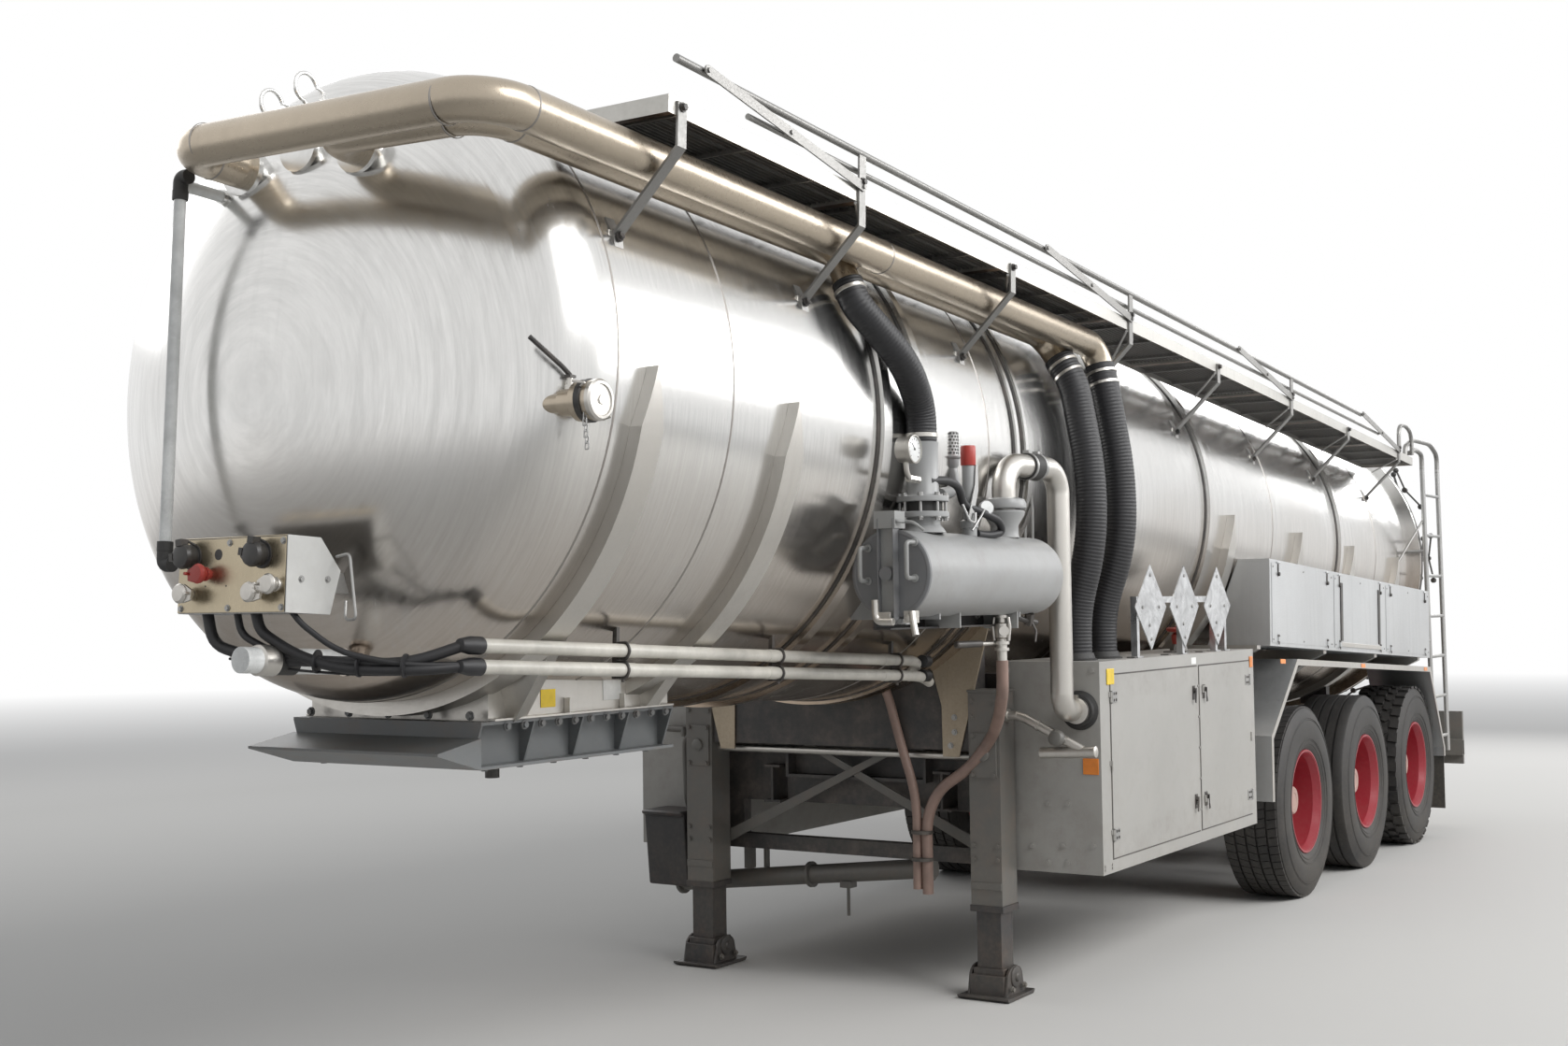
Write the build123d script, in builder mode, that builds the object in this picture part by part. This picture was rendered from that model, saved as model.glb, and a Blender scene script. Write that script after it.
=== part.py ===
"""Three-axle vacuum tanker semi-trailer, parked on its landing legs.

The road is z = 0, +X points forward, +Y is the trailer's left side and x = 0 is the middle of its length.
The tank, its walkway and the boxes along it lean nose-up; the running gear, cabinets and coupler are level.
Stations along the tank are measured from the middle axle, and sizes are millimetres.
"""

import math
import os

from build123d import *

os.makedirs("parts", exist_ok=True)

# Reach of the trailer before and behind its middle axle
FRONT_REACH = 8280
REAR_REACH = 3000
BOGIE_X = (REAR_REACH - FRONT_REACH) / 2
HALF_WIDTH = 1250

# Gaps
SEAT = 0.3
SWING = 5
RUNNING = 0.08

# Tank
TANK_TILT = 2.82
TANK_AXIS_Z = 2083
TANK_R = 1030
TANK_REAR = -2120
TANK_NOSE = 8050
CROWN_R = 1800
KNUCKLE_R = 280
FLANGE_R = 1085
FLANGE_T = 40

# Walkway along the tank's left shoulder
WALK_TILT = 3.29
WALK_TOP_Z = 2808
WALK_FRONT = 7510
WALK_REAR = -1500
WALK_INNER_Y = 830
WALK_OUTER_Y = 1186

# Wheels
AXLE_SPACING = 1310
AXLE_Z = 548
TYRE_R = 548
TYRE_OUTER_Y = 1210
TYRE_W = 370
RIM_R = 297
RIM_OUTER_Y = 1187
HUB_BORE_R = 42

# Level frame
RAIL_Y = 460
RAIL_TOP_Z = 955
RAIL_H = 180
RAIL_W = 90
RAIL_FRONT = 4460
RAIL_REAR = -2250

# Cabinets
CAB_FRONT = 4460
CAB_REAR = 2372
CAB_TOP = 1458
CAB_BOTTOM = 538
CAB_INNER_Y = 760
SHEET = 3

# Toolboxes, in the tank's frame
BOX_FRONT = 2035
BOX_REAR = -1640
BOX_TOP_U = -240
BOX_BOTTOM_U = -717

# Mudguards, in the tank's frame
GUARD_TOP_U = -782
GUARD_INNER_Y = 800
GUARD_T = 5

# Landing legs
LEG_X = 4560
LEG_Y = 765
LEG_W = 150

# Coupler
PLATE_Z = 1213
PLATE_T = 10
PLATE_FRONT = 7490
PLATE_REAR = 6470
PLATE_HALF_W = 425
COUPLER_H = 150
PIN_X = 6967
PIN_R = 25.4
PIN_CORE_R = 30
PIN_L = 84


# Separator drum beside the tank, its axis level and lengthwise
DRUM_Y = 1087
DRUM_Z = 1830
SEP_R = 160
SEP_FRONT = 6010
SEP_REAR = 4770


def tilted(tilt, height):
    """Plane whose x runs along a nose-up line and whose z stands square to it."""
    lean = math.radians(tilt)
    return Plane(
        origin=(BOGIE_X, 0, height),
        x_dir=(math.cos(lean), 0, math.sin(lean)),
        z_dir=(-math.sin(lean), 0, math.cos(lean)),
    )


tank = tilted(TANK_TILT, TANK_AXIS_Z)
walk = tilted(WALK_TILT, WALK_TOP_Z)
TANK_LINE = Axis(tank.origin, tank.x_dir)


def side_of(frame, y=0):
    """Sketch plane of a tilted frame seen from the right: x forward, y up, drawn at the given width."""
    return Plane(origin=frame.from_local_coords((0, y, 0)), x_dir=frame.x_dir, z_dir=(0, -1, 0))


def across(frame, station):
    """Sketch plane square to a tilted frame: x to the left side, y up."""
    return Plane(origin=frame.from_local_coords((station, 0, 0)), x_dir=(0, 1, 0), z_dir=frame.x_dir)


def level_side(y=0):
    """Sketch plane of the level frame: x forward from the middle axle, y up from the road."""
    return Plane(origin=(BOGIE_X, y, 0), x_dir=(1, 0, 0), z_dir=(0, -1, 0))


def level_across(station):
    return Plane(origin=(BOGIE_X + station, 0, 0), x_dir=(0, 1, 0), z_dir=(1, 0, 0))


def level_floor(z):
    return Plane(origin=(BOGIE_X, 0, z))


def save(piece, name):
    piece.part.label = name
    export_step(piece.part, f"parts/{name}.step")


def rectangle_span(low, high):
    """Rectangle between two corners."""
    with Locations(((low[0] + high[0]) / 2, (low[1] + high[1]) / 2)):
        Rectangle(high[0] - low[0], high[1] - low[1])


def box_span(frame, low, high, mode=Mode.ADD):
    """Box between two corners given in a frame."""
    middle = [(high[i] + low[i]) / 2 for i in range(3)]
    with Locations(Plane(origin=frame.from_local_coords(tuple(middle)), x_dir=frame.x_dir, z_dir=frame.z_dir)):
        Box(high[0] - low[0], high[1] - low[1], high[2] - low[2], mode=mode)


def rod(frame, start, end, radius, mode=Mode.ADD):
    """Round bar between two points of a frame."""
    base = frame.from_local_coords(start)
    line = frame.from_local_coords(end) - base
    with Locations(Plane(origin=base, z_dir=line)):
        Cylinder(radius, line.length, align=(Align.CENTER, Align.CENTER, Align.MIN), mode=mode)


def pipe_run(frame, points, radius, bend, mode=Mode.ADD):
    """Round pipe through points of a frame; bend is one radius or a list with one for each corner."""
    route = [frame.from_local_coords(p) for p in points]
    with BuildLine() as path:
        FilletPolyline(*route, radius=bend)
    with BuildSketch(Plane(origin=path.line @ 0, z_dir=path.line % 0)) as section:
        Circle(radius)
    sweep(section.sketch, path=path.line, mode=mode)


level = Plane(origin=(BOGIE_X, 0, 0))


def in_tank(point):
    """A level point in the tank's frame."""
    return tank.to_local_coords(level.from_local_coords(point))


def in_level(point):
    """A tank point in the level frame."""
    return level.to_local_coords(tank.from_local_coords(point))


def over_tank(point):
    """A walkway point in the tank's frame."""
    return tank.to_local_coords(walk.from_local_coords(point))


def dish(apex, radius, crown, knuckle, facing):
    """Dished end as a half profile: returns its tangent station, and draws its two arcs to the apex."""
    reach = math.sqrt((crown - knuckle) ** 2 - (radius - knuckle) ** 2)
    tangent = apex - facing * (crown - reach)
    lean = math.atan2(radius - knuckle, reach)
    crown_x = apex - facing * crown
    meet = (crown_x + facing * crown * math.cos(lean), crown * math.sin(lean))
    turn = (lean + math.pi / 2) / 2
    knuckle_mid = (tangent + facing * knuckle * math.cos(turn), radius - knuckle + knuckle * math.sin(turn))
    crown_mid = (crown_x + facing * crown * math.cos(lean / 2), crown * math.sin(lean / 2))
    ThreePointArc((tangent, radius), knuckle_mid, meet)
    ThreePointArc(meet, crown_mid, (apex, 0))
    return tangent


def head_station(y, u):
    """Station of the front head's crown at a place on it."""
    return TANK_NOSE - CROWN_R + math.sqrt(CROWN_R**2 - y * y - u * u)


# Stiffening rings: station, width, height
RINGS = (
    (5970, 60, 26),
    (5660, 50, 26),
    (4740, 26, 18),
    (4830, 26, 18),
    (3650, 60, 26),
    (2430, 60, 26),
    (-90, 60, 26),
)
# Necks on the front head: across, up, neck radius, flange radius, neck length
PIPE_R = 63.5
NECKS = (
    (-190, 655, PIPE_R, 88, 45),
    (300, 664, PIPE_R, 88, 45),
    (55, 690, 52, 78, 40),
    (230, -905, 32, 42, 60),
)
SIGHT_Y = -300
SIGHT_U = (583, -590)
NIPPLE_R = 16
# Manhole neck on top
HATCH_S = 5200
HATCH_R = 270
HATCH_NECK_R = 232
HATCH_U = 1110
HATCH_HINGE_Y = -302
LID_PIN_R = 7
# Rear door hinges on the right, and lifting rings on the front head
HINGE_Y = -1165
HINGE_S = TANK_REAR
HINGE_U = (470, -470)
HINGE_KNUCKLE_R = 24
HINGE_PIN_R = 11
HINGE_H = 50
RINGS_Y = (-250, -90)
RING_S = 7795
RING_LINE_R = 955

with BuildPart() as tank_shell:
    with BuildSketch(side_of(tank)):
        with BuildLine():
            nose_tangent = dish(TANK_NOSE, TANK_R, CROWN_R, KNUCKLE_R, 1)
            Polyline(
                (TANK_NOSE, 0),
                (TANK_REAR, 0),
                (TANK_REAR, FLANGE_R),
                (TANK_REAR + FLANGE_T, FLANGE_R),
                (TANK_REAR + FLANGE_T, TANK_R),
                (nose_tangent, TANK_R),
            )
        make_face()
        for station, width, height in RINGS:
            rectangle_span((station - width / 2, TANK_R - height), (station + width / 2, TANK_R + height))
    revolve(axis=TANK_LINE)
    for y, u, neck_r, flange_r, length in NECKS:
        reach = head_station(y, u) + length
        with BuildSketch(across(tank, reach)):
            with Locations((y, u)):
                Circle(neck_r)
        extrude(amount=-300)
        with BuildSketch(across(tank, reach)):
            with Locations((y, u)):
                Circle(flange_r)
        extrude(amount=-16)
    for u in SIGHT_U:
        with BuildSketch(across(tank, head_station(SIGHT_Y, u) + 20)):
            with Locations((SIGHT_Y, u)):
                Circle(NIPPLE_R + 8)
        extrude(amount=-200)
    with BuildSketch(tank.offset(HATCH_U)):
        with Locations((HATCH_S, 0)):
            Circle(HATCH_R)
    extrude(amount=-16)
    with BuildSketch(tank.offset(HATCH_U)):
        with Locations((HATCH_S, 0)):
            Circle(HATCH_NECK_R)
    extrude(amount=-200)
    for way in (1, -1):
        s = HATCH_S + way * 45
        box_span(tank, (s - 12, HATCH_HINGE_Y - 12, HATCH_U - 30), (s + 12, HATCH_HINGE_Y + 24, HATCH_U + 20))
    box_span(tank, (HATCH_S - 57, HATCH_HINGE_Y - 10, HATCH_U - 130), (HATCH_S + 57, HATCH_HINGE_Y + 90, HATCH_U - 25))
    lid_pin_u = HATCH_U + LID_PIN_R + 2
    rod(tank, (HATCH_S - 60, HATCH_HINGE_Y, lid_pin_u), (HATCH_S + 60, HATCH_HINGE_Y, lid_pin_u), LID_PIN_R)
    for u in HINGE_U:
        low, high = u - HINGE_H - 1, u - 1
        box_span(tank, (TANK_REAR + 2, HINGE_Y, low), (TANK_REAR + FLANGE_T - 4, -940, high))
        rod(tank, (HINGE_S, HINGE_Y, low), (HINGE_S, HINGE_Y, high), HINGE_KNUCKLE_R)
        rod(tank, (HINGE_S, HINGE_Y, low - 12), (HINGE_S, HINGE_Y, u + HINGE_H + 12), HINGE_PIN_R)
    for y in RINGS_Y:
        u = math.sqrt(RING_LINE_R**2 - y * y)
        with Locations(side_of(tank, y).offset(0) * Pos(RING_S, u)):
            Torus(46, 7)
    rod(level, (SEP_REAR - 60, DRUM_Y, DRUM_Z), (SEP_FRONT + 60, DRUM_Y, DRUM_Z), SEP_R + 3, Mode.SUBTRACT)
save(tank_shell, "tank_shell")

# Saddle ribs: station, half width, whether a box shelf hangs on it.
# The front two stand on the coupler with a leg on each side: station of the foot, lean back of the leg
LEGS = ((7304, 16), (6600, 0))
LEG_HALF = 35
LEG_ROOT = (838, 470)
LEG_FOOT_Y = (365, PLATE_HALF_W)
LEG_SINK = 20
LEG_ZONE_X = 5500
coupler_top = PLATE_Z + COUPLER_H


def leg_plane(foot_x, lean_back):
    """Sketch plane across a saddle leg: x to the left side, y up the leg from the coupler's top."""
    lean = math.radians(lean_back)
    foot = Vector(BOGIE_X + foot_x, 0, coupler_top + SEAT)
    return Plane(origin=foot, x_dir=(0, 1, 0), z_dir=(math.cos(lean), 0, -math.sin(lean)))


RIB_T = 45
RIB_TIP = 190
SHELF_T = 20
SHELF_Y = 1200
RIBS = (
    (7420, 55, False),
    (6620, 55, False),
    (2115, 55, True),
    (857, 55, True),
    (-303, 55, True),
    (-1477, 55, True),
)
rib_outer = TANK_R + RIB_T
with BuildPart() as saddle_ribs:
    for station, half, shelf in RIBS:
        with BuildSketch(side_of(tank)):
            rectangle_span((station - half, TANK_R + SEAT), (station + half, rib_outer))
        revolve(axis=TANK_LINE)
        if shelf:
            with BuildSketch(across(tank, station - 30)):
                for side in (1, -1):
                    with BuildLine():
                        Polyline(
                            (side * 650, BOX_BOTTOM_U),
                            (side * SHELF_Y, BOX_BOTTOM_U),
                            (side * SHELF_Y, BOX_BOTTOM_U - SHELF_T),
                            (side * (SHELF_Y - 90), GUARD_TOP_U + SEAT),
                            (side * 650, GUARD_TOP_U + SEAT),
                            close=True,
                        )
                    make_face()
                Circle(TANK_R + SEAT, mode=Mode.SUBTRACT)
            extrude(amount=60)
    for foot_x, lean_back in LEGS:
        with BuildSketch(leg_plane(foot_x, lean_back).offset(-LEG_HALF)):
            for side in (1, -1):
                with BuildLine():
                    Polyline(
                        (side * LEG_FOOT_Y[0], -LEG_SINK),
                        (side * LEG_FOOT_Y[1], -LEG_SINK),
                        (side * LEG_FOOT_Y[1], 0),
                        (side * LEG_ROOT[0], LEG_ROOT[1]),
                        (side * LEG_FOOT_Y[0], LEG_ROOT[1]),
                        close=True,
                    )
                make_face()
        extrude(amount=2 * LEG_HALF)
    cut_y = PLATE_HALF_W + 1
    box_span(level, (LEG_ZONE_X, -cut_y, PLATE_Z), (TANK_NOSE, cut_y, coupler_top + SEAT), Mode.SUBTRACT)
    with BuildSketch(across(tank, 6000)):
        Circle(TANK_R + SEAT)
    extrude(amount=2000, mode=Mode.SUBTRACT)
    box_span(tank, (-3000, -rib_outer, 0), (TANK_NOSE, rib_outer, rib_outer), mode=Mode.SUBTRACT)
    with BuildSketch(side_of(tank)):
        for station, half, shelf in RIBS:
            for way in (1, -1):
                with BuildLine():
                    Polyline(
                        (station, 0),
                        (station + way * half, -RIB_TIP),
                        (station + way * (half + 10), -RIB_TIP),
                        (station + way * (half + 10), 0),
                        close=True,
                    )
                make_face()
    extrude(amount=rib_outer, both=True, mode=Mode.SUBTRACT)
save(saddle_ribs, "saddle_ribs")

# Rear door: its ring, dished end and right-hand hinge
DOOR_DISH_R = 990
door_front = TANK_REAR - SEAT
door_rear = door_front - FLANGE_T
with BuildPart() as rear_door:
    with BuildSketch(side_of(tank)):
        with BuildLine():
            apex = door_rear - CROWN_R + math.sqrt((CROWN_R - KNUCKLE_R) ** 2 - (DOOR_DISH_R - KNUCKLE_R) ** 2)
            dish(apex, DOOR_DISH_R, CROWN_R, KNUCKLE_R, -1)
            Polyline(
                (apex, 0),
                (door_front, 0),
                (door_front, FLANGE_R),
                (door_rear, FLANGE_R),
                (door_rear, DOOR_DISH_R),
            )
        make_face()
    revolve(axis=TANK_LINE)
    for u in HINGE_U:
        low, high = u + 1, u + HINGE_H + 1
        box_span(tank, (door_rear + 2, HINGE_Y, low), (door_front - 2, -940, high))
        rod(tank, (HINGE_S, HINGE_Y, low), (HINGE_S, HINGE_Y, high), HINGE_KNUCKLE_R)
        rod(tank, (HINGE_S, HINGE_Y, low - 1), (HINGE_S, HINGE_Y, high + 1), HINGE_PIN_R + RUNNING, Mode.SUBTRACT)
save(rear_door, "rear_door")

# Hand-screw clamps round the door's rim: angle above the left side, turn of the tee bar
CLAMPS = (
    (62, 12),
    (32, -16),
    (2.6, -8),
    (-30, 20),
    (-62, 0),
    (118, 18),
    (150, 10),
    (180, -12),
    (210, -20),
    (242, 6),
)
CLAMP_W = 64
SCREW_R = 13
TEE_R = 8
TEE_HALF = 150
BALL_R = 21
TEE_DROP = 150
with BuildPart() as door_clamps:
    for angle, turn in CLAMPS:
        aim = math.radians(angle)
        outward = tank.from_local_coords((0, math.cos(aim), math.sin(aim))) - tank.origin
        rim = Plane(origin=tank.from_local_coords((door_rear, 0, 0)), x_dir=outward, z_dir=tank.x_dir)
        for y in (-CLAMP_W / 2, CLAMP_W / 2 - 14):
            box_span(rim, (1004, y, -70), (FLANGE_R - 5, y + 14, 0))
        box_span(rim, (1012, -CLAMP_W / 2, -64), (FLANGE_R - 13, CLAMP_W / 2, -40))
        rod(rim, (1044, 0, -TEE_DROP - 14), (1044, 0, -10), SCREW_R)
        swing = math.radians(90 + turn)
        reach = (TEE_HALF * math.cos(swing), TEE_HALF * math.sin(swing))
        ends = [(1044 + way * reach[0], way * reach[1], -TEE_DROP) for way in (1, -1)]
        rod(rim, ends[0], ends[1], TEE_R)
        for end in ends:
            with Locations(rim.from_local_coords(end)):
                Sphere(BALL_R)
save(door_clamps, "door_clamps")

# Coupler: a closed box with gusseted sides and a skid nose, and the stainless bolster over it
SKID_FRONT = 7686
SKID_LIP = (58, 66)
SKID_ROOT = 100
WEB_Y = 355
WEB_T = 10
GUSSET_T = 8
GUSSETS = 5
GUSSET_FOOT = 20
with BuildPart() as coupler_plate:
    box_span(level, (PLATE_REAR, -PLATE_HALF_W, PLATE_Z), (PLATE_FRONT, PLATE_HALF_W, PLATE_Z + PLATE_T))
    box_span(level, (PLATE_REAR, -PLATE_HALF_W, coupler_top - PLATE_T), (PLATE_FRONT, PLATE_HALF_W, coupler_top))
    for y in (-WEB_Y, WEB_Y):
        box_span(level, (PLATE_REAR, y - WEB_T / 2, PLATE_Z), (PLATE_FRONT, y + WEB_T / 2, coupler_top))
    for x in (PLATE_REAR, PLATE_FRONT - WEB_T):
        box_span(level, (x, -WEB_Y, PLATE_Z), (x + WEB_T, WEB_Y, coupler_top))
    pitch = (PLATE_FRONT - PLATE_REAR - GUSSET_T) / (GUSSETS - 1)
    for i in range(GUSSETS):
        with BuildSketch(level_across(PLATE_REAR + i * pitch)):
            for side in (1, -1):
                with BuildLine():
                    Polyline(
                        (side * WEB_Y, PLATE_Z),
                        (side * (WEB_Y + GUSSET_FOOT), PLATE_Z),
                        (side * PLATE_HALF_W, coupler_top - PLATE_T),
                        (side * PLATE_HALF_W, coupler_top),
                        (side * WEB_Y, coupler_top),
                        close=True,
                    )
                make_face()
        extrude(amount=GUSSET_T)
    with BuildSketch(level_side()):
        with BuildLine():
            Polyline(
                (PLATE_FRONT, PLATE_Z),
                (SKID_FRONT, PLATE_Z + SKID_LIP[0]),
                (SKID_FRONT, PLATE_Z + SKID_LIP[1]),
                (PLATE_FRONT, PLATE_Z + SKID_ROOT),
                close=True,
            )
        make_face()
    extrude(amount=PLATE_HALF_W, both=True)
    with Locations(Plane(origin=(BOGIE_X + PIN_X, 0, PLATE_Z))):
        Hole(PIN_CORE_R, depth=PLATE_T)
save(coupler_plate, "coupler_plate")

with BuildPart() as king_pin:
    with BuildSketch(level_floor(PLATE_Z - PIN_L)):
        with Locations((PIN_X, 0)):
            Circle(PIN_R)
    extrude(amount=PIN_L)
    with BuildSketch(level_floor(PLATE_Z)):
        with Locations((PIN_X, 0)):
            Circle(PIN_CORE_R)
    extrude(amount=PLATE_T)
    with BuildSketch(level_floor(PLATE_Z + PLATE_T)):
        with Locations((PIN_X, 0)):
            Circle(90)
    extrude(amount=20)
save(king_pin, "king_pin")

BOLSTER_FRONT = 7430
BOLSTER_HALF_W = 400
BOLSTER_TOP = 1560
with BuildPart() as bolster:
    low = (PLATE_REAR, -BOLSTER_HALF_W, coupler_top + SEAT)
    box_span(level, low, (BOLSTER_FRONT, BOLSTER_HALF_W, BOLSTER_TOP))
    with BuildSketch(across(tank, 6000)):
        Circle(TANK_R + SEAT)
    extrude(amount=2200, mode=Mode.SUBTRACT)
    for station, half, shelf in RIBS:
        with BuildSketch(across(tank, station - half - SEAT)):
            Circle(rib_outer + SEAT)
        extrude(amount=2 * (half + SEAT), mode=Mode.SUBTRACT)
    for foot_x, lean_back in LEGS:
        for side in (1, -1):
            low_y, high_y = sorted((side * (LEG_FOOT_Y[0] - SEAT), side * LEG_ROOT[0]))
            with BuildSketch(leg_plane(foot_x, lean_back).offset(-LEG_HALF - SEAT)):
                rectangle_span((low_y, -LEG_SINK), (high_y, LEG_ROOT[1]))
            extrude(amount=2 * (LEG_HALF + SEAT), mode=Mode.SUBTRACT)
save(bolster, "bolster")

# Level frame of the bogie: two rails, the cross members between them and the tank's posts on them
BULKHEAD_HALF_W = 690
BULKHEAD_LOW_Z = 1070
BULKHEAD = (LEG_X - 100, LEG_X + 60)
PORTALS = (2520, 4330)
PORTAL_T = 60
BULKHEAD_T = 10
BUMPER_X = -2760
CROSS_TOP_Z = 865
CROSS_X = (-2240, -655, 655, 2000)
CROSS_W = 60
RAIL_T = 12
POST_Y = (350, 540)
POST_HALF = 40
PORTAL_TOP = 1400
PORTAL_ARM = (90, 70)
TIE_Y = 380
TIE_T = 15
TIE_Z = (900, 1300)
rail_low = RAIL_TOP_Z - RAIL_H
with BuildPart() as frame_rails:
    for side in (1, -1):
        with BuildSketch(level_across(RAIL_REAR)):
            with Locations((side * RAIL_Y, RAIL_TOP_Z - RAIL_H / 2)):
                Rectangle(RAIL_T, RAIL_H)
            for z in (RAIL_TOP_Z - RAIL_T / 2, rail_low + RAIL_T / 2):
                with Locations((side * RAIL_Y, z)):
                    Rectangle(RAIL_W, RAIL_T)
        extrude(amount=RAIL_FRONT - RAIL_REAR)
    cross_y = RAIL_Y - RAIL_T / 2 - SEAT
    for station in CROSS_X:
        low = (station, -cross_y, rail_low + RAIL_T + SEAT)
        box_span(level, low, (station + CROSS_W, cross_y, CROSS_TOP_Z))
    for station, half, shelf in RIBS:
        if shelf:
            for side in (1, -1):
                low, high = sorted((side * POST_Y[0], side * POST_Y[1]))
                post_z = (RAIL_TOP_Z + SEAT, PORTAL_TOP)
                box_span(level, (station - POST_HALF, low, post_z[0]), (station + POST_HALF, high, post_z[1]))
    with BuildSketch(across(tank, -2600)):
        Circle(rib_outer + SEAT)
    extrude(amount=7300, mode=Mode.SUBTRACT)
save(frame_rails, "frame_rails")

# Portals that carry the cabinets, and the bulkhead of the landing legs
with BuildPart() as chassis_frame:
    box_span(level, (BULKHEAD[0], -BULKHEAD_HALF_W, BULKHEAD_LOW_Z), (BULKHEAD[1], BULKHEAD_HALF_W, 1700))
    inner = BULKHEAD_HALF_W - BULKHEAD_T
    box_span(
        level,
        (BULKHEAD[0] + BULKHEAD_T, -inner, BULKHEAD_LOW_Z - 1),
        (BULKHEAD[1] - BULKHEAD_T, inner, 1701),
        Mode.SUBTRACT,
    )
    for station in PORTALS:
        half_w = CAB_INNER_Y - SEAT
        inner_w = half_w - PORTAL_ARM[0]
        sill = CAB_BOTTOM + PORTAL_ARM[1]
        box_span(level, (station, -half_w, CAB_BOTTOM), (station + PORTAL_T, half_w, PORTAL_TOP))
        box_span(level, (station, -inner_w, sill), (station + PORTAL_T, inner_w, rail_low), Mode.SUBTRACT)
        for side in (1, -1):
            rail_y = (side * RAIL_Y - RAIL_W / 2 - SEAT, side * RAIL_Y + RAIL_W / 2 + SEAT)
            low = (station, rail_y[0], rail_low - SEAT)
            box_span(level, low, (station + PORTAL_T, rail_y[1], RAIL_TOP_Z + SEAT), Mode.SUBTRACT)
    tie_x = (PORTALS[1] + PORTAL_T, BULKHEAD[0] - SEAT)
    box_span(level, (tie_x[0], -TIE_Y, TIE_Z[0]), (tie_x[1], TIE_Y, TIE_Z[0] + TIE_T))
    for y in (-TIE_Y, TIE_Y - TIE_T):
        box_span(level, (tie_x[0], y, TIE_Z[0]), (tie_x[1], y + TIE_T, BULKHEAD_LOW_Z))
        box_span(level, (tie_x[0], y, BULKHEAD_LOW_Z), (BULKHEAD[0], y + TIE_T, TIE_Z[1]))
    with BuildSketch(across(tank, -2600)):
        Circle(TANK_R + SEAT)
    extrude(amount=7300, mode=Mode.SUBTRACT)
save(chassis_frame, "chassis_frame")

# Running gear: beam axles on trailing arms
ARM_Z = (400, 482)
ARM_W = 90
HANGER = (430, 560)
BAG_X = -340
BAG_R = 120
AXLES = (AXLE_SPACING, 0, -AXLE_SPACING)
DRUM_INNER_Y = 730
SPINDLE_Y = 1020
with BuildPart() as running_gear:
    for axle in AXLES:
        rod(level, (axle, -DRUM_INNER_Y + SWING, AXLE_Z), (axle, DRUM_INNER_Y - SWING, AXLE_Z), 66)
        rod(level, (axle, -SPINDLE_Y, AXLE_Z), (axle, SPINDLE_Y, AXLE_Z), HUB_BORE_R - RUNNING)
        for side in (1, -1):
            low = side * RAIL_Y - ARM_W / 2
            box_span(level, (axle + BAG_X - 90, low, ARM_Z[0]), (axle + HANGER[1] - 30, low + ARM_W, ARM_Z[1]))
            box_span(level, (axle + HANGER[0], low, ARM_Z[0] - 20), (axle + HANGER[1], low + ARM_W, rail_low))
            box_span(level, (axle - 70, low, ARM_Z[1]), (axle + 70, low + ARM_W, AXLE_Z + 80))
save(running_gear, "running_gear")

with BuildPart() as air_springs:
    for axle in AXLES:
        for side in (1, -1):
            with BuildSketch(level_floor(ARM_Z[1])):
                with Locations((axle + BAG_X, side * RAIL_Y)):
                    Circle(BAG_R)
            extrude(amount=rail_low - ARM_Z[1])
save(air_springs, "air_springs")

# Wheels: half profiles as (out from the middle plane, radius)
DISC_Y = 958
DISC_T = 12
RIM_INNER_R = 268
HUB_R = 112
HUB_CAP_R = 78
HUB_FACE_Y = 1068
CAP_FACE_Y = 1108
DRUM_R = 205
tyre_inner_y = TYRE_OUTER_Y - TYRE_W
rim_inner_y = tyre_inner_y + 23
WHEELS = []
for place, axle in zip(("front", "middle", "rear"), AXLES):
    for side_name, side in (("left", 1), ("right", -1)):
        WHEELS.append((f"{side_name}_{place}", axle, side))

for name, axle, side in WHEELS:
    centre = Plane(origin=(BOGIE_X + axle, 0, AXLE_Z), x_dir=(0, side, 0), z_dir=(1, 0, 0))
    spin = Axis((BOGIE_X + axle, 0, AXLE_Z), (0, 1, 0))
    out, inn = TYRE_OUTER_Y, tyre_inner_y
    with BuildPart() as tyre:
        with BuildSketch(centre):
            with BuildLine():
                Polyline(
                    (inn + 28, RIM_R + SEAT),
                    (inn + 4, RIM_R + 50),
                    (inn, RIM_R + 120),
                    (inn + 14, TYRE_R - 45),
                    (inn + 34, TYRE_R - 4),
                    (inn + 60, TYRE_R),
                    (out - 60, TYRE_R),
                    (out - 34, TYRE_R - 4),
                    (out - 14, TYRE_R - 45),
                    (out, RIM_R + 120),
                    (out - 4, RIM_R + 50),
                    (out - 28, RIM_R + SEAT),
                    close=True,
                )
            make_face()
        revolve(axis=spin)
    save(tyre, f"tyre_{name}")
    with BuildPart() as rim:
        with BuildSketch(centre):
            with BuildLine():
                Polyline(
                    (RIM_OUTER_Y, RIM_R),
                    (RIM_OUTER_Y, RIM_R - 14),
                    (RIM_OUTER_Y - 40, RIM_INNER_R),
                    (DISC_Y + DISC_T + 40, RIM_INNER_R),
                    (DISC_Y + DISC_T, RIM_INNER_R - 50),
                    (DISC_Y + DISC_T, HUB_R),
                    (HUB_FACE_Y, HUB_R - 8),
                    (HUB_FACE_Y, HUB_CAP_R),
                    (CAP_FACE_Y, HUB_CAP_R - 6),
                    (CAP_FACE_Y, 0),
                    (SPINDLE_Y + SWING, 0),
                    (SPINDLE_Y + SWING, HUB_BORE_R),
                    (DRUM_INNER_Y, HUB_BORE_R),
                    (DRUM_INNER_Y, DRUM_R),
                    (DISC_Y, DRUM_R),
                    (DISC_Y, RIM_INNER_R),
                    (rim_inner_y, RIM_INNER_R),
                    (rim_inner_y, RIM_R),
                    close=True,
                )
            make_face()
        revolve(axis=spin)
    save(rim, f"rim_{name}")

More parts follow.
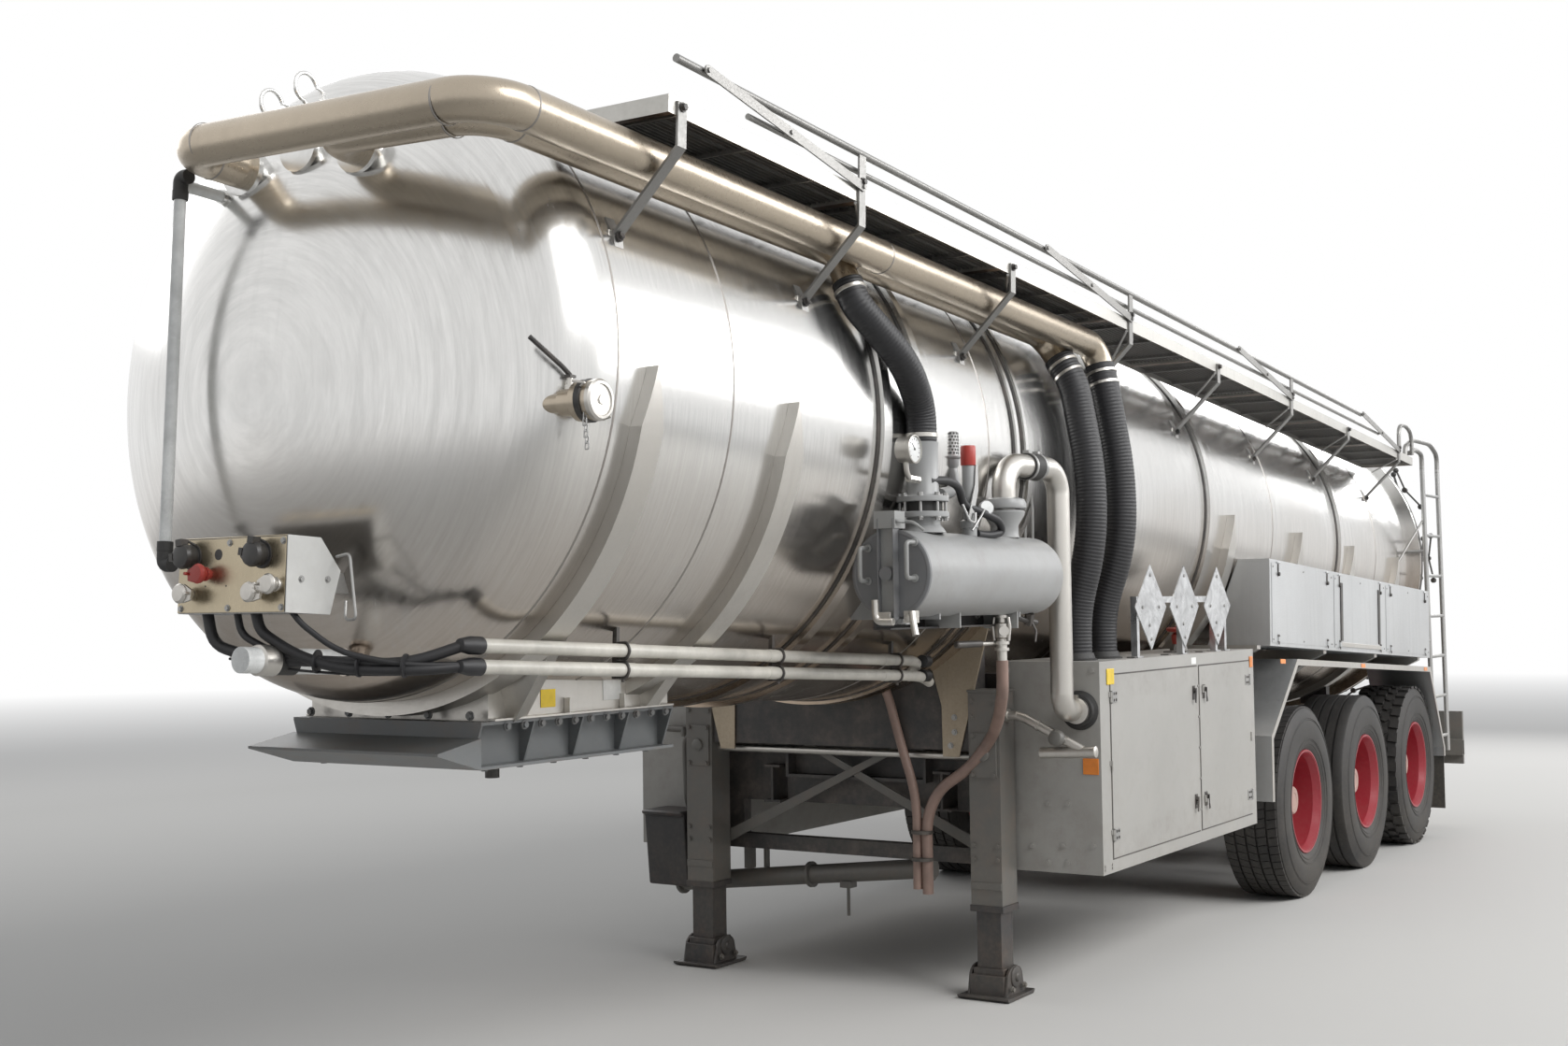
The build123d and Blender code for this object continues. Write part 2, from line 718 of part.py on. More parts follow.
# Mudguards with their flaps
GUARD_END_X = -1940
GUARD_END_Z = (625, 560)
GUARD = [(2060, -1560), (2071, -1207), (1587, GUARD_TOP_U), (-1600, GUARD_TOP_U)]
for z in GUARD_END_Z:
    end = in_tank((GUARD_END_X, 0, z))
    GUARD.append((end.X, end.Z))
guard_w = HALF_WIDTH - GUARD_INNER_Y
with BuildPart() as mudguards:
    for face_y in (HALF_WIDTH, -GUARD_INNER_Y):
        with BuildSketch(side_of(tank, face_y)):
            with BuildLine():
                Polyline(*GUARD)
                offset(amount=GUARD_T, side=Side.LEFT)
            make_face()
        extrude(amount=guard_w)
save(mudguards, "mudguards")

# Sheet flaps hung inside the mudguards' rear ends
FLAP_T = 8
FLAP_X = GUARD_END_X - SEAT - FLAP_T
FLAP_Z = (180, GUARD_END_Z[0] - 8)
with BuildPart() as mudflaps:
    for side in (1, -1):
        low_y = side * (GUARD_INNER_Y + HALF_WIDTH) / 2 - guard_w / 2 + 10
        box_span(level, (FLAP_X, low_y, FLAP_Z[0]), (FLAP_X + FLAP_T, low_y + guard_w - 20, FLAP_Z[1]))
save(mudflaps, "mudflaps")

# Toolboxes: shell with three openings a side, and a top-hung flap over each
# Skins stand back from the full width by their hinges and catches
HINGE_ROD_R = 5
PIN_Y = HALF_WIDTH - HINGE_ROD_R - 0.5
LEAF_Y = (PIN_Y - HINGE_ROD_R - 0.5, PIN_Y - HINGE_ROD_R - 0.5 + SHEET)
BOX_OUTER_Y = LEAF_Y[0] - SEAT
HINGE_W = 46
HINGE_SET = 110
CATCH = (34, 26)
BOX_INNER = (1062, 885)
RIM = 30
FLAP_SPLITS = (
    ("front", 833, 2005),
    ("middle", -385, 787),
    ("rear", -1610, -431),
)
FLAP_LAP = 10
flap_top = BOX_TOP_U - RIM + FLAP_LAP
flap_bottom = BOX_BOTTOM_U + RIM - FLAP_LAP
box_pin_u = flap_top + HINGE_ROD_R


def box_section(inset):
    """Cross-section of the left toolbox, drawn in by an inset."""
    slope = (BOX_INNER[0] - BOX_INNER[1]) / (BOX_TOP_U - BOX_BOTTOM_U)
    top = BOX_TOP_U - inset
    bottom = BOX_BOTTOM_U + inset
    with BuildLine() as outline:
        Polyline(
            (BOX_OUTER_Y - inset, bottom),
            (BOX_OUTER_Y - inset, top),
            (BOX_INNER[0] + slope * -inset + inset, top),
            (BOX_INNER[1] + slope * inset + inset, bottom),
            close=True,
        )
    return outline.line


with BuildPart() as toolboxes:
    with BuildSketch(across(tank, BOX_REAR)):
        add(make_face(box_section(0).edges(), mode=Mode.PRIVATE))
    extrude(amount=BOX_FRONT - BOX_REAR)
    with BuildSketch(across(tank, BOX_REAR + SHEET)):
        add(make_face(box_section(SHEET).edges(), mode=Mode.PRIVATE))
    extrude(amount=BOX_FRONT - BOX_REAR - 2 * SHEET, mode=Mode.SUBTRACT)
    for place, rear, front in FLAP_SPLITS:
        box_span(
            tank,
            (rear + FLAP_LAP, BOX_OUTER_Y - SHEET - 1, BOX_BOTTOM_U + RIM),
            (front - FLAP_LAP, BOX_OUTER_Y + 1, BOX_TOP_U - RIM),
            Mode.SUBTRACT,
        )
        for s in (rear + HINGE_SET, front - HINGE_SET):
            rod(tank, (s + 1, PIN_Y, box_pin_u), (s + HINGE_W / 2, PIN_Y, box_pin_u), HINGE_ROD_R)
            low = (s + 1, BOX_OUTER_Y - 1, flap_top + 3)
            box_span(tank, low, (s + HINGE_W / 2, PIN_Y, flap_top + 3 + HINGE_ROD_R))
    mirror(about=Plane.XZ)
save(toolboxes, "toolboxes")

for place, rear, front in FLAP_SPLITS:
    for side_name, side in (("left", 1), ("right", -1)):
        with BuildPart() as flap:
            box_span(tank, (rear, LEAF_Y[0], flap_bottom), (front, LEAF_Y[1], flap_top))
            for s in (rear + HINGE_SET, front - HINGE_SET):
                box_span(tank, (s - HINGE_W / 2, LEAF_Y[0], flap_top - 1), (s - 1, LEAF_Y[1], flap_top + HINGE_ROD_R))
                rod(tank, (s - HINGE_W / 2, PIN_Y, box_pin_u), (s - 1, PIN_Y, box_pin_u), HINGE_ROD_R)
                low = (s - CATCH[0] / 2, LEAF_Y[1], flap_bottom + 6)
                box_span(tank, low, (s + CATCH[0] / 2, HALF_WIDTH, flap_bottom + 6 + CATCH[1]))
            if side < 0:
                mirror(about=Plane.XZ, mode=Mode.REPLACE)
        save(flap, f"flap_{side_name}_{place}")

# Cabinets: level boxes with two doors a side
CAB_OUTER_Y = BOX_OUTER_Y
# Doors: place, rear edge, front edge, which way the hinge lies
DOORS = (
    ("front", 3245, 4345, 1),
    ("rear", 2450, 3215, -1),
)
DOOR_BOTTOM = 600
DOOR_TOP = 1395
DOOR_LAP = 10
DOOR_HINGE_Z = (700, 1000, 1300)


def door_pin_x(rear, front, way):
    """Station of a door's hinge pin, just past its hinged edge."""
    return front + HINGE_ROD_R if way > 0 else rear - HINGE_ROD_R


with BuildPart() as cabinets:
    box_span(level, (CAB_REAR, CAB_INNER_Y, CAB_BOTTOM), (CAB_FRONT, CAB_OUTER_Y, CAB_TOP))
    box_span(
        level,
        (CAB_REAR + SHEET, CAB_INNER_Y + SHEET, CAB_BOTTOM + SHEET),
        (CAB_FRONT - SHEET, CAB_OUTER_Y - SHEET, CAB_TOP - SHEET),
        Mode.SUBTRACT,
    )
    for place, rear, front, way in DOORS:
        box_span(
            level,
            (rear + DOOR_LAP, CAB_OUTER_Y - SHEET - 1, DOOR_BOTTOM + DOOR_LAP),
            (front - DOOR_LAP, CAB_OUTER_Y + 1, DOOR_TOP - DOOR_LAP),
            Mode.SUBTRACT,
        )
        pin_x = door_pin_x(rear, front, way)
        for z in DOOR_HINGE_Z:
            rod(level, (pin_x, PIN_Y, z + 1), (pin_x, PIN_Y, z + HINGE_W / 2), HINGE_ROD_R)
            low_x = min(pin_x + way * -2, pin_x + way * 14)
            box_span(level, (low_x, BOX_OUTER_Y - 1, z + 1), (low_x + 16, PIN_Y - 2, z + HINGE_W / 2))
    mirror(about=Plane.XZ)
save(cabinets, "cabinets")

for place, rear, front, way in DOORS:
    for side_name, side in (("left", 1), ("right", -1)):
        with BuildPart() as door:
            box_span(level, (rear, LEAF_Y[0], DOOR_BOTTOM), (front, LEAF_Y[1], DOOR_TOP))
            pin_x = door_pin_x(rear, front, way)
            for z in DOOR_HINGE_Z:
                rod(level, (pin_x, PIN_Y, z - HINGE_W / 2), (pin_x, PIN_Y, z - 1), HINGE_ROD_R)
                low_x = min(pin_x - way * 10, pin_x)
                box_span(level, (low_x, LEAF_Y[0], z - HINGE_W / 2), (low_x + 10, LEAF_Y[1], z - 1))
            free_x = rear + 30 if way > 0 else front - 30 - CATCH[1]
            for z in (DOOR_BOTTOM + 130, DOOR_TOP - 130):
                box_span(level, (free_x, LEAF_Y[1], z), (free_x + CATCH[1], HALF_WIDTH, z + CATCH[0]))
            if side < 0:
                mirror(about=Plane.XZ, mode=Mode.REPLACE)
        save(door, f"door_{side_name}_{place}")

# Landing legs: casing, inner leg and rocker foot
CASING = (400, 1330)
INNER_LEG_W = 116
FOOT_W = 240
FOOT_T = 14
with BuildPart() as landing_legs:
    for side in (1, -1):
        y = side * LEG_Y
        half = LEG_W / 2
        box_span(level, (LEG_X - half, y - half, CASING[0]), (LEG_X + half, y + half, CASING[1]))
        half = INNER_LEG_W / 2
        box_span(level, (LEG_X - half, y - half, 100), (LEG_X + half, y + half, CASING[0]))
        half = FOOT_W / 2
        box_span(level, (LEG_X - half, y - half, 0), (LEG_X + half, y + half, FOOT_T))
        box_span(level, (LEG_X - half + 30, y - half + 40, FOOT_T), (LEG_X + half - 30, y + half - 40, 100))
    for side, station in ((1, BULKHEAD[0]), (-1, BULKHEAD[0] + 10)):
        with BuildSketch(level_across(station)):
            with BuildLine():
                Polyline(
                    (side * -300, BULKHEAD_LOW_Z),
                    (side * -240, BULKHEAD_LOW_Z),
                    (side * (LEG_Y - LEG_W / 2), 640),
                    (side * (LEG_Y - LEG_W / 2), 580),
                    close=True,
                )
            make_face()
        extrude(amount=10)
save(landing_legs, "landing_legs")

# Cross shaft between the legs, and the hand crank on the left leg
SHAFT_Z = 1040
SHAFT_R = 18
CRANK_Z = 1225
inner_face = LEG_Y - LEG_W / 2 - SEAT
outer_face = LEG_Y + LEG_W / 2 + SEAT
with BuildPart() as leg_crank:
    rod(level, (LEG_X, -inner_face, SHAFT_Z), (LEG_X, inner_face, SHAFT_Z), SHAFT_R)
    pipe_run(
        level,
        [(LEG_X, outer_face, CRANK_Z), (LEG_X, outer_face + 50, CRANK_Z), (LEG_X, 1190, 1085)],
        14,
        60,
    )
    rod(level, (LEG_X, 1000, 1064), (LEG_X, 1245, 1076), 17)
save(leg_crank, "leg_crank")

# Walkway: framed deck of lengthwise planks
DECK_H = 55
FASCIA_T = 6
PLANKS = 4
PLANK_GAP = 8
DECK_BARS = 9
with BuildPart() as walkway_deck:
    inner, outer = WALK_INNER_Y, WALK_OUTER_Y
    box_span(walk, (WALK_REAR, inner, -DECK_H), (WALK_FRONT, outer, 0))
    box_span(
        walk,
        (WALK_REAR + FASCIA_T, inner + FASCIA_T, -DECK_H - 1),
        (WALK_FRONT - FASCIA_T, outer - FASCIA_T, 1),
        Mode.SUBTRACT,
    )
    pitch = (outer - inner - 2 * FASCIA_T - PLANK_GAP) / PLANKS
    for i in range(PLANKS):
        y = inner + FASCIA_T + PLANK_GAP + i * pitch
        box_span(walk, (WALK_REAR, y, -30), (WALK_FRONT, y + pitch - PLANK_GAP, -2))
    span = WALK_FRONT - WALK_REAR - 40
    for i in range(DECK_BARS):
        x = WALK_REAR + span * i / (DECK_BARS - 1)
        box_span(walk, (x, inner, -50), (x + 40, outer, -30))
save(walkway_deck, "walkway_deck")

# Folding handrail: its struts lie forward along the walkway
STRUT_L = 955
REST_ANGLE = 7.5
RAIL_R = 13
STRUT_T = 6
rest = math.radians(REST_ANGLE)
reach_x = STRUT_L * math.cos(rest)
reach_z = STRUT_L * math.sin(rest)

# Brackets from the tank to the walkway: station along the walkway, and whether a handrail post stands there
BRACKETS = (
    (7450, False),
    (6380, True),
    (5160, False),
    (3890, True),
    (2670, False),
    (1400, True),
    (200, False),
    (-1090, True),
)
POSTS = [station for station, post in BRACKETS if post]
BAR_W = 44
BAR_T = 8
FOOT_Y = 955
FOOT_U = 405
BEND_Y = WALK_OUTER_Y + SEAT
BEND_U = 640
BRACKET_TOP = -12
PIVOT_R = 8
STRUT_Y = BEND_Y + BAR_T + SEAT
post_top = reach_z - RAIL_R - SEAT


with BuildPart() as walkway_brackets:
    for station, post in BRACKETS:
        top = over_tank((station, 0, post_top if post else BRACKET_TOP))
        with BuildSketch(across(tank, top.X - BAR_W / 2)):
            with BuildLine():
                Polyline(
                    (FOOT_Y - 30, FOOT_U + 52),
                    (FOOT_Y, FOOT_U),
                    (BEND_Y, BEND_U),
                    (BEND_Y, top.Z),
                    (BEND_Y + BAR_T, top.Z),
                    (BEND_Y + BAR_T, BEND_U - 4),
                    (FOOT_Y + 6, FOOT_U - 8),
                    (FOOT_Y + 12, FOOT_U - 60),
                    close=True,
                )
            make_face()
            Circle(TANK_R + SEAT, mode=Mode.SUBTRACT)
        extrude(amount=BAR_W)
        if post:
            rod(walk, (station, BEND_Y + BAR_T / 2, 0), (station, STRUT_Y + STRUT_T + 6, 0), PIVOT_R)
save(walkway_brackets, "walkway_brackets")

# Handrail: two rails on four parallel struts
UPPER_Y = STRUT_Y - 5 - RAIL_R
MIDDLE_Y = BEND_Y - 8 - RAIL_R
UPPER_RAIL = (-160, 7465)
MIDDLE_RAIL = (-640, 7060)

with BuildPart() as handrail_upper:
    rod(walk, (UPPER_RAIL[0], UPPER_Y, reach_z), (UPPER_RAIL[1], UPPER_Y, reach_z), RAIL_R)
    for post in POSTS:
        rod(walk, (post + reach_x, UPPER_Y, reach_z), (post + reach_x, STRUT_Y + STRUT_T + 6, reach_z), PIVOT_R)
save(handrail_upper, "handrail_upper")

with BuildPart() as handrail_middle:
    rod(walk, (MIDDLE_RAIL[0], MIDDLE_Y, reach_z / 2), (MIDDLE_RAIL[1], MIDDLE_Y, reach_z / 2), RAIL_R - 3)
    for post in POSTS:
        x = post + reach_x / 2
        rod(walk, (x, MIDDLE_Y, reach_z / 2), (x, STRUT_Y + STRUT_T + 6, reach_z / 2), PIVOT_R)
save(handrail_middle, "handrail_middle")

for number, post in enumerate(POSTS, start=1):
    with BuildPart() as strut:
        face = walk.from_local_coords((post, STRUT_Y + STRUT_T, 0))
        along = walk.from_local_coords((math.cos(rest), 0, math.sin(rest))) - walk.origin
        with BuildSketch(Plane(origin=face, x_dir=along, z_dir=(0, 1, 0)).offset(-STRUT_T)):
            with Locations((STRUT_L / 2, 0)):
                SlotCenterToCenter(STRUT_L, 34)
            for x in (0, STRUT_L / 2, STRUT_L):
                with Locations((x, 0)):
                    Circle(PIVOT_R + RUNNING, mode=Mode.SUBTRACT)
        extrude(amount=STRUT_T)
    save(strut, f"handrail_strut_{number}")

# Suction pipes round the nose and along the tank under the walkway
OUTER_RUN = (1056, 622)
INNER_RUN = (925, 640)
OUTER_NOSE = 8190
INNER_NOSE = 8050
PIPE_END = 4025
INNER_END = 4295
PIPE_END_U = 500
OUTER_END_Y = 1085
INNER_END_Y = 1010
BRANCH_S = 6150
BRANCH_R = 50
BRANCH_L = 165
HOSE_R = 68
VAC_HOSE_R = 57
outer_neck, inner_neck = NECKS[0], NECKS[1]
outer_start = head_station(outer_neck[0], outer_neck[1]) + outer_neck[4]
inner_start = head_station(inner_neck[0], inner_neck[1]) + inner_neck[4]
branch_dir = Vector(0, 64, -153).normalized()
with BuildPart() as suction_pipes:
    pipe_run(
        tank,
        [
            (outer_start, outer_neck[0], outer_neck[1]),
            (OUTER_NOSE, outer_neck[0], outer_neck[1]),
            (OUTER_NOSE, *OUTER_RUN),
            (PIPE_END, *OUTER_RUN),
            (PIPE_END, OUTER_END_Y, PIPE_END_U),
        ],
        PIPE_R,
        [120, 150, 110],
    )
    pipe_run(
        tank,
        [
            (inner_start, inner_neck[0], inner_neck[1]),
            (INNER_NOSE, inner_neck[0], inner_neck[1]),
            (INNER_NOSE, *INNER_RUN),
            (INNER_END, *INNER_RUN),
            (INNER_END, INNER_END_Y, PIPE_END_U),
        ],
        PIPE_R,
        [90, 120, 110],
    )
    stub = Vector(BRANCH_S, *INNER_RUN) + branch_dir * BRANCH_L
    rod(tank, (BRANCH_S, *INNER_RUN), tuple(stub), BRANCH_R)
save(suction_pipes, "suction_pipes")

# Rubber hoses from the pipes down to the cabinet and the separator
OUTER_SOCKET = (3995, 1060)
INNER_SOCKET = (4285, 1060)


INLET_X = 5765
INLET_TOP = 2330
with BuildPart() as suction_hoses:
    for end_s, end_y, run, belly, socket in (
        (PIPE_END, OUTER_END_Y, OUTER_RUN, 1165, OUTER_SOCKET),
        (INNER_END, INNER_END_Y, INNER_RUN, 1140, INNER_SOCKET),
    ):
        end = Vector(end_s, end_y, PIPE_END_U)
        lean = Vector(0, end_y - run[0], PIPE_END_U - run[1]).normalized()
        pipe_run(
            level,
            [
                in_level(end),
                in_level(end + lean * 110),
                (socket[0] - 15, belly, 2300),
                (socket[0] - 10, belly, 1980),
                (*socket, 1680),
                (*socket, CAB_TOP),
            ],
            HOSE_R,
            [90, 300, 300, 200],
        )
    stub_end = Vector(BRANCH_S, *INNER_RUN) + branch_dir * BRANCH_L
    pipe_run(
        level,
        [
            in_level(stub_end),
            in_level(stub_end + branch_dir * 60),
            in_level((5930, 1105, 240)),
            (INLET_X, DRUM_Y, INLET_TOP + 130),
            (INLET_X, DRUM_Y, INLET_TOP),
        ],
        VAC_HOSE_R,
        [90, 200, 90],
    )
save(suction_hoses, "suction_hoses")

# Hinge of its cover, under the drum's front end
COVER_T = 12
COVER_PIN_Z = DRUM_Z - SEP_R - 14
COVER_PIN_X = SEP_FRONT + SEAT + COVER_T / 2
COVER_PIN_R = 6
CRADLES = (5050, 5750)
CRADLE_T = 10
with BuildPart() as separator_tank:
    with BuildSketch(level_side(DRUM_Y)):
        with BuildLine():
            Polyline((SEP_REAR + 70, DRUM_Z + SEP_R), (SEP_FRONT, DRUM_Z + SEP_R), (SEP_FRONT, DRUM_Z))
            Line((SEP_FRONT, DRUM_Z), (SEP_REAR, DRUM_Z))
            ThreePointArc(
                (SEP_REAR, DRUM_Z),
                (SEP_REAR + 24, DRUM_Z + SEP_R * 0.72),
                (SEP_REAR + 70, DRUM_Z + SEP_R),
            )
        make_face()
    drum_axis = Axis((BOGIE_X, DRUM_Y, DRUM_Z), (1, 0, 0))
    revolve(axis=drum_axis)
    for station in CRADLES:
        box_span(level, (station, 760, 1660), (station + CRADLE_T, DRUM_Y + 60, DRUM_Z - 60))
    with BuildSketch(across(tank, 4500)):
        Circle(TANK_R + SEAT)
    extrude(amount=2000, mode=Mode.SUBTRACT)
    for way in (1, -1):
        y = DRUM_Y + way * 34
        box_span(level, (SEP_FRONT - 60, y - 8, COVER_PIN_Z - 8), (COVER_PIN_X + 9, y + 8, COVER_PIN_Z + 8))
    lug_y = (DRUM_Y - 42, DRUM_Y + 42)
    box_span(level, (SEP_FRONT - 60, lug_y[0], COVER_PIN_Z - 12), (SEP_FRONT - 20, lug_y[1], DRUM_Z - SEP_R + 20))
    rod(level, (COVER_PIN_X, DRUM_Y - 44, COVER_PIN_Z), (COVER_PIN_X, DRUM_Y + 44, COVER_PIN_Z), COVER_PIN_R)
save(separator_tank, "separator_tank")

COVER_R = SEP_R
CLAMP_BAR = (60, 14)
with BuildPart() as separator_cover:
    with BuildSketch(level_across(SEP_FRONT + SEAT)):
        with Locations((DRUM_Y, DRUM_Z)):
            Circle(COVER_R)
    extrude(amount=COVER_T)
    cover_face = SEP_FRONT + SEAT + COVER_T
    half = CLAMP_BAR[0] / 2
    top = DRUM_Z + COVER_R - 14
    box_span(level, (cover_face, DRUM_Y - half, DRUM_Z - COVER_R), (cover_face + CLAMP_BAR[1], DRUM_Y + half, top))
    rod(level, (cover_face, DRUM_Y, DRUM_Z), (cover_face + 40, DRUM_Y, DRUM_Z), 26)
    low_z = DRUM_Z - COVER_R + 12
    box_span(level, (COVER_PIN_X - 6, DRUM_Y - 22, COVER_PIN_Z), (COVER_PIN_X + 6, DRUM_Y + 22, low_z))
    eye_y = (DRUM_Y - 22, DRUM_Y + 22)
    rod(level, (COVER_PIN_X, eye_y[0], COVER_PIN_Z), (COVER_PIN_X, eye_y[1], COVER_PIN_Z), 12)
    eye_y = (DRUM_Y - 23, DRUM_Y + 23)
    bore_r = COVER_PIN_R + RUNNING
    rod(level, (COVER_PIN_X, eye_y[0], COVER_PIN_Z), (COVER_PIN_X, eye_y[1], COVER_PIN_Z), bore_r, Mode.SUBTRACT)
save(separator_cover, "separator_cover")

# Pipework on the separator and the steel line to the cabinet's front
NECK_X = 5060
LINE_X = 4600
LINE_Y = 1125
LINE_R = 49
LINE_TOP = 2290
RING_Z = 1250
drum_top = DRUM_Z + SEP_R
with BuildPart() as separator_fittings:
    rod(level, (INLET_X, DRUM_Y, drum_top - 10), (INLET_X, DRUM_Y, INLET_TOP), 45)
    for z in (2045, 2105):
        rod(level, (INLET_X, DRUM_Y, z), (INLET_X, DRUM_Y, z + 18), 77)
    pipe_run(
        level,
        [
            (NECK_X, DRUM_Y, drum_top - 10),
            (NECK_X, DRUM_Y, LINE_TOP),
            (LINE_X, LINE_Y, LINE_TOP),
            (LINE_X, LINE_Y, RING_Z),
            (CAB_FRONT, LINE_Y, RING_Z),
        ],
        LINE_R,
        [110, 110, 75],
    )
    rod(level, (NECK_X, DRUM_Y, 2110), (NECK_X, DRUM_Y, 2128), 76)
    rod(level, (SEP_REAR, DRUM_Y, DRUM_Z), (SEP_FRONT, DRUM_Y, DRUM_Z), SEP_R + SEAT, Mode.SUBTRACT)
save(separator_fittings, "separator_fittings")

# Lid of the manhole on the tank's top, hinged on its right
HATCH_LID_T = 14
with BuildPart() as manhole_lid:
    with BuildSketch(tank.offset(HATCH_U + SEAT)):
        with Locations((HATCH_S, 0)):
            Circle(HATCH_R)
    extrude(amount=HATCH_LID_T)
    box_span(tank, (HATCH_S - 28, HATCH_HINGE_Y, lid_pin_u - 6), (HATCH_S + 28, -200, lid_pin_u + 6))
    rod(tank, (HATCH_S - 28, HATCH_HINGE_Y, lid_pin_u), (HATCH_S + 28, HATCH_HINGE_Y, lid_pin_u), 14)
    pin_hole = LID_PIN_R + RUNNING
    hole = ((HATCH_S - 29, HATCH_HINGE_Y, lid_pin_u), (HATCH_S + 29, HATCH_HINGE_Y, lid_pin_u))
    rod(tank, *hole, pin_hole, Mode.SUBTRACT)
    with BuildSketch(tank.offset(HATCH_U + SEAT)):
        with Locations((HATCH_S, 0)):
            Circle(HATCH_R - 2)
    extrude(amount=-8, mode=Mode.SUBTRACT)
    for angle in (30, 90, 150):
        y = 200 * math.sin(math.radians(angle))
        s = HATCH_S + 200 * math.cos(math.radians(angle))
        rod(tank, (s, y, HATCH_U + HATCH_LID_T), (s, y, HATCH_U + HATCH_LID_T + 30), 18)
save(manhole_lid, "manhole_lid")

# Sight tube on the front head, and the capped stub under the coupling box
TUBE_R = 19
TUBE_S = 8100
CAP_R = 38
with BuildPart() as sight_tube:
    ends = [head_station(SIGHT_Y, u) + 20 for u in SIGHT_U]
    pipe_run(
        tank,
        [
            (ends[0], SIGHT_Y, SIGHT_U[0]),
            (TUBE_S, SIGHT_Y, SIGHT_U[0]),
            (TUBE_S, SIGHT_Y, SIGHT_U[1]),
            (ends[1], SIGHT_Y, SIGHT_U[1]),
        ],
        TUBE_R,
        40,
    )
    y, u, neck_r, flange_r, length = NECKS[3]
    lean = math.radians(TANK_TILT)
    cap_s = (FRONT_REACH + (u - CAP_R) * math.sin(lean)) / math.cos(lean)
    rod(tank, (head_station(y, u) + length, y, u), (cap_s, y, u), CAP_R)
save(sight_tube, "sight_tube")

# Coupling box on the nose
BOX_S = (8095, 8200)
BOX_Y = (-100, 360)
BOX_U = (-770, -550)


def cut_front_head():
    """Takes the tank's front end, with its seat gap, out of the part being built."""
    with BuildSketch(side_of(tank)) as profile:
        with BuildLine():
            dish(TANK_NOSE + SEAT, TANK_R + SEAT, CROWN_R + SEAT, KNUCKLE_R + SEAT, 1)
            Polyline((TANK_NOSE + SEAT, 0), (7000, 0), (7000, TANK_R + SEAT), (nose_tangent, TANK_R + SEAT))
        make_face()
    revolve(profile.sketch, axis=TANK_LINE, mode=Mode.SUBTRACT)


with BuildPart() as connector_box:
    box_span(tank, (BOX_S[0], BOX_Y[0], BOX_U[0]), (BOX_S[1], BOX_Y[1], BOX_U[1]))
    for y in (20, 240):
        box_span(tank, (7700, y, -700), (BOX_S[0], y + 40, -640))
    cut_front_head()
save(connector_box, "connector_box")

# Draining valve on the tank's left flank
VALVE_S = 7750
VALVE_U = -155
# Turned steps outwards: end, radius
VALVE_STEPS = ((985, 28), (1042, 40), (1118, 58))
with BuildPart() as side_valve:
    start = 880
    for end, radius in VALVE_STEPS:
        rod(tank, (VALVE_S, start, VALVE_U), (VALVE_S, end, VALVE_U), radius)
        start = end
    cut_front_head()
save(side_valve, "side_valve")

# Blank diamond plates on a rail over the left cabinet
PLAQUES_X = (3730, 3280, 2800)
PLAQUE_HALF = 200
PLAQUE_Z = 1690
PLAQUE_Y = (1195, 1200)
PLAQUE_RAIL = (2660, 3900)
PLAQUE_BAR = 30
with BuildPart() as placards:
    with BuildSketch(level_side(PLAQUE_Y[1])):
        for x in PLAQUES_X:
            with Locations((x, PLAQUE_Z)):
                Rectangle(PLAQUE_HALF * math.sqrt(2), PLAQUE_HALF * math.sqrt(2), rotation=45)
    extrude(amount=PLAQUE_Y[1] - PLAQUE_Y[0])
    bar_y = PLAQUE_Y[0] - PLAQUE_BAR
    box_span(level, (PLAQUE_RAIL[0], bar_y, PLAQUE_Z + 20), (PLAQUE_RAIL[1], PLAQUE_Y[0], PLAQUE_Z + 20 + PLAQUE_BAR))
    for x in (PLAQUE_RAIL[0], *PLAQUES_X[1:], PLAQUE_RAIL[1] - PLAQUE_BAR):
        box_span(level, (x, bar_y, CAB_TOP + SEAT), (x + PLAQUE_BAR, PLAQUE_Y[0], PLAQUE_Z + 20))
        box_span(level, (x - 20, bar_y - 10, CAB_TOP + SEAT), (x + PLAQUE_BAR + 20, PLAQUE_Y[0] + 10, CAB_TOP + 6))
save(placards, "placards")

# Cables from the box, and the two pale pipes they run into
LINE_Y_OUT = 700
LINES_U = (-853, -915)
LINE_CLIPS = (5250, 6150, 7080)
with BuildPart() as service_lines:
    for u in LINES_U:
        rod(tank, (5100, LINE_Y_OUT, u), (7750, LINE_Y_OUT, u), 22)
    for station in LINE_CLIPS:
        box_span(tank, (station - 8, LINE_Y_OUT - 14, LINES_U[1] - 30), (station + 8, LINE_Y_OUT + 14, -700))
    for station, y, u in ((8150, 60, LINES_U[0]), (8112, 150, LINES_U[1])):
        pipe_run(
            tank,
            [
                (station, y, BOX_U[0]),
                (station, y, BOX_U[0] - 60),
                (station - 40, 400, u + 20),
                (7850, LINE_Y_OUT, u),
                (7750, LINE_Y_OUT, u),
            ],
            14,
            [45, 150, 80],
        )
    with BuildSketch(across(tank, 5000)):
        Circle(TANK_R + SEAT)
    extrude(amount=2500, mode=Mode.SUBTRACT)
save(service_lines, "service_lines")

# Ladder at the rear left corner
LADDER_TOP = ((-1930, 2690), (-2410, 2690))
LADDER_LOW = ((-2042, 560), (-2490, 560))
LADDER_Y = 1150
LADDER_R = 17
RUNG_R = 12
RUNG_STEP = 300
RUNGS = 7


def on_ladder(rail, z):
    """Station of a ladder rail at a height."""
    (top_x, top_z), (low_x, low_z) = LADDER_TOP[rail], LADDER_LOW[rail]
    return low_x + (top_x - low_x) * (z - low_z) / (top_z - low_z)


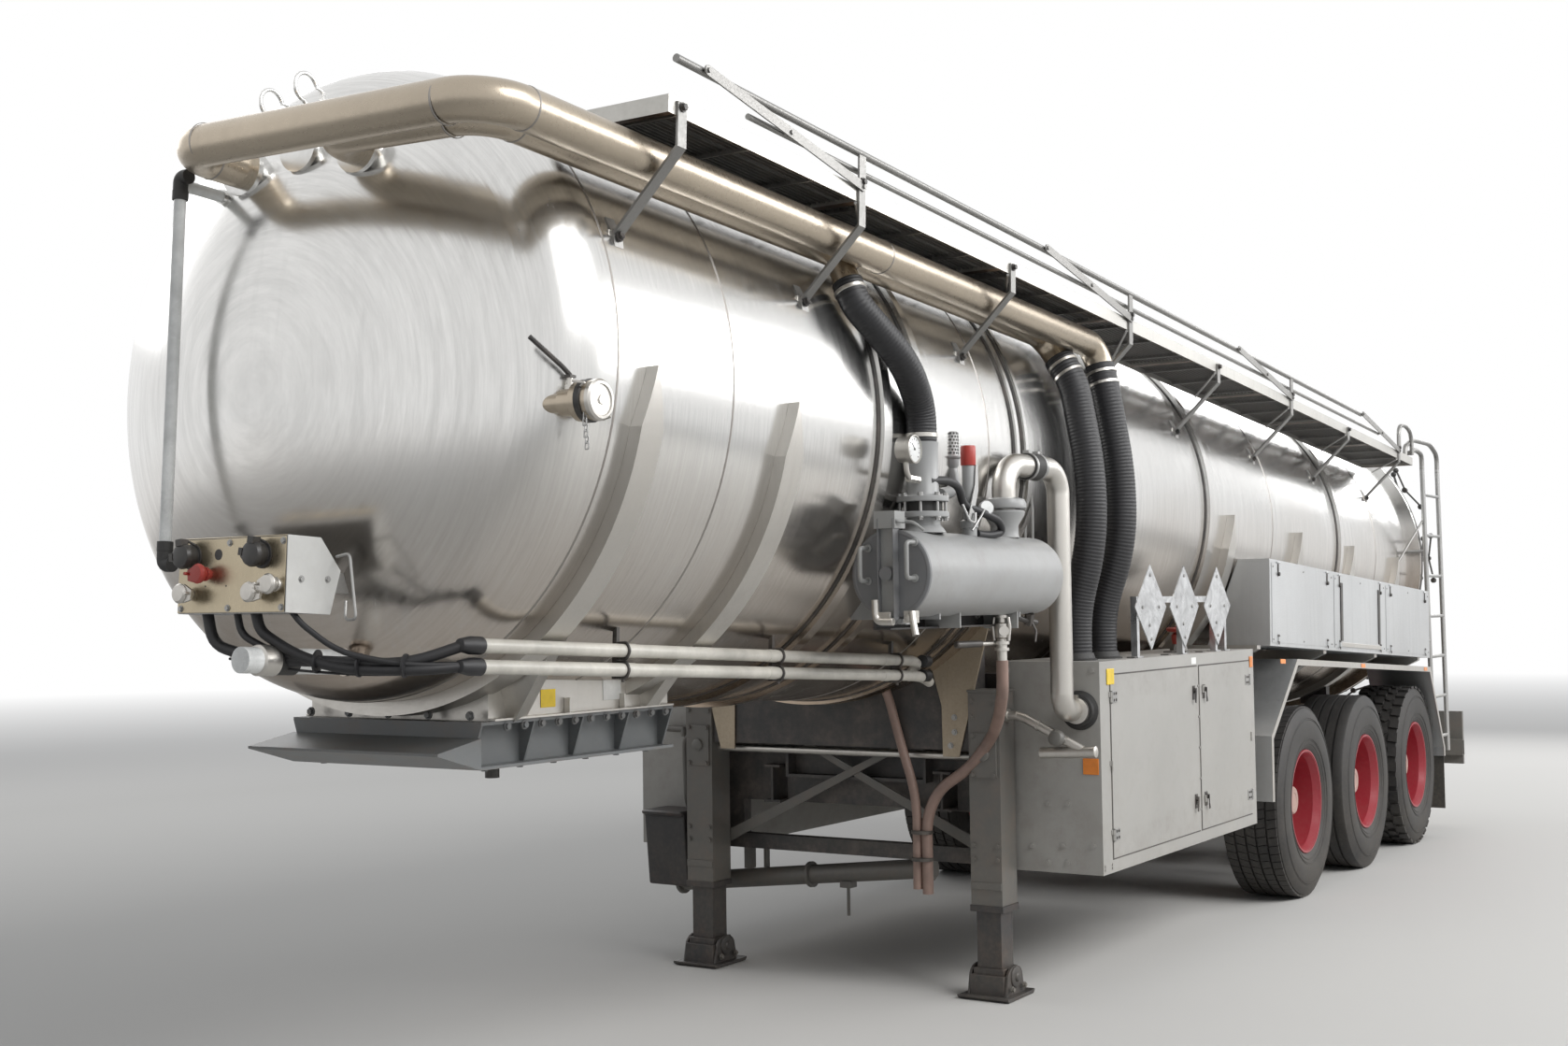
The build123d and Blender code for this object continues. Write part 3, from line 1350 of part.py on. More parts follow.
with BuildPart() as ladder:
    for (top_x, top_z), (low_x, low_z) in zip(LADDER_TOP, LADDER_LOW):
        rod(level, (low_x, LADDER_Y, low_z), (top_x, LADDER_Y, top_z), LADDER_R)
    for i in range(RUNGS):
        z = LADDER_LOW[0][1] + 120 + RUNG_STEP * i
        rod(level, (on_ladder(0, z), LADDER_Y, z), (on_ladder(1, z), LADDER_Y, z), RUNG_R)
    brace = in_tank((on_ladder(0, 1400), LADDER_Y, 1400))
    rod(tank, (BOX_REAR - SEAT, LADDER_Y, brace.Z), (brace.X, LADDER_Y, brace.Z), RUNG_R)
    upper = in_tank((on_ladder(0, 2060), LADDER_Y, 2060))
    rod(tank, (upper.X, 980, upper.Z), (upper.X, LADDER_Y, upper.Z), RUNG_R)
    with BuildSketch(across(tank, TANK_REAR)):
        Circle(TANK_R + SEAT)
    extrude(amount=500, mode=Mode.SUBTRACT)
save(ladder, "ladder")

# Underrun bar with its lamp panels
BAR_Z = (500, 620)
BAR_HALF_W = 1200
BAR_X = (BUMPER_X - 60, BUMPER_X)
WALL = 6
PANEL_Y = (850, 1190)
PANEL_Z = (430, 835)
PANEL_T = 40
ARM_TOP = 800
HOOK_Y = 1020
HOOK_R = 20
hook_x = HOOK_R - REAR_REACH
with BuildPart() as rear_bumper:
    box_span(level, (BAR_X[0], -BAR_HALF_W, BAR_Z[0]), (BAR_X[1], BAR_HALF_W, BAR_Z[1]))
    low = (BAR_X[0] + WALL, -BAR_HALF_W - 1, BAR_Z[0] + WALL)
    box_span(level, low, (BAR_X[1] - WALL, BAR_HALF_W + 1, BAR_Z[1] - WALL), Mode.SUBTRACT)
    for side in (1, -1):
        low = side * RAIL_Y - 6
        box_span(level, (BAR_X[1], low, BAR_Z[0]), (RAIL_REAR, low + 12, ARM_TOP))
        low = min(side * PANEL_Y[0], side * PANEL_Y[1])
        high = low + PANEL_Y[1] - PANEL_Y[0]
        box_span(level, (BAR_X[0] - PANEL_T, low, PANEL_Z[0]), (BAR_X[0], high, PANEL_Z[1]))
    rod(level, (hook_x, HOOK_Y, 560), (BAR_X[0] - PANEL_T, HOOK_Y, 560), HOOK_R)
    rod(level, (hook_x, HOOK_Y, 540), (hook_x, HOOK_Y, 650), HOOK_R)
save(rear_bumper, "rear_bumper")
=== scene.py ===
# %% [markdown]
# # A vacuum tanker semi-trailer, dressed in Blender
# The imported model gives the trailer's solids and the bodies that they ride on. Everything here is built
# around them: finishes first, then the small parts that a frame of plain solids lacks.

# %% Load the frame
import math

import bmesh
import bpy
from mathutils import Matrix, Vector


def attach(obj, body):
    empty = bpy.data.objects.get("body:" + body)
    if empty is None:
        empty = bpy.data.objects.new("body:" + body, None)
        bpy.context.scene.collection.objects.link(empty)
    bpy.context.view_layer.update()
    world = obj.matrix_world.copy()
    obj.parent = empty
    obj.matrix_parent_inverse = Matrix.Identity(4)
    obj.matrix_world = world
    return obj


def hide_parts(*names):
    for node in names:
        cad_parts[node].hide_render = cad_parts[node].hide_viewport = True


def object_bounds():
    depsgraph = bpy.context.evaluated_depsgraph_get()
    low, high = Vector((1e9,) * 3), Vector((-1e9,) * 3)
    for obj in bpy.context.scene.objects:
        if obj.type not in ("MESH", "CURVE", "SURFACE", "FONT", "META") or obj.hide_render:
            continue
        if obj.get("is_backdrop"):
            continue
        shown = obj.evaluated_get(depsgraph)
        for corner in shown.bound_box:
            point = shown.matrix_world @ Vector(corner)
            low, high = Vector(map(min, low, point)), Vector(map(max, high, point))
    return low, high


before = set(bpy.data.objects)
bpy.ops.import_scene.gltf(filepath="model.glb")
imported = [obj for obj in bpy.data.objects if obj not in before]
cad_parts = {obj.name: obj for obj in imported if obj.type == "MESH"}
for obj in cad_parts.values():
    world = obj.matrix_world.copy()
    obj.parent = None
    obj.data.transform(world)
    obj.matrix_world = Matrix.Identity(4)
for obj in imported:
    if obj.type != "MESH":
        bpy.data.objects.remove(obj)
cad_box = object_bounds()

# %% [markdown]
# ## The trailer's three lines
# A parked tanker leans: its tank slopes down to the rear so that it drains, its walkway slopes a little
# more, and its bogie stands level. Each gets a matrix, so that a part can be written in the frame that
# carries it. Places along the trailer are counted from the middle axle, in metres.

# %% Frames
BOGIE_X = -2.640


def leaning(tilt, height):
    """Matrix from a nose-up line's own coordinates to the trailer's."""
    lean = math.radians(tilt)
    c, s = math.cos(lean), math.sin(lean)
    return Matrix(((c, 0, -s, BOGIE_X), (0, 1, 0, 0), (s, 0, c, height), (0, 0, 0, 1)))


LEVEL = leaning(0, 0)
TANK = leaning(2.82, 2.083)
WALK = leaning(3.29, 2.808)
TANK_R = 1.03
SIDES = (("left", 1), ("right", -1))
PLACES = (("front", 1.31), ("middle", 0.0), ("rear", -1.31))
AXLE_Z = 0.548
print("tank line starts at", tuple(round(v, 3) for v in TANK.translation))

# %% [markdown]
# ## Camera and light
# The camera stands where the photograph was taken, found from the tyres, the road width and the coupler's
# height. Large lamps on each side and behind and a pale world light the metal softly. White is shown to the
# camera and to reflections through Light Path, so that it never takes more light on the trailer.

# %% Camera
YAW, PITCH, ROLL = 0.5687, 0.0469, -0.0137
SENSOR = 36.0
FOCAL_PX = 1914.5
PHOTO_W = 1678
CAMERA_AT = (11.7359 + BOGIE_X, 4.2797, 1.7139)
ahead = Vector((-math.cos(YAW) * math.cos(PITCH), -math.sin(YAW) * math.cos(PITCH), math.sin(PITCH)))
right = ahead.cross(Vector((0, 0, 1))).normalized()
upward = right.cross(ahead)
cam_x = right * math.cos(ROLL) + upward * math.sin(ROLL)
cam_y = upward * math.cos(ROLL) - right * math.sin(ROLL)
camera_data = bpy.data.cameras.new("photo_camera")
camera_data.sensor_width = SENSOR
camera_data.lens = FOCAL_PX / PHOTO_W * SENSOR
camera_data.clip_end = 200
camera = bpy.data.objects.new("photo_camera", camera_data)
bpy.context.collection.objects.link(camera)
camera.matrix_world = Matrix(
    (
        (cam_x.x, cam_y.x, -ahead.x, CAMERA_AT[0]),
        (cam_x.y, cam_y.y, -ahead.y, CAMERA_AT[1]),
        (cam_x.z, cam_y.z, -ahead.z, CAMERA_AT[2]),
        (0, 0, 0, 1),
    )
)
bpy.context.scene.camera = camera
bpy.context.scene.view_settings.view_transform = "Standard"
print("lens", round(camera_data.lens, 2))


# %% Lamps
def lamp(name, place, aim, size, power):
    """Area lamp at a place, turned to its aim."""
    data = bpy.data.lights.new(name, "AREA")
    data.shape = "RECTANGLE"
    data.size, data.size_y = size
    data.energy = power
    obj = bpy.data.objects.new(name, data)
    bpy.context.collection.objects.link(obj)
    obj.location = place
    obj.rotation_euler = (Vector(aim) - Vector(place)).to_track_quat("-Z", "Y").to_euler()


LAMPS = (
    ("key_lamp", (3.5, 12, 10), (0, 0, 1.6), (9, 6), 1350),
    ("side_lamp", (-7, 12, 7), (-1, 0, 1.5), (12, 5), 1000),
    ("far_lamp", (0, -12, 8), (0, 0, 1.5), (12, 6), 400),
    ("tail_lamp", (-13, 0, 6), (-3, 0, 1.5), (6, 5), 350),
)
for name, place, aim, size, power in LAMPS:
    lamp(name, place, aim, size, power)
print("lamps", len(LAMPS))


# %% Node helpers and world
def link(tree, source, target):
    """Wire from an output to an input."""
    tree.links.new(source, target)


def node(tree, kind, **values):
    """A shader or geometry node with properties and input defaults set by name."""
    made = tree.nodes.new(kind)
    for key, value in values.items():
        if hasattr(made, key):
            setattr(made, key, value)
        else:
            made.inputs[key.replace("_", " ")].default_value = value
    return made


WORLD_COLOUR = (0.80, 0.83, 0.87, 1)
WORLD_STRENGTH = 0.40
WHITE = (1, 1, 1, 1)
world = bpy.data.worlds.new("studio")
bpy.context.scene.world = world
world.use_nodes = True
tree = world.node_tree
tree.nodes.clear()
rays = node(tree, "ShaderNodeLightPath")
soft = node(tree, "ShaderNodeBackground", Color=WORLD_COLOUR, Strength=WORLD_STRENGTH)
white = node(tree, "ShaderNodeBackground", Color=WHITE, Strength=1.0)
mix = node(tree, "ShaderNodeMixShader")
out = node(tree, "ShaderNodeOutputWorld")
seen = rays.outputs["Is Camera Ray"]
for kind in ("Is Glossy Ray", "Is Transmission Ray"):
    either = node(tree, "ShaderNodeMath", operation="MAXIMUM")
    link(tree, seen, either.inputs[0])
    link(tree, rays.outputs[kind], either.inputs[1])
    seen = either.outputs[0]
link(tree, seen, mix.inputs[0])
link(tree, soft.outputs[0], mix.inputs[1])
link(tree, white.outputs[0], mix.inputs[2])
link(tree, mix.outputs[0], out.inputs[0])
print("world strength", WORLD_STRENGTH)

# %% Studio floor
FLOOR_REACH = 60
FLOOR_DROP = 0.002
FLOOR_COLOUR = (0.62, 0.61, 0.59, 1)
FADE_FROM, FADE_TO = 10, 34
floor_mesh = bpy.data.meshes.new("studio_floor")
corners = [(x * FLOOR_REACH, y * FLOOR_REACH, 0) for x, y in ((-1, -1), (1, -1), (1, 1), (-1, 1))]
floor_mesh.from_pydata(corners, [], [(0, 1, 2, 3)])
floor = bpy.data.objects.new("studio_floor", floor_mesh)
bpy.context.collection.objects.link(floor)
floor.location.z = -FLOOR_DROP
floor_finish = bpy.data.materials.new("floor_finish")
floor_finish.use_nodes = True
tree = floor_finish.node_tree
tree.nodes.clear()
matt = node(tree, "ShaderNodeBsdfDiffuse", Color=FLOOR_COLOUR)
glow = node(tree, "ShaderNodeEmission", Color=WHITE, Strength=1.0)
place = node(tree, "ShaderNodeTexCoord")
far = node(tree, "ShaderNodeVectorMath", operation="LENGTH")
fade = node(tree, "ShaderNodeMapRange")
fade.inputs["From Min"].default_value = FADE_FROM
fade.inputs["From Max"].default_value = FADE_TO
mix = node(tree, "ShaderNodeMixShader")
out = node(tree, "ShaderNodeOutputMaterial")
link(tree, place.outputs["Object"], far.inputs[0])
link(tree, far.outputs["Value"], fade.inputs["Value"])
link(tree, fade.outputs[0], mix.inputs[0])
link(tree, matt.outputs[0], mix.inputs[1])
link(tree, glow.outputs[0], mix.inputs[2])
link(tree, mix.outputs[0], out.inputs[0])
floor_mesh.materials.append(floor_finish)
floor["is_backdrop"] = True
print("floor reaches", FLOOR_REACH, "m")

# %% [markdown]
# ## Effects shared by many finishes
# Real metal is never one colour: brushing leaves fine lines, rain leaves streaks, and road dust settles low
# down. Each effect is a node group with named inputs, built once. A group gives only masks and heights; the
# Principled shader stays in the material, so that the finish survives an export.


# %% Group helpers
def effect(name, inputs, outputs):
    """An empty shader group with its sockets: returns the tree, its input node and its output node."""
    group = bpy.data.node_groups.new(name, "ShaderNodeTree")
    for label, kind, default in inputs:
        socket = group.interface.new_socket(name=label, in_out="INPUT", socket_type=kind)
        socket.default_value = default
    for label, kind in outputs:
        group.interface.new_socket(name=label, in_out="OUTPUT", socket_type=kind)
    return group, group.nodes.new("NodeGroupInput"), group.nodes.new("NodeGroupOutput")


FLOAT = "NodeSocketFloat"
VECTOR = "NodeSocketVector"
print("helper: effect")


# %% Helpers inside a group
def noise(tree, vector, scale, detail, rough=0.5, distort=0.0):
    """Soft noise between 0 and 1."""
    made = node(tree, "ShaderNodeTexNoise", Scale=scale, Detail=detail, Roughness=rough, Distortion=distort)
    link(tree, vector, made.inputs["Vector"])
    return made.outputs["Fac"]


def ramp(tree, value, low, high, to_low=0.0, to_high=1.0):
    """Value stretched from low..high to to_low..to_high, and clamped."""
    made = node(tree, "ShaderNodeMapRange")
    for label, number in (("From Min", low), ("From Max", high), ("To Min", to_low), ("To Max", to_high)):
        made.inputs[label].default_value = number
    link(tree, value, made.inputs["Value"])
    return made.outputs[0]


def calc(tree, operation, a, b=None):
    """One sum on numbers or outputs."""
    made = node(tree, "ShaderNodeMath", operation=operation)
    for socket, value in zip(made.inputs, (a, b)):
        if value is None:
            continue
        if isinstance(value, (int, float)):
            socket.default_value = value
        else:
            link(tree, value, socket)
    return made.outputs[0]


def stretch(tree, vector, scale):
    """Coordinates scaled axis by axis."""
    made = node(tree, "ShaderNodeVectorMath", operation="MULTIPLY")
    made.inputs[1].default_value = scale
    link(tree, vector, made.inputs[0])
    return made.outputs[0]


def blend_colour(tree, mask, a, b):
    """Colour that goes from a to b as the mask goes from 0 to 1."""
    made = node(tree, "ShaderNodeMix", data_type="RGBA")
    link(tree, mask, made.inputs[0])
    for socket, value in ((made.inputs[6], a), (made.inputs[7], b)):
        if isinstance(value, tuple):
            socket.default_value = (*value[:3], 1)
        else:
            link(tree, value, socket)
    return made.outputs[2]


print("helpers: noise, ramp, calc, stretch, blend_colour")

# %% Dust that gathers low down
dust, gin, gout = effect(
    "road_dust",
    [("Vector", VECTOR, (0, 0, 0)), ("Height", FLOAT, 1.2), ("Amount", FLOAT, 0.5)],
    [("Mask", FLOAT)],
)
split = dust.nodes.new("ShaderNodeSeparateXYZ")
link(dust, gin.outputs["Vector"], split.inputs[0])
low = node(dust, "ShaderNodeMapRange")
link(dust, split.outputs["Z"], low.inputs["Value"])
low.inputs["From Min"].default_value = 0.0
link(dust, gin.outputs["Height"], low.inputs["From Max"])
low.inputs["To Min"].default_value = 1.0
low.inputs["To Max"].default_value = 0.12
cloud = ramp(dust, noise(dust, gin.outputs["Vector"], 3.2, 5.0, 0.62), 0.30, 0.75)
speck = ramp(dust, noise(dust, gin.outputs["Vector"], 46.0, 2.0, 0.6), 0.42, 0.72)
both = calc(dust, "ADD", calc(dust, "MULTIPLY", cloud, 0.75), calc(dust, "MULTIPLY", speck, 0.35))
weighed = calc(dust, "MULTIPLY", both, low.outputs[0])
scaled = calc(dust, "MULTIPLY", weighed, gin.outputs["Amount"])
link(dust, calc(dust, "MINIMUM", scaled, 1.0), gout.inputs["Mask"])
print("group", dust.name)

# %% Rain streaks that run down a side
streaks, gin, gout = effect(
    "rain_streaks",
    [("Vector", VECTOR, (0, 0, 0)), ("Width", FLOAT, 22.0), ("Amount", FLOAT, 0.5)],
    [("Mask", FLOAT)],
)
squeezed = stretch(streaks, gin.outputs["Vector"], (1.0, 1.0, 0.045))
lines = node(streaks, "ShaderNodeTexNoise", Detail=4.0, Roughness=0.65)
link(streaks, squeezed, lines.inputs["Vector"])
link(streaks, gin.outputs["Width"], lines.inputs["Scale"])
broken = ramp(streaks, noise(streaks, gin.outputs["Vector"], 1.7, 3.0), 0.35, 0.7)
thin = ramp(streaks, lines.outputs["Fac"], 0.50, 0.68)
link(
    streaks, calc(streaks, "MULTIPLY", calc(streaks, "MULTIPLY", thin, broken), gin.outputs["Amount"]),
    gout.inputs["Mask"],
)
print("group", streaks.name)

# %% Brushed grain
grain, gin, gout = effect(
    "brushed_grain",
    [("Vector", VECTOR, (0, 0, 0)), ("Stretch", VECTOR, (1, 1, 1)), ("Scale", FLOAT, 60.0)],
    [("Height", FLOAT), ("Mask", FLOAT)],
)
pulled = node(grain, "ShaderNodeVectorMath", operation="MULTIPLY")
link(grain, gin.outputs["Vector"], pulled.inputs[0])
link(grain, gin.outputs["Stretch"], pulled.inputs[1])
fine = node(grain, "ShaderNodeTexNoise", Detail=4.0, Roughness=0.7)
link(grain, pulled.outputs[0], fine.inputs["Vector"])
link(grain, gin.outputs["Scale"], fine.inputs["Scale"])
link(grain, fine.outputs["Fac"], gout.inputs["Height"])
link(grain, ramp(grain, fine.outputs["Fac"], 0.35, 0.65), gout.inputs["Mask"])
print("group", grain.name)

# %% Worn patches where paint is rubbed thin
wear, gin, gout = effect(
    "edge_wear",
    [("Vector", VECTOR, (0, 0, 0)), ("Scale", FLOAT, 9.0), ("Amount", FLOAT, 0.5)],
    [("Mask", FLOAT)],
)
shape = wear.nodes.new("ShaderNodeNewGeometry")
edge = ramp(wear, shape.outputs["Pointiness"], 0.52, 0.60)
patch = node(wear, "ShaderNodeTexNoise", Detail=6.0, Roughness=0.7)
link(wear, gin.outputs["Vector"], patch.inputs["Vector"])
link(wear, gin.outputs["Scale"], patch.inputs["Scale"])
flake = ramp(wear, patch.outputs["Fac"], 0.56, 0.66)
sum_mask = calc(
    wear, "ADD", calc(wear, "MULTIPLY", edge, ramp(wear, patch.outputs["Fac"], 0.40, 0.62)),
    calc(wear, "MULTIPLY", flake, 0.35),
)
link(
    wear, calc(wear, "MINIMUM", calc(wear, "MULTIPLY", sum_mask, gin.outputs["Amount"]), 1.0),
    gout.inputs["Mask"],
)
print("group", wear.name)

# %% [markdown]
# ## Finishes
# Five families cover the trailer: brushed stainless steel, mill-finish aluminium, paint over steel,
# galvanised tube and rubber. Three functions make them, for bare metal, paint and rubber, and each finish
# is a call with its own colour, roughness, dust and wear, so that like parts match and unlike parts don't.


# %% Finish helpers
def place_group(tree, group, vector, **values):
    """A shared effect in a material, with its inputs set by name."""
    made = tree.nodes.new("ShaderNodeGroup")
    made.node_tree = group
    for key, value in values.items():
        made.inputs[key].default_value = value
    link(tree, vector, made.inputs["Vector"])
    return made


def start_finish(name):
    """An empty material: returns it with its tree, Principled shader and Object coordinates."""
    made = bpy.data.materials.new(name)
    made.use_nodes = True
    tree = made.node_tree
    shader = tree.nodes["Principled BSDF"]
    place = tree.nodes.new("ShaderNodeTexCoord")
    return made, tree, shader, place.outputs["Object"]


def bump(tree, shader, height, strength, distance):
    """Height turned into a bump on the shader."""
    made = node(tree, "ShaderNodeBump", Strength=strength, Distance=distance)
    link(tree, height, made.inputs["Height"])
    link(tree, made.outputs[0], shader.inputs["Normal"])


DUST_COLOUR = (0.36, 0.31, 0.24)
# Brown lower half of the tank: partly road film, partly a painted reflection of the brown ground below it.
FILM_AND_GROUND_REFLECTION_COLOUR = (0.30, 0.215, 0.140)
FILM_AND_REFLECTION_TOP, FILM_AND_REFLECTION_FOOT = 2.3, 1.3
print("brown film from", FILM_AND_REFLECTION_TOP, "down to", FILM_AND_REFLECTION_FOOT, "m")


# %% Metal
def metal(
    name, colour, rough, pull=(1, 1, 1), scale=60.0, dusty=0.3, dust_height=1.6, streaky=0.3, tone=0.10,
    dent=0.0, lines=0.0, film_and_ground_reflection=0.0, swirl=0.0, painted_underside_shade=None,
):
    """Bare metal with brushing along the pull, broad tones, streaks and dust; where asked, a brown lower half
    that is road film and painted ground reflection, and painted shade on faces turned down.
    """
    made, tree, shader, place = start_finish(name)
    brushing = place_group(tree, grain, place, Stretch=pull, Scale=scale)
    rain = place_group(tree, streaks, place, Amount=streaky)
    settled = place_group(tree, dust, place, Height=dust_height, Amount=dusty)
    broad = ramp(tree, noise(tree, place, 1.1 + swirl, 4.0, 0.6, swirl), 0.3, 0.7)
    darker = tuple(v * (1 - tone) for v in colour)
    base = blend_colour(tree, broad, darker, colour)
    if lines:
        struck = calc(tree, "MULTIPLY", brushing.outputs["Mask"], lines)
        base = blend_colour(tree, struck, base, tuple(v * 0.45 for v in colour))
    # Browner and darker towards the bottom: road film, and a painted reflection of the ground.
    if film_and_ground_reflection:
        upright = tree.nodes.new("ShaderNodeSeparateXYZ")
        link(tree, place, upright.inputs[0])
        wavy = calc(
            tree, "ADD", upright.outputs["Z"],
            ramp(tree, noise(tree, place, 0.8, 3.0, 0.5), 0, 1, -0.35, 0.35),
        )
        base = blend_colour(tree, ramp(tree, wavy, FILM_AND_REFLECTION_TOP, FILM_AND_REFLECTION_FOOT, 0, film_and_ground_reflection), base, FILM_AND_GROUND_REFLECTION_COLOUR)
    base = blend_colour(tree, rain.outputs["Mask"], base, tuple(v * 0.72 for v in colour))
    base = blend_colour(tree, settled.outputs["Mask"], base, DUST_COLOUR)
    # Faces turned down take a dark brown here: painted shade under them.
    if painted_underside_shade:
        shape = tree.nodes.new("ShaderNodeNewGeometry")
        facing = tree.nodes.new("ShaderNodeSeparateXYZ")
        link(tree, shape.outputs["Normal"], facing.inputs[0])
        base = blend_colour(tree, ramp(tree, facing.outputs["Z"], -0.2, -0.7), base, painted_underside_shade)
    link(tree, base, shader.inputs["Base Color"])
    uneven = ramp(tree, brushing.outputs["Mask"], 0, 1, rough * 0.82, rough * 1.18)
    dulled = calc(tree, "ADD", uneven, calc(tree, "MULTIPLY", settled.outputs["Mask"], 0.35))
    dulled = calc(tree, "ADD", dulled, calc(tree, "MULTIPLY", rain.outputs["Mask"], 0.12))
    link(tree, dulled, shader.inputs["Roughness"])
    link(tree, ramp(tree, settled.outputs["Mask"], 0, 1, 1.0, 0.25), shader.inputs["Metallic"])
    height = calc(tree, "MULTIPLY", brushing.outputs["Height"], 0.06)
    if dent:
        waves = noise(tree, place, 1.6, 2.0, 0.4)
        height = calc(tree, "ADD", height, calc(tree, "MULTIPLY", waves, dent))
    bump(tree, shader, height, 0.5, 0.004)
    return made


print("helper: metal")

# %% Bare metals
STAINLESS = (0.76, 0.755, 0.74)
# The tank's brown lower half is road film and a painted ground reflection.
tank_steel = metal(
    "tank_steel", STAINLESS, 0.20, (14, 0.4, 0.4), 9, dusty=0.18, dust_height=2.2, streaky=0.45, tone=0.10,
    dent=0.7, lines=0.25, film_and_ground_reflection=0.85,
)
rib_steel = metal(
    "rib_steel", (0.60, 0.58, 0.545), 0.36, (1, 1, 1), 90, dusty=0.25, dust_height=2.4, streaky=0.45,
    tone=0.16,
)
pipe_steel = metal(
    "pipe_steel", (0.52, 0.45, 0.36), 0.30, (6, 1, 1), 50, dusty=0.30, dust_height=4.0, streaky=0.2, tone=0.2
)
box_aluminium = metal(
    "box_aluminium", (0.60, 0.61, 0.615), 0.42, (1, 1, 9), 40, dusty=0.28, dust_height=2.0, streaky=0.55,
    tone=0.15, dent=0.5,
)
galvanised = metal(
    "galvanised", (0.42, 0.42, 0.415), 0.48, (1, 1, 1), 120, dusty=0.30, dust_height=2.5, streaky=0.2,
    tone=0.25,
)
rail_steel = metal(
    "rail_steel", (0.30, 0.295, 0.285), 0.45, (1, 1, 1), 120, dusty=0.2, dust_height=2.5, streaky=0.2,
    tone=0.25,
)
placard_steel = metal(
    "placard_steel", (0.74, 0.75, 0.76), 0.30, (1, 1, 1), 14, dusty=0.1, dust_height=3.0, streaky=0.1,
    tone=0.45, dent=1.6, swirl=4.0,
)
# Its dark faces turned down are painted shade under the deck.
deck_steel = metal(
    "deck_steel", (0.56, 0.55, 0.52), 0.42, (9, 1, 1), 60, dusty=0.1, dust_height=3.0, streaky=0.5, tone=0.2,
    painted_underside_shade=(0.115, 0.075, 0.050),
)
print("finishes with the metals", len(bpy.data.materials))


# %% Paint
PAINT_TONE = 0.12


def paint(name, colour, rough=0.42, under=(0.16, 0.13, 0.11), worn=0.35, dusty=0.5, dust_height=1.2):
    """Painted steel, rubbed thin at its edges and dusty low down."""
    made, tree, shader, place = start_finish(name)
    rubbed = place_group(tree, wear, place, Amount=worn)
    settled = place_group(tree, dust, place, Height=dust_height, Amount=dusty)
    broad = ramp(tree, noise(tree, place, 2.3, 4.0, 0.6), 0.3, 0.7)
    base = blend_colour(tree, broad, tuple(v * (1 - PAINT_TONE) for v in colour), colour)
    base = blend_colour(tree, rubbed.outputs["Mask"], base, under)
    base = blend_colour(tree, settled.outputs["Mask"], base, DUST_COLOUR)
    link(tree, base, shader.inputs["Base Color"])
    link(tree, ramp(tree, settled.outputs["Mask"], 0, 1, rough, 0.9), shader.inputs["Roughness"])
    orange_peel = noise(tree, place, 260.0, 2.0)
    bump(tree, shader, calc(tree, "MULTIPLY", orange_peel, 0.05), 0.4, 0.002)
    return made


cabinet_grey = paint("cabinet_grey", (0.370, 0.362, 0.342), 0.42, worn=0.2, dusty=0.25, dust_height=1.4)
drum_grey = paint("drum_grey", (0.330, 0.335, 0.335), 0.34, worn=0.2, dusty=0.25, dust_height=2.4)
cover_grey = paint("cover_grey", (0.165, 0.170, 0.178), 0.36, worn=0.3, dusty=0.25, dust_height=2.4)
chassis_grey = paint("chassis_grey", (0.030, 0.030, 0.032), 0.50, worn=0.4, dusty=0.28, dust_height=1.4)
plate_grey = paint("plate_grey", (0.150, 0.160, 0.165), 0.42, worn=0.4, dusty=0.3, dust_height=1.6)
leg_grey = paint("leg_grey", (0.135, 0.132, 0.122), 0.44, worn=0.4, dusty=0.25, dust_height=1.2)
foot_black = paint(
    "foot_black", (0.030, 0.030, 0.033), 0.45, under=(0.09, 0.06, 0.045), worn=0.5, dusty=0.22,
    dust_height=0.9,
)
wheel_red = paint(
    "wheel_red", (0.360, 0.022, 0.040), 0.30, under=(0.10, 0.05, 0.05), worn=0.15, dusty=0.18,
    dust_height=1.2,
)
clamp_black = paint("clamp_black", (0.020, 0.020, 0.021), 0.40, worn=0.3, dusty=0.2, dust_height=3.0)
valve_red = paint("valve_red", (0.42, 0.035, 0.025), 0.38, worn=0.15, dusty=0.3, dust_height=2.6)
print("finishes with the paints", len(bpy.data.materials))


# %% Rubber and plastic
def rubber(name, colour, rough=0.7, dusty=0.6, dust_height=1.0, coarse=90.0):
    """Rubber or plastic with a fine skin, greyed where dust holds."""
    made, tree, shader, place = start_finish(name)
    settled = place_group(tree, dust, place, Height=dust_height, Amount=dusty)
    mottle = ramp(tree, noise(tree, place, 6.0, 5.0, 0.65), 0.3, 0.7)
    base = blend_colour(tree, mottle, tuple(v * 0.75 for v in colour), tuple(v * 1.2 for v in colour))
    base = blend_colour(tree, settled.outputs["Mask"], base, tuple(v * 0.55 for v in DUST_COLOUR))
    link(tree, base, shader.inputs["Base Color"])
    link(tree, ramp(tree, settled.outputs["Mask"], 0, 1, rough, 0.95), shader.inputs["Roughness"])
    bump(tree, shader, calc(tree, "MULTIPLY", noise(tree, place, coarse, 4.0, 0.6), 0.2), 0.5, 0.002)
    return made


tyre_rubber = rubber("tyre_rubber", (0.022, 0.021, 0.021), 0.62, dusty=0.28, dust_height=1.3, coarse=70.0)
flap_rubber = rubber("flap_rubber", (0.022, 0.022, 0.022), 0.6)
hose_rubber = rubber("hose_rubber", (0.010, 0.010, 0.012), 0.50, dusty=0.04, dust_height=3.5, coarse=160.0)
pale_pipe = rubber("pale_pipe", (0.52, 0.50, 0.45), 0.30, dusty=0.25, dust_height=2.5, coarse=40.0)
sight_plastic = rubber("sight_plastic", (0.70, 0.71, 0.70), 0.25, dusty=0.15, dust_height=3.5, coarse=40.0)
brown_hose = rubber("brown_hose", (0.255, 0.170, 0.140), 0.42, dusty=0.20, dust_height=2.0, coarse=120.0)
print("finishes with the rubbers", len(bpy.data.materials))

# %% [markdown]
# ## Finishes on the frame's own solids
# Most solids already have the real shape, so they keep their mesh and only take a finish here.

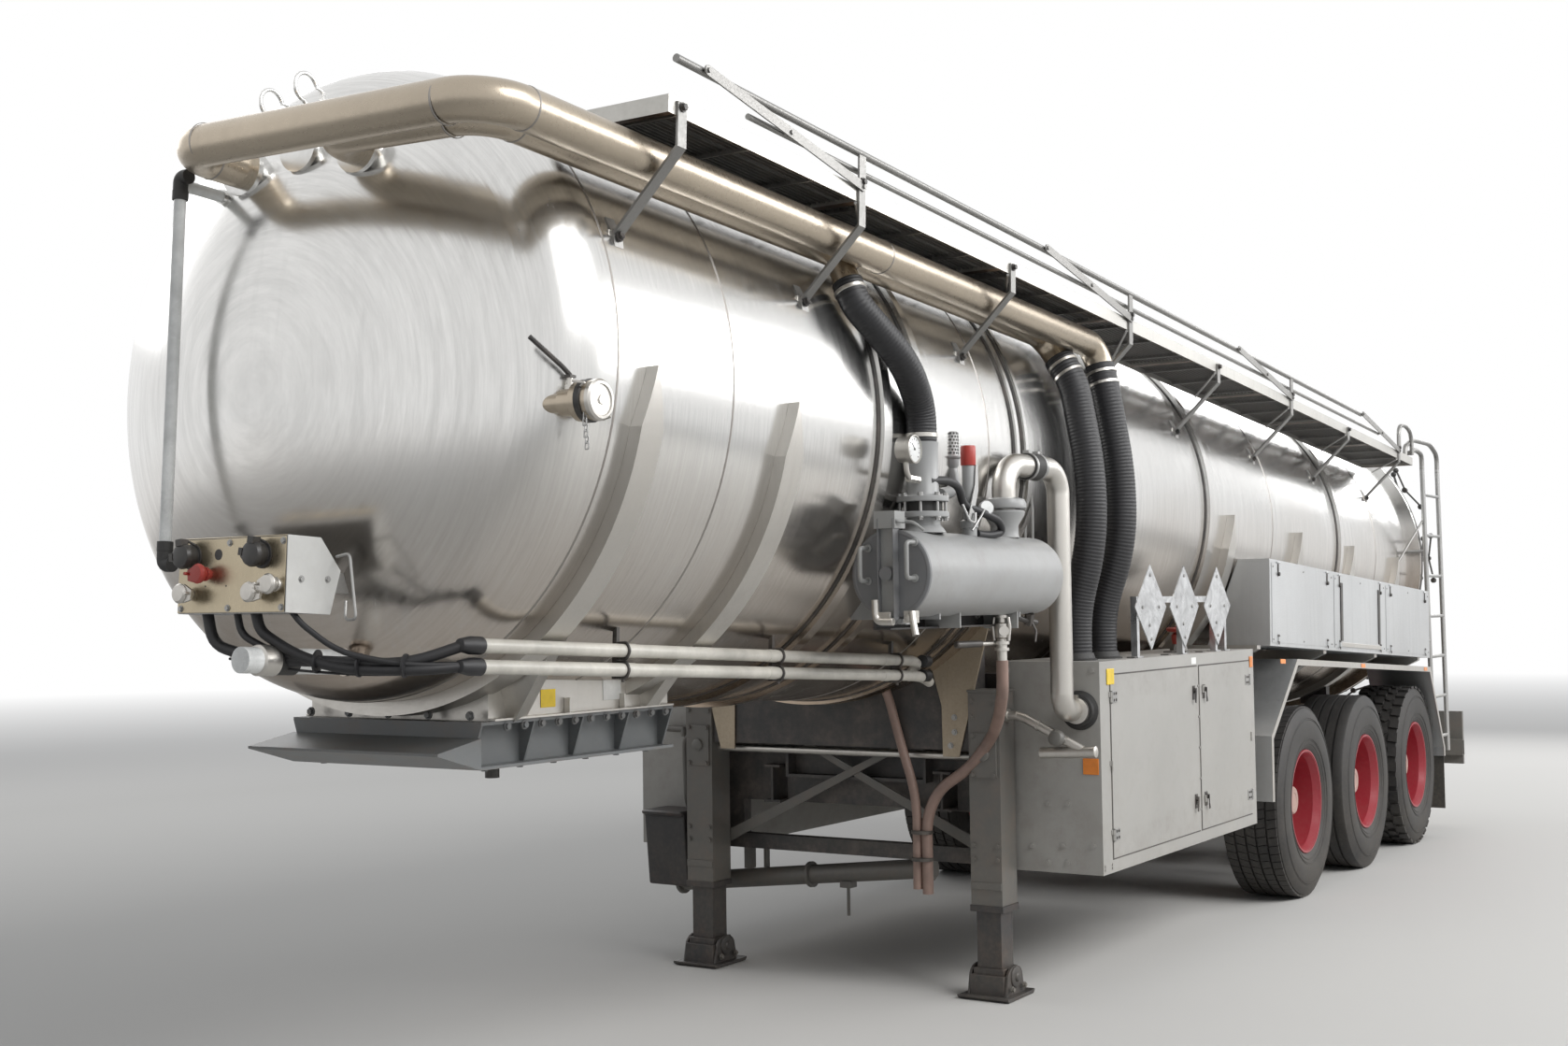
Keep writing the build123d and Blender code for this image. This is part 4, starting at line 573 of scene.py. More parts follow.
# %% Finish every solid of the frame
NODE_FINISH = {
    "tank_shell": tank_steel,
    "rear_door": tank_steel,
    "manhole_lid": rib_steel,
    "saddle_ribs": rib_steel,
    "bolster": rib_steel,
    "coupler_plate": plate_grey,
    "king_pin": clamp_black,
    "chassis_frame": chassis_grey,
    "frame_rails": chassis_grey,
    "running_gear": chassis_grey,
    "air_springs": flap_rubber,
    "mudguards": box_aluminium,
    "mudflaps": flap_rubber,
    "toolboxes": box_aluminium,
    "cabinets": cabinet_grey,
    "placards": placard_steel,
    "landing_legs": leg_grey,
    "leg_crank": rib_steel,
    "walkway_deck": deck_steel,
    "walkway_brackets": rail_steel,
    "suction_pipes": pipe_steel,
    "suction_hoses": hose_rubber,
    "side_valve": pipe_steel,
    "separator_tank": drum_grey,
    "separator_cover": cover_grey,
    "separator_fittings": rib_steel,
    "sight_tube": sight_plastic,
    "connector_box": galvanised,
    "service_lines": pale_pipe,
    "ladder": galvanised,
    "rear_bumper": leg_grey,
    "door_clamps": clamp_black,
}
PREFIX_FINISH = {
    "tyre_": tyre_rubber,
    "rim_": wheel_red,
    "flap_": box_aluminium,
    "door_": cabinet_grey,
    "handrail_": rail_steel,
}
for name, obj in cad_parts.items():
    finish = NODE_FINISH.get(name)
    if finish is None:
        finish = next(value for prefix, value in PREFIX_FINISH.items() if name.startswith(prefix))
    obj.data.materials.clear()
    obj.data.materials.append(finish)
print("solids with a finish", len(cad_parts))

# %% [markdown]
# ## Tools for the small parts
# Valves, couplings and handles are turned, bent or cut from plate. Three mesh builders cover them: a lathe,
# a bent bar and a flat plate. Each writes into a bmesh in the coordinates of the line that carries the
# part, so its place is in its mesh and the object stays at the origin.


# %% Blocks and lathe work
def block(bm, place, low, high):
    """Box between two corners."""
    xs, ys, zs = zip(low, high)
    corners = [bm.verts.new(place @ Vector((x, y, z))) for x in xs for y in ys for z in zs]
    for face in ((0, 1, 3, 2), (4, 6, 7, 5), (0, 4, 5, 1), (2, 3, 7, 6), (0, 2, 6, 4), (1, 5, 7, 3)):
        bm.faces.new([corners[i] for i in face])


def skin(bm, rings, closed=False):
    """Quads between rings of corners; the ends are capped, or joined where closed."""
    count = len(rings[0])
    pairs = list(zip(rings, rings[1:] + rings[:1])) if closed else list(zip(rings, rings[1:]))
    for a, b in pairs:
        for i in range(count):
            j = (i + 1) % count
            bm.faces.new((a[i], a[j], b[j], b[i]))
    if not closed:
        bm.faces.new(rings[0][::-1])
        bm.faces.new(rings[-1])


def turned(bm, place, start, aim, profile, steps=20, closed=False):
    """Lathe work from start along aim: profile is (distance, radius) pairs."""
    centre = place @ Vector(start)
    along = (place.to_3x3() @ Vector(aim)).normalized()
    side = along.orthogonal().normalized()
    other = along.cross(side)
    rings = []
    for distance, radius in profile:
        ring = []
        for i in range(steps):
            turn = 2 * math.pi * i / steps
            out = side * math.cos(turn) + other * math.sin(turn)
            ring.append(bm.verts.new(centre + along * distance + out * radius))
        rings.append(ring)
    skin(bm, rings, closed)


def band(inner, outer, width, chamfer=0.001):
    """Profile of a ring that stands out from inner to outer, its two edges chamfered."""
    return ((0, inner), (chamfer, outer), (width - chamfer, outer), (width, inner))


print("builders: block, skin, turned, band")


# %% Bent bars and cut plates
def rounded(points, reach, steps=5):
    """Points with each corner rounded from reach before it to reach after it."""
    points = [Vector(p) for p in points]
    path = [points[0]]
    for before, corner, after in zip(points, points[1:], points[2:]):
        near = min(reach, (corner - before).length / 2, (after - corner).length / 2)
        a = corner + (before - corner).normalized() * near
        b = corner + (after - corner).normalized() * near
        for i in range(steps + 1):
            t = i / steps
            path.append(a * (1 - t) ** 2 + corner * 2 * t * (1 - t) + b * t * t)
    path.append(points[-1])
    return path


def tube(bm, place, points, radius, reach=0.0, steps=12):
    """Round bar through points, its corners rounded over reach."""
    path = [place @ p for p in (rounded(points, reach) if reach else [Vector(p) for p in points])]
    before = None
    rings = []
    for i, spot in enumerate(path):
        ahead = (path[min(i + 1, len(path) - 1)] - path[max(i - 1, 0)]).normalized()
        side = ahead.orthogonal().normalized() if before is None else (
            before - ahead * before.dot(ahead)
        ).normalized()
        before = side
        other = ahead.cross(side)
        turns = (2 * math.pi * k / steps for k in range(steps))
        rings.append(
            [bm.verts.new(spot + (side * math.cos(t) + other * math.sin(t)) * radius) for t in turns]
        )
    skin(bm, rings)


def plate(bm, place, outline, low, high, axis=1):
    """Flat plate: an outline in the plane square to an axis, from low to high along it."""
    layers = []
    for level in (low, high):
        ring = []
        for pair in outline:
            spot = list(pair)
            spot.insert(axis, level)
            ring.append(bm.verts.new(place @ Vector(spot)))
        layers.append(ring)
    skin(bm, layers)


print("builders: rounded, tube, plate")


# %% Settling a piece on its body
SHARP_ANGLE = 34
BEVEL_ANGLE = 40


def settle(name, mesh, finish, body="body", edge=0.0, replaces=()):
    """Object for a finished mesh: sharp edges kept, small bevel where asked, riding on its body."""
    mesh.materials.clear()
    mesh.materials.append(finish)
    mesh.shade_smooth()
    mesh.set_sharp_from_angle(angle=math.radians(SHARP_ANGLE))
    obj = bpy.data.objects.new(name, mesh)
    bpy.context.collection.objects.link(obj)
    if edge:
        soften = obj.modifiers.new("soft_edges", "BEVEL")
        soften.width = edge
        soften.segments = 2
        soften.limit_method = "ANGLE"
        soften.angle_limit = math.radians(BEVEL_ANGLE)
    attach(obj, body)
    if replaces:
        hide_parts(*replaces)
    return obj


def piece(name, bm, finish, body="body", edge=0.0015, replaces=()):
    """Settles what a bmesh holds, its faces turned outwards."""
    bmesh.ops.recalc_face_normals(bm, faces=bm.faces)
    mesh = bpy.data.meshes.new(name)
    bm.to_mesh(mesh)
    bm.free()
    return settle(name, mesh, finish, body, edge, replaces)


print("edges stay sharp from", SHARP_ANGLE, "degrees")

# %% [markdown]
# ## Three node trees for what repeats
# Bolts, tread blocks, chain links and hose ridges all repeat. Geometry Nodes make them: one tree sets a
# bolt on every point of a mesh, one repeats a shape along a step or round an axis, and one sweeps a ridged
# hose along a path. Each result is turned into a plain mesh before it rides on anything.


# %% Tree helpers
GEOMETRY = "NodeSocketGeometry"


def growth(name, inputs):
    """An empty geometry tree: returns it, its two end nodes and its inputs' identifiers."""
    group = bpy.data.node_groups.new(name, "GeometryNodeTree")
    group.interface.new_socket(name="Geometry", in_out="INPUT", socket_type=GEOMETRY)
    sockets = {}
    for label, kind, default in inputs:
        socket = group.interface.new_socket(name=label, in_out="INPUT", socket_type=kind)
        socket.default_value = default
        sockets[label] = socket.identifier
    socket = group.interface.new_socket(name="Material", in_out="INPUT", socket_type="NodeSocketMaterial")
    sockets["Material"] = socket.identifier
    group.interface.new_socket(name="Geometry", in_out="OUTPUT", socket_type=GEOMETRY)
    return group, group.nodes.new("NodeGroupInput"), group.nodes.new("NodeGroupOutput"), sockets


def finish_growth(group, made, gin, gout):
    """Ends a tree: real copies, dressed in the given material."""
    real = group.nodes.new("GeometryNodeRealizeInstances")
    dress = group.nodes.new("GeometryNodeSetMaterial")
    link(group, made, real.inputs[0])
    link(group, real.outputs[0], dress.inputs["Geometry"])
    link(group, gin.outputs["Material"], dress.inputs["Material"])
    link(group, dress.outputs[0], gout.inputs[0])


def grow(name, seed, tree, place, finish, slot, body="body", replaces=(), **values):
    """Runs a tree on a seed mesh and settles the plain mesh that comes out, moved to its place."""
    group, sockets = tree
    carrier = bpy.data.objects.new(name + "_seed", seed)
    bpy.context.collection.objects.link(carrier)
    maker = carrier.modifiers.new("grow", "NODES")
    maker.node_group = group
    maker[sockets["Material"]] = finish
    for label, value in values.items():
        maker[sockets[label]] = value
    graph = bpy.context.evaluated_depsgraph_get()
    mesh = bpy.data.meshes.new_from_object(carrier.evaluated_get(graph))
    carrier.modifiers.clear()
    bpy.data.objects.remove(carrier)
    mesh.transform(place)
    mesh.name = name
    return settle(name, mesh, finish, body, replaces=replaces)


print("tree helpers: growth, finish_growth, grow")

# %% Bolts on points
group, gin, gout, sockets = growth(
    "bolts_on_points", [
        ("Head", FLOAT, 0.01), ("Tall", FLOAT, 0.008), ("Sides", "NodeSocketInt", 6), ("Washer", FLOAT, 1.4)
    ]
)
heads = group.nodes.new("GeometryNodeMeshCylinder")
link(group, gin.outputs["Sides"], heads.inputs["Vertices"])
link(group, gin.outputs["Head"], heads.inputs["Radius"])
link(group, gin.outputs["Tall"], heads.inputs["Depth"])
washers = node(group, "GeometryNodeMeshCylinder", Vertices=14)
link(group, calc(group, "MULTIPLY", gin.outputs["Head"], gin.outputs["Washer"]), washers.inputs["Radius"])
link(group, calc(group, "MULTIPLY", gin.outputs["Tall"], 0.5), washers.inputs["Depth"])
lift = group.nodes.new("ShaderNodeCombineXYZ")
link(group, calc(group, "MULTIPLY", gin.outputs["Tall"], 0.5), lift.inputs["Z"])
raised = group.nodes.new("GeometryNodeTransform")
link(group, heads.outputs["Mesh"], raised.inputs["Geometry"])
link(group, lift.outputs[0], raised.inputs["Translation"])
whole = group.nodes.new("GeometryNodeJoinGeometry")
link(group, raised.outputs[0], whole.inputs[0])
link(group, washers.outputs["Mesh"], whole.inputs[0])
aim = node(group, "GeometryNodeInputNamedAttribute", data_type="FLOAT_VECTOR", Name="aim")
turn = node(group, "FunctionNodeAlignRotationToVector", axis="Z")
link(group, aim.outputs["Attribute"], turn.inputs["Vector"])
spread = group.nodes.new("GeometryNodeInstanceOnPoints")
link(group, gin.outputs["Geometry"], spread.inputs["Points"])
link(group, whole.outputs[0], spread.inputs["Instance"])
link(group, turn.outputs[0], spread.inputs["Rotation"])
finish_growth(group, spread.outputs[0], gin, gout)
BOLTS = (group, sockets)


def bolts(name, place, spots, finish, slot, body="body", head=0.010, tall=0.008, sides=6, washer=1.4):
    """Bolts where spots give (place, aim) pairs in a line's own coordinates."""
    seed = bpy.data.meshes.new(name + "_points")
    seed.from_pydata([place @ Vector(spot) for spot, aim in spots], [], [])
    aims = seed.attributes.new("aim", "FLOAT_VECTOR", "POINT")
    for item, (spot, aim) in zip(aims.data, spots):
        item.vector = place.to_3x3() @ Vector(aim)
    values = {"Head": head, "Tall": tall, "Sides": sides, "Washer": washer}
    return grow(name, seed, BOLTS, Matrix(), finish, slot, body, **values)


print("tree", group.name)

# %% Copies along a step or round an axis
group, gin, gout, sockets = growth(
    "repeated", [("Count", "NodeSocketInt", 8), ("Step", VECTOR, (0, 0, 0)), ("Turn", VECTOR, (0, 0, 0))]
)
points = group.nodes.new("GeometryNodePoints")
order = group.nodes.new("GeometryNodeInputIndex")
link(group, gin.outputs["Count"], points.inputs["Count"])
spread = group.nodes.new("GeometryNodeInstanceOnPoints")
for label, target in (("Step", points.inputs["Position"]), ("Turn", spread.inputs["Rotation"])):
    scaled = node(group, "ShaderNodeVectorMath", operation="SCALE")
    link(group, gin.outputs[label], scaled.inputs[0])
    link(group, order.outputs[0], scaled.inputs["Scale"])
    link(group, scaled.outputs[0], target)
link(group, points.outputs[0], spread.inputs["Points"])
link(group, gin.outputs["Geometry"], spread.inputs["Instance"])
finish_growth(group, spread.outputs[0], gin, gout)
REPEATED = (group, sockets)


def repeated(name, bm, place, count, finish, slot, body="body", step=(0, 0, 0), turn=(0, 0, 0)):
    """Copies of what a bmesh holds, each a step and a turn on from the last."""
    bmesh.ops.recalc_face_normals(bm, faces=bm.faces)
    seed = bpy.data.meshes.new(name + "_one")
    bm.to_mesh(seed)
    bm.free()
    return grow(name, seed, REPEATED, place, finish, slot, body, Count=count, Step=step, Turn=turn)


print("tree", group.name)

# %% Ridged hose along a path
group, gin, gout, sockets = growth(
    "ridged_hose", [("Radius", FLOAT, 0.05), ("Pitch", FLOAT, 0.012), ("Depth", FLOAT, 0.02)]
)
line = group.nodes.new("GeometryNodeMeshToCurve")
link(group, gin.outputs["Geometry"], line.inputs[0])
fine = node(group, "GeometryNodeResampleCurve", mode="LENGTH")
link(group, line.outputs[0], fine.inputs["Curve"])
link(group, calc(group, "DIVIDE", gin.outputs["Pitch"], 4.0), fine.inputs["Length"])
along = group.nodes.new("GeometryNodeSplineParameter")
wave = calc(
    group, "SINE",
    calc(
        group, "MULTIPLY", calc(group, "DIVIDE", along.outputs["Length"], gin.outputs["Pitch"]), 2 * math.pi
    ),
)
swell = calc(group, "ADD", calc(group, "MULTIPLY", wave, gin.outputs["Depth"]), 1.0)
section = node(group, "GeometryNodeCurvePrimitiveCircle", Resolution=22)
link(group, gin.outputs["Radius"], section.inputs["Radius"])
swept = node(group, "GeometryNodeCurveToMesh")
swept.inputs["Fill Caps"].default_value = True
link(group, fine.outputs[0], swept.inputs["Curve"])
link(group, section.outputs[0], swept.inputs["Profile Curve"])
link(group, swell, swept.inputs["Scale"])
finish_growth(group, swept.outputs[0], gin, gout)
RIDGED = (group, sockets)


def ridged_hose(name, place, points, reach, radius, finish, slot, pitch=0.012, depth=0.02, replaces=()):
    """Hose with ridges round it, along points whose corners are rounded."""
    path = rounded(points, reach, 8)
    seed = bpy.data.meshes.new(name + "_path")
    seed.from_pydata(path, [(i, i + 1) for i in range(len(path) - 1)], [])
    return grow(
        name, seed, RIDGED, place, finish, slot, replaces=replaces, Radius=radius, Pitch=pitch, Depth=depth
    )


print("tree", group.name)

# %% [markdown]
# ## Tyres
# A road tyre is a bulged carcass with fine rings moulded in its wall, and its tread differs by make: this
# trailer wears a rib tread on its middle axle and lugs on the others. The carcass is lathe work. The lugs
# are a few blocks on one short arc, which the repeating tree carries round the axle.

# %% Tyre carcasses
TYRE_R = 0.548
TYRE_MID_Y = 1.025
WALL = (
    (0.157, 0.2975), (0.172, 0.318), (0.1795, 0.345), (0.184, 0.378), (0.185, 0.417), (0.1825, 0.455),
    (0.176, 0.492), (0.166, 0.518),
)
WALL_RINGS = (0.331, 0.352, 0.360, 0.470, 0.478)
RIBS = ((-0.150, -0.098), (-0.086, -0.036), (-0.024, 0.024), (0.036, 0.086), (0.098, 0.150))
GROOVE = 0.012


def wall_half(radius):
    """Half width of the wall at a radius."""
    for (w0, r0), (w1, r1) in zip(WALL, WALL[1:]):
        if r0 <= radius <= r1:
            return w0 + (w1 - w0) * (radius - r0) / (r1 - r0)


wall = list(WALL)
for ring in WALL_RINGS:
    half = wall_half(ring)
    wall += [
        (half - 0.0002, ring - 0.0022), (half + 0.0022, ring - 0.0010), (half + 0.0022, ring + 0.0010),
        (half, ring + 0.0022),
    ]
wall.sort(key=lambda pair: pair[1])
print("wall corners", len(wall))


# %% Carcass and its place
def carcass(tread):
    """Closed half-section of a tyre: distances from its middle plane, and radii."""
    if tread == "ribs":
        crown = []
        for low, high in RIBS:
            crown += [
                (low, TYRE_R - GROOVE), (low + 0.001, TYRE_R), (high - 0.001, TYRE_R),
                (high, TYRE_R - GROOVE),
            ]
        crown = [(-0.158, TYRE_R - 0.006)] + crown[1:-1] + [(0.158, TYRE_R - 0.006)]
    else:
        crown = [(-0.155, TYRE_R - 0.014), (0.155, TYRE_R - 0.014)]
    return [(-w, r) for w, r in wall] + crown + [(w, r) for w, r in reversed(wall)]


def wheel_place(side, along):
    """Matrix of a wheel: its axle runs outwards along z."""
    return Matrix(
        ((0, side, 0, BOGIE_X + along), (0, 0, side, side * TYRE_MID_Y), (1, 0, 0, AXLE_Z), (0, 0, 0, 1))
    )


print("helpers: carcass, wheel_place")


# %% Tread blocks
COARSE_ARCS, FINE_ARCS = 34, 66


def lug(bm, outline, top=TYRE_R):
    """Tread block on a short arc: outline is (around, across) pairs."""
    plate(bm, Matrix(), outline, TYRE_R - 0.016, top, axis=0)


def lugs(coarse):
    """Blocks of one arc of the tread, and how many arcs go round."""
    bm = bmesh.new()
    if coarse:
        for way in (1, -1):
            shift = 0.024 * way
            lug(bm, [
                (shift - 0.034, way * 0.108), (shift + 0.026, way * 0.100), (shift + 0.034, way * 0.164),
                (shift - 0.032, way * 0.164),
            ], TYRE_R - 0.001)
            lug(bm, [
                (-shift - 0.030, way * 0.046), (-shift + 0.016, way * 0.040), (-shift + 0.030, way * 0.070),
                (-shift + 0.012, way * 0.096), (-shift - 0.032, way * 0.092),
            ])
        lug(bm, [
            (-0.040, -0.030), (-0.008, -0.036), (0.034, -0.020), (0.040, 0.030), (0.006, 0.036),
            (-0.034, 0.020),
        ])
        return bm, COARSE_ARCS
    for low, high in RIBS:
        skew = 0.006 if (low + high) > 0 else -0.006
        lug(bm, [(-0.0245 + skew, low), (0.0225 + skew, low), (0.0245 - skew, high), (-0.0225 - skew, high)])
    return bm, FINE_ARCS


print("arcs round a tyre", COARSE_ARCS, FINE_ARCS)

# %% Tyres on their wheels
TREADS = {"front": "fine", "middle": "ribs", "rear": "coarse"}
for place_name, along in PLACES:
    for side_name, side in SIDES:
        at = wheel_place(side, along)
        wheel = f"{side_name}_{place_name}"
        body = "wheel_" + wheel
        tyre = "tyre_" + wheel
        bm = bmesh.new()
        turned(bm, at, (0, 0, 0), (0, 0, 1), carcass(TREADS[place_name]), 96, closed=True)
        piece(tyre + "_carcass", bm, tyre_rubber, body, 0, (tyre,))
        if TREADS[place_name] != "ribs":
            bm, count = lugs(TREADS[place_name] == "coarse")
            arc = (0, 0, 2 * math.pi / count)
            repeated("tread_" + wheel, bm, at, count, tyre_rubber, "tyre", body, turn=arc)
print("tyres", len(PLACES) * len(SIDES))

# %% [markdown]
# ## Hubs
# The wheels' red discs sit deep inside the rims, so a long hub stands out of each. Ten nuts hold the disc
# to it. Nuts on a circle are points with an outward aim, which suits the bolt tree.

# %% Hub caps, nuts and rim lips
NUT_CIRCLE, SCREW_CIRCLE, NUTS = 0.1675, 0.094, 10
HUB_PAINT = paint(
    "hub_paint", (0.46, 0.27, 0.25), 0.5, under=(0.2, 0.12, 0.1), worn=0.5, dusty=0.9, dust_height=2.0
)
for place_name, along in PLACES:
    for side_name, side in SIDES:
        wheel = f"{side_name}_{place_name}"
        body = "wheel_" + wheel
        at = wheel_place(side, along)
        bm = bmesh.new()
        turned(bm, at, (0, 0, 0.0435), (0, 0, 1), ((0, 0.1), (0, 0.1045), (0.006, 0.1045), (0.008, 0.1)), 40)
        turned(bm, at, (0, 0, 0.0525), (0, 0, 1), (
            (0, 0.084), (0.010, 0.084), (0.013, 0.0805), (0.034, 0.0798), (0.041, 0.073), (0.041, 0.045),
            (0.038, 0.042), (0.038, 0.002),
        ), 40)
        piece("hub_" + wheel, bm, HUB_PAINT, body, 0.001)
        bm = bmesh.new()
        turned(bm, at, (0, 0, 0.150), (0, 0, 1), (
            (0, 0.284), (0.016, 0.288), (0.0165, 0.296), (0.006, 0.2968), (0, 0.293),
        ), 72, closed=True)
        tube(bm, at, [(0.245, 0, -0.02), (0.25, 0, 0.04), (0.262, 0, 0.06)], 0.005)
        piece("rim_lip_" + wheel, bm, wheel_red, body, 0)
        turns = [2 * math.pi * k / NUTS for k in range(NUTS)]
        spots = [((NUT_CIRCLE * math.cos(t), NUT_CIRCLE * math.sin(t), -0.055), (0, 0, 1)) for t in turns]
        spots += [((SCREW_CIRCLE * math.cos(t), SCREW_CIRCLE * math.sin(t), 0.043), (0, 0, 1)) for t in turns]
        bolts("wheel_nuts_" + wheel, at, spots[:NUTS], wheel_red, "wheel_red", body, head=0.017, tall=0.026)
        bolts("hub_screws_" + wheel, at, spots[NUTS:], HUB_PAINT, "wheel_red", body, head=0.0085, tall=0.010)
print("wheel nuts", NUTS * len(PLACES) * len(SIDES))

# %% [markdown]
# ## Suction hoses
# Two rubber hoses drop from the steel pipes into the left cabinet, and one joins the branch to the
# separator. Each is wrapped rubber with a fine ridge, clamped on its pipe. The solids' plain runs are
# replaced by the ridged sweep along the same line.

# %% Hoses and their clamps
OUTER_END = TANK @ Vector((4.025, 1.085, 0.500))
INNER_END = TANK @ Vector((4.295, 1.010, 0.500))
OUTER_LEAN = Vector((0, 0.029, -0.122)).normalized()
INNER_LEAN = Vector((0, 0.085, -0.140)).normalized()
TO_LEVEL = Vector((BOGIE_X, 0, 0))
for name, end, lean, belly, socket in (
    ("outer", OUTER_END, OUTER_LEAN, 1.165, 3.995),
    ("inner", INNER_END, INNER_LEAN, 1.140, 4.285),
):
    lean = TANK.to_3x3() @ lean
    points = [end - lean * 0.03, end + lean * 0.11]
    points += [
        TO_LEVEL + Vector(p)
        for p in (
            (socket - 0.015, belly, 2.30), (socket - 0.010, belly, 1.98), (socket, 1.06, 1.68),
            (socket, 1.06, 1.455),
        )
    ]
    ridged_hose(
        f"suction_hose_{name}", Matrix(), points, 0.24, 0.069, hose_rubber, "hose_rubber", 0.016, 0.014,
        ("suction_hoses",),
    )
    bm = bmesh.new()
    for way in (0.0, 0.055):
        turned(bm, Matrix(), end + lean * way, lean, band(0.0705, 0.0725, 0.014), 36)
    piece(f"hose_clamps_{name}", bm, rib_steel, edge=0)
    bm = bmesh.new()
    foot = TO_LEVEL + Vector((socket, 1.06, 1.458))
    turned(bm, Matrix(), foot, (0, 0, 1), ((0, 0.093), (0.006, 0.093), (0.010, 0.082), (0.034, 0.074)), 36)
    piece(f"hose_collar_{name}", bm, flap_rubber, edge=0)
print("hoses into the cabinet made")

# %% Branch hose to the separator
INLET = (5.765, 1.087)
BRANCH_WAY = Vector((0, 64, -153)).normalized()
BRANCH = TANK @ (Vector((6.150, 0.925, 0.640)) + BRANCH_WAY * 0.165)
branch_lean = TANK.to_3x3() @ BRANCH_WAY
points = [BRANCH - branch_lean * 0.03, BRANCH + branch_lean * 0.06, TANK @ Vector((5.930, 1.105, 0.240))]
points += [TO_LEVEL + Vector((*INLET, 2.46)), TO_LEVEL + Vector((*INLET, 2.31))]
ridged_hose(
    "suction_hose_branch", Matrix(), points, 0.16, 0.058, hose_rubber, "hose_rubber", 0.014, 0.014,
    ("suction_hoses",),
)
bm = bmesh.new()
turned(bm, Matrix(), BRANCH, branch_lean, band(0.0585, 0.061, 0.016, 0.002), 36)
turned(bm, Matrix(), TO_LEVEL + Vector((*INLET, 2.345)), (0, 0, 1), band(0.0585, 0.0615, 0.019, 0.002), 36)
piece("hose_clamps_branch", bm, rib_steel, edge=0)
print("branch hose made")

# %% [markdown]
# ## Separator dressing
# The drum beside the tank catches drops before they reach the pump. On it stand a dial gauge, a silencer,
# a red-capped relief valve with its lever, a small hose and the neck of the steel line. Its cover has two
# handles and a bar with a hook, and swings down on its own hinge, so the cover's parts ride on the cover.

# %% Drum top
FACING = Vector((0, 1, 0))
bm = bmesh.new()
gauge = Vector((5.970, 1.150, 2.285))
turned(bm, LEVEL, gauge, FACING, (
    (-0.048, 0.030), (-0.042, 0.047), (0.0, 0.048), (0.004, 0.053), (0.020, 0.053), (0.022, 0.049),
    (0.012, 0.048),
), 36)
tube(
    bm, LEVEL,
    [
        gauge + Vector((0, -0.022, -0.03)), gauge + Vector((-0.005, -0.022, -0.075)), (5.935, 1.122, 2.182),
        (5.80, 1.10, 2.182),
    ],
    0.010, 0.03,
)
for x in (5.925, 5.885, 5.845):
    turned(
        bm, LEVEL, (x - 0.012, 1.122 - (5.935 - x) * 0.16, 2.182), (1, -0.1, 0),
        band(0.010, 0.015, 0.024, 0.002), 6,
    )
piece("gauge_case", bm, rib_steel, edge=0)
bm = bmesh.new()
turned(bm, LEVEL, gauge + FACING * 0.0125, FACING, ((0, 0.048), (0.003, 0.048), (0.0035, 0.047)), 36)
piece("gauge_dial", bm, sight_plastic, edge=0)
bm = bmesh.new()
face = gauge + FACING * 0.0165
turned(bm, LEVEL, face, FACING, ((0, 0.004), (0.003, 0.004)), 10)
tube(bm, LEVEL, [face + Vector((-0.006, 0, -0.004)), face + Vector((0.018, 0, 0.022))], 0.0012, steps=6)
for k in range(11):
    t = math.radians(-135 + 27 * k)
    out = Vector((-math.sin(t), 0, math.cos(t)))
    tube(bm, LEVEL, [face + out * 0.034, face + out * 0.042], 0.0009, steps=6)
piece("gauge_marks", bm, clamp_black, edge=0)
print("gauge at", tuple(round(v, 3) for v in gauge))

# %% Necks on the drum
NECK = (5.060, 1.087)
SILENCER = (5.395, 1.020)
bm = bmesh.new()
turned(bm, LEVEL, (*INLET, 1.985), (0, 0, 1), ((0, 0.088), (0.014, 0.080), (0.03, 0.066), (0.075, 0.064)), 40)
turned(bm, LEVEL, (*INLET, 2.043), (0, 0, 1), band(0.096, 0.099, 0.022, 0.003), 48)
turned(bm, LEVEL, (*INLET, 2.102), (0, 0, 1), (
    (0, 0.096), (0.003, 0.099), (0.019, 0.099), (0.022, 0.096), (0.022, 0.070), (0.034, 0.062), (0.2, 0.061),
    (0.226, 0.064), (0.228, 0.05),
), 48)
turned(bm, LEVEL, (*NECK, 1.985), (0, 0, 1), (
    (0, 0.062), (0.016, 0.058), (0.05, 0.058), (0.09, 0.082), (0.105, 0.086), (0.112, 0.080),
), 44)
turned(bm, LEVEL, (*NECK, 2.102), (0, 0, 1), (
    (0, 0.084), (0.004, 0.091), (0.022, 0.092), (0.040, 0.084), (0.048, 0.058),
), 44)
turned(bm, LEVEL, (*SILENCER, 2.235), (0, 0, 1), (
    (0, 0.022), (0.02, 0.022), (0.03, 0.030), (0.055, 0.032), (0.062, 0.040), (0.068, 0.040), (0.070, 0.030),
), 32)
tube(bm, LEVEL, [
    (*SILENCER, 2.25), (5.395, 1.035, 2.19), (5.47, 1.055, 2.155), (5.60, 1.075, 2.14),
], 0.024, 0.05, 20)
piece("separator_necks", bm, drum_grey, edge=0.001)
print("necks made")

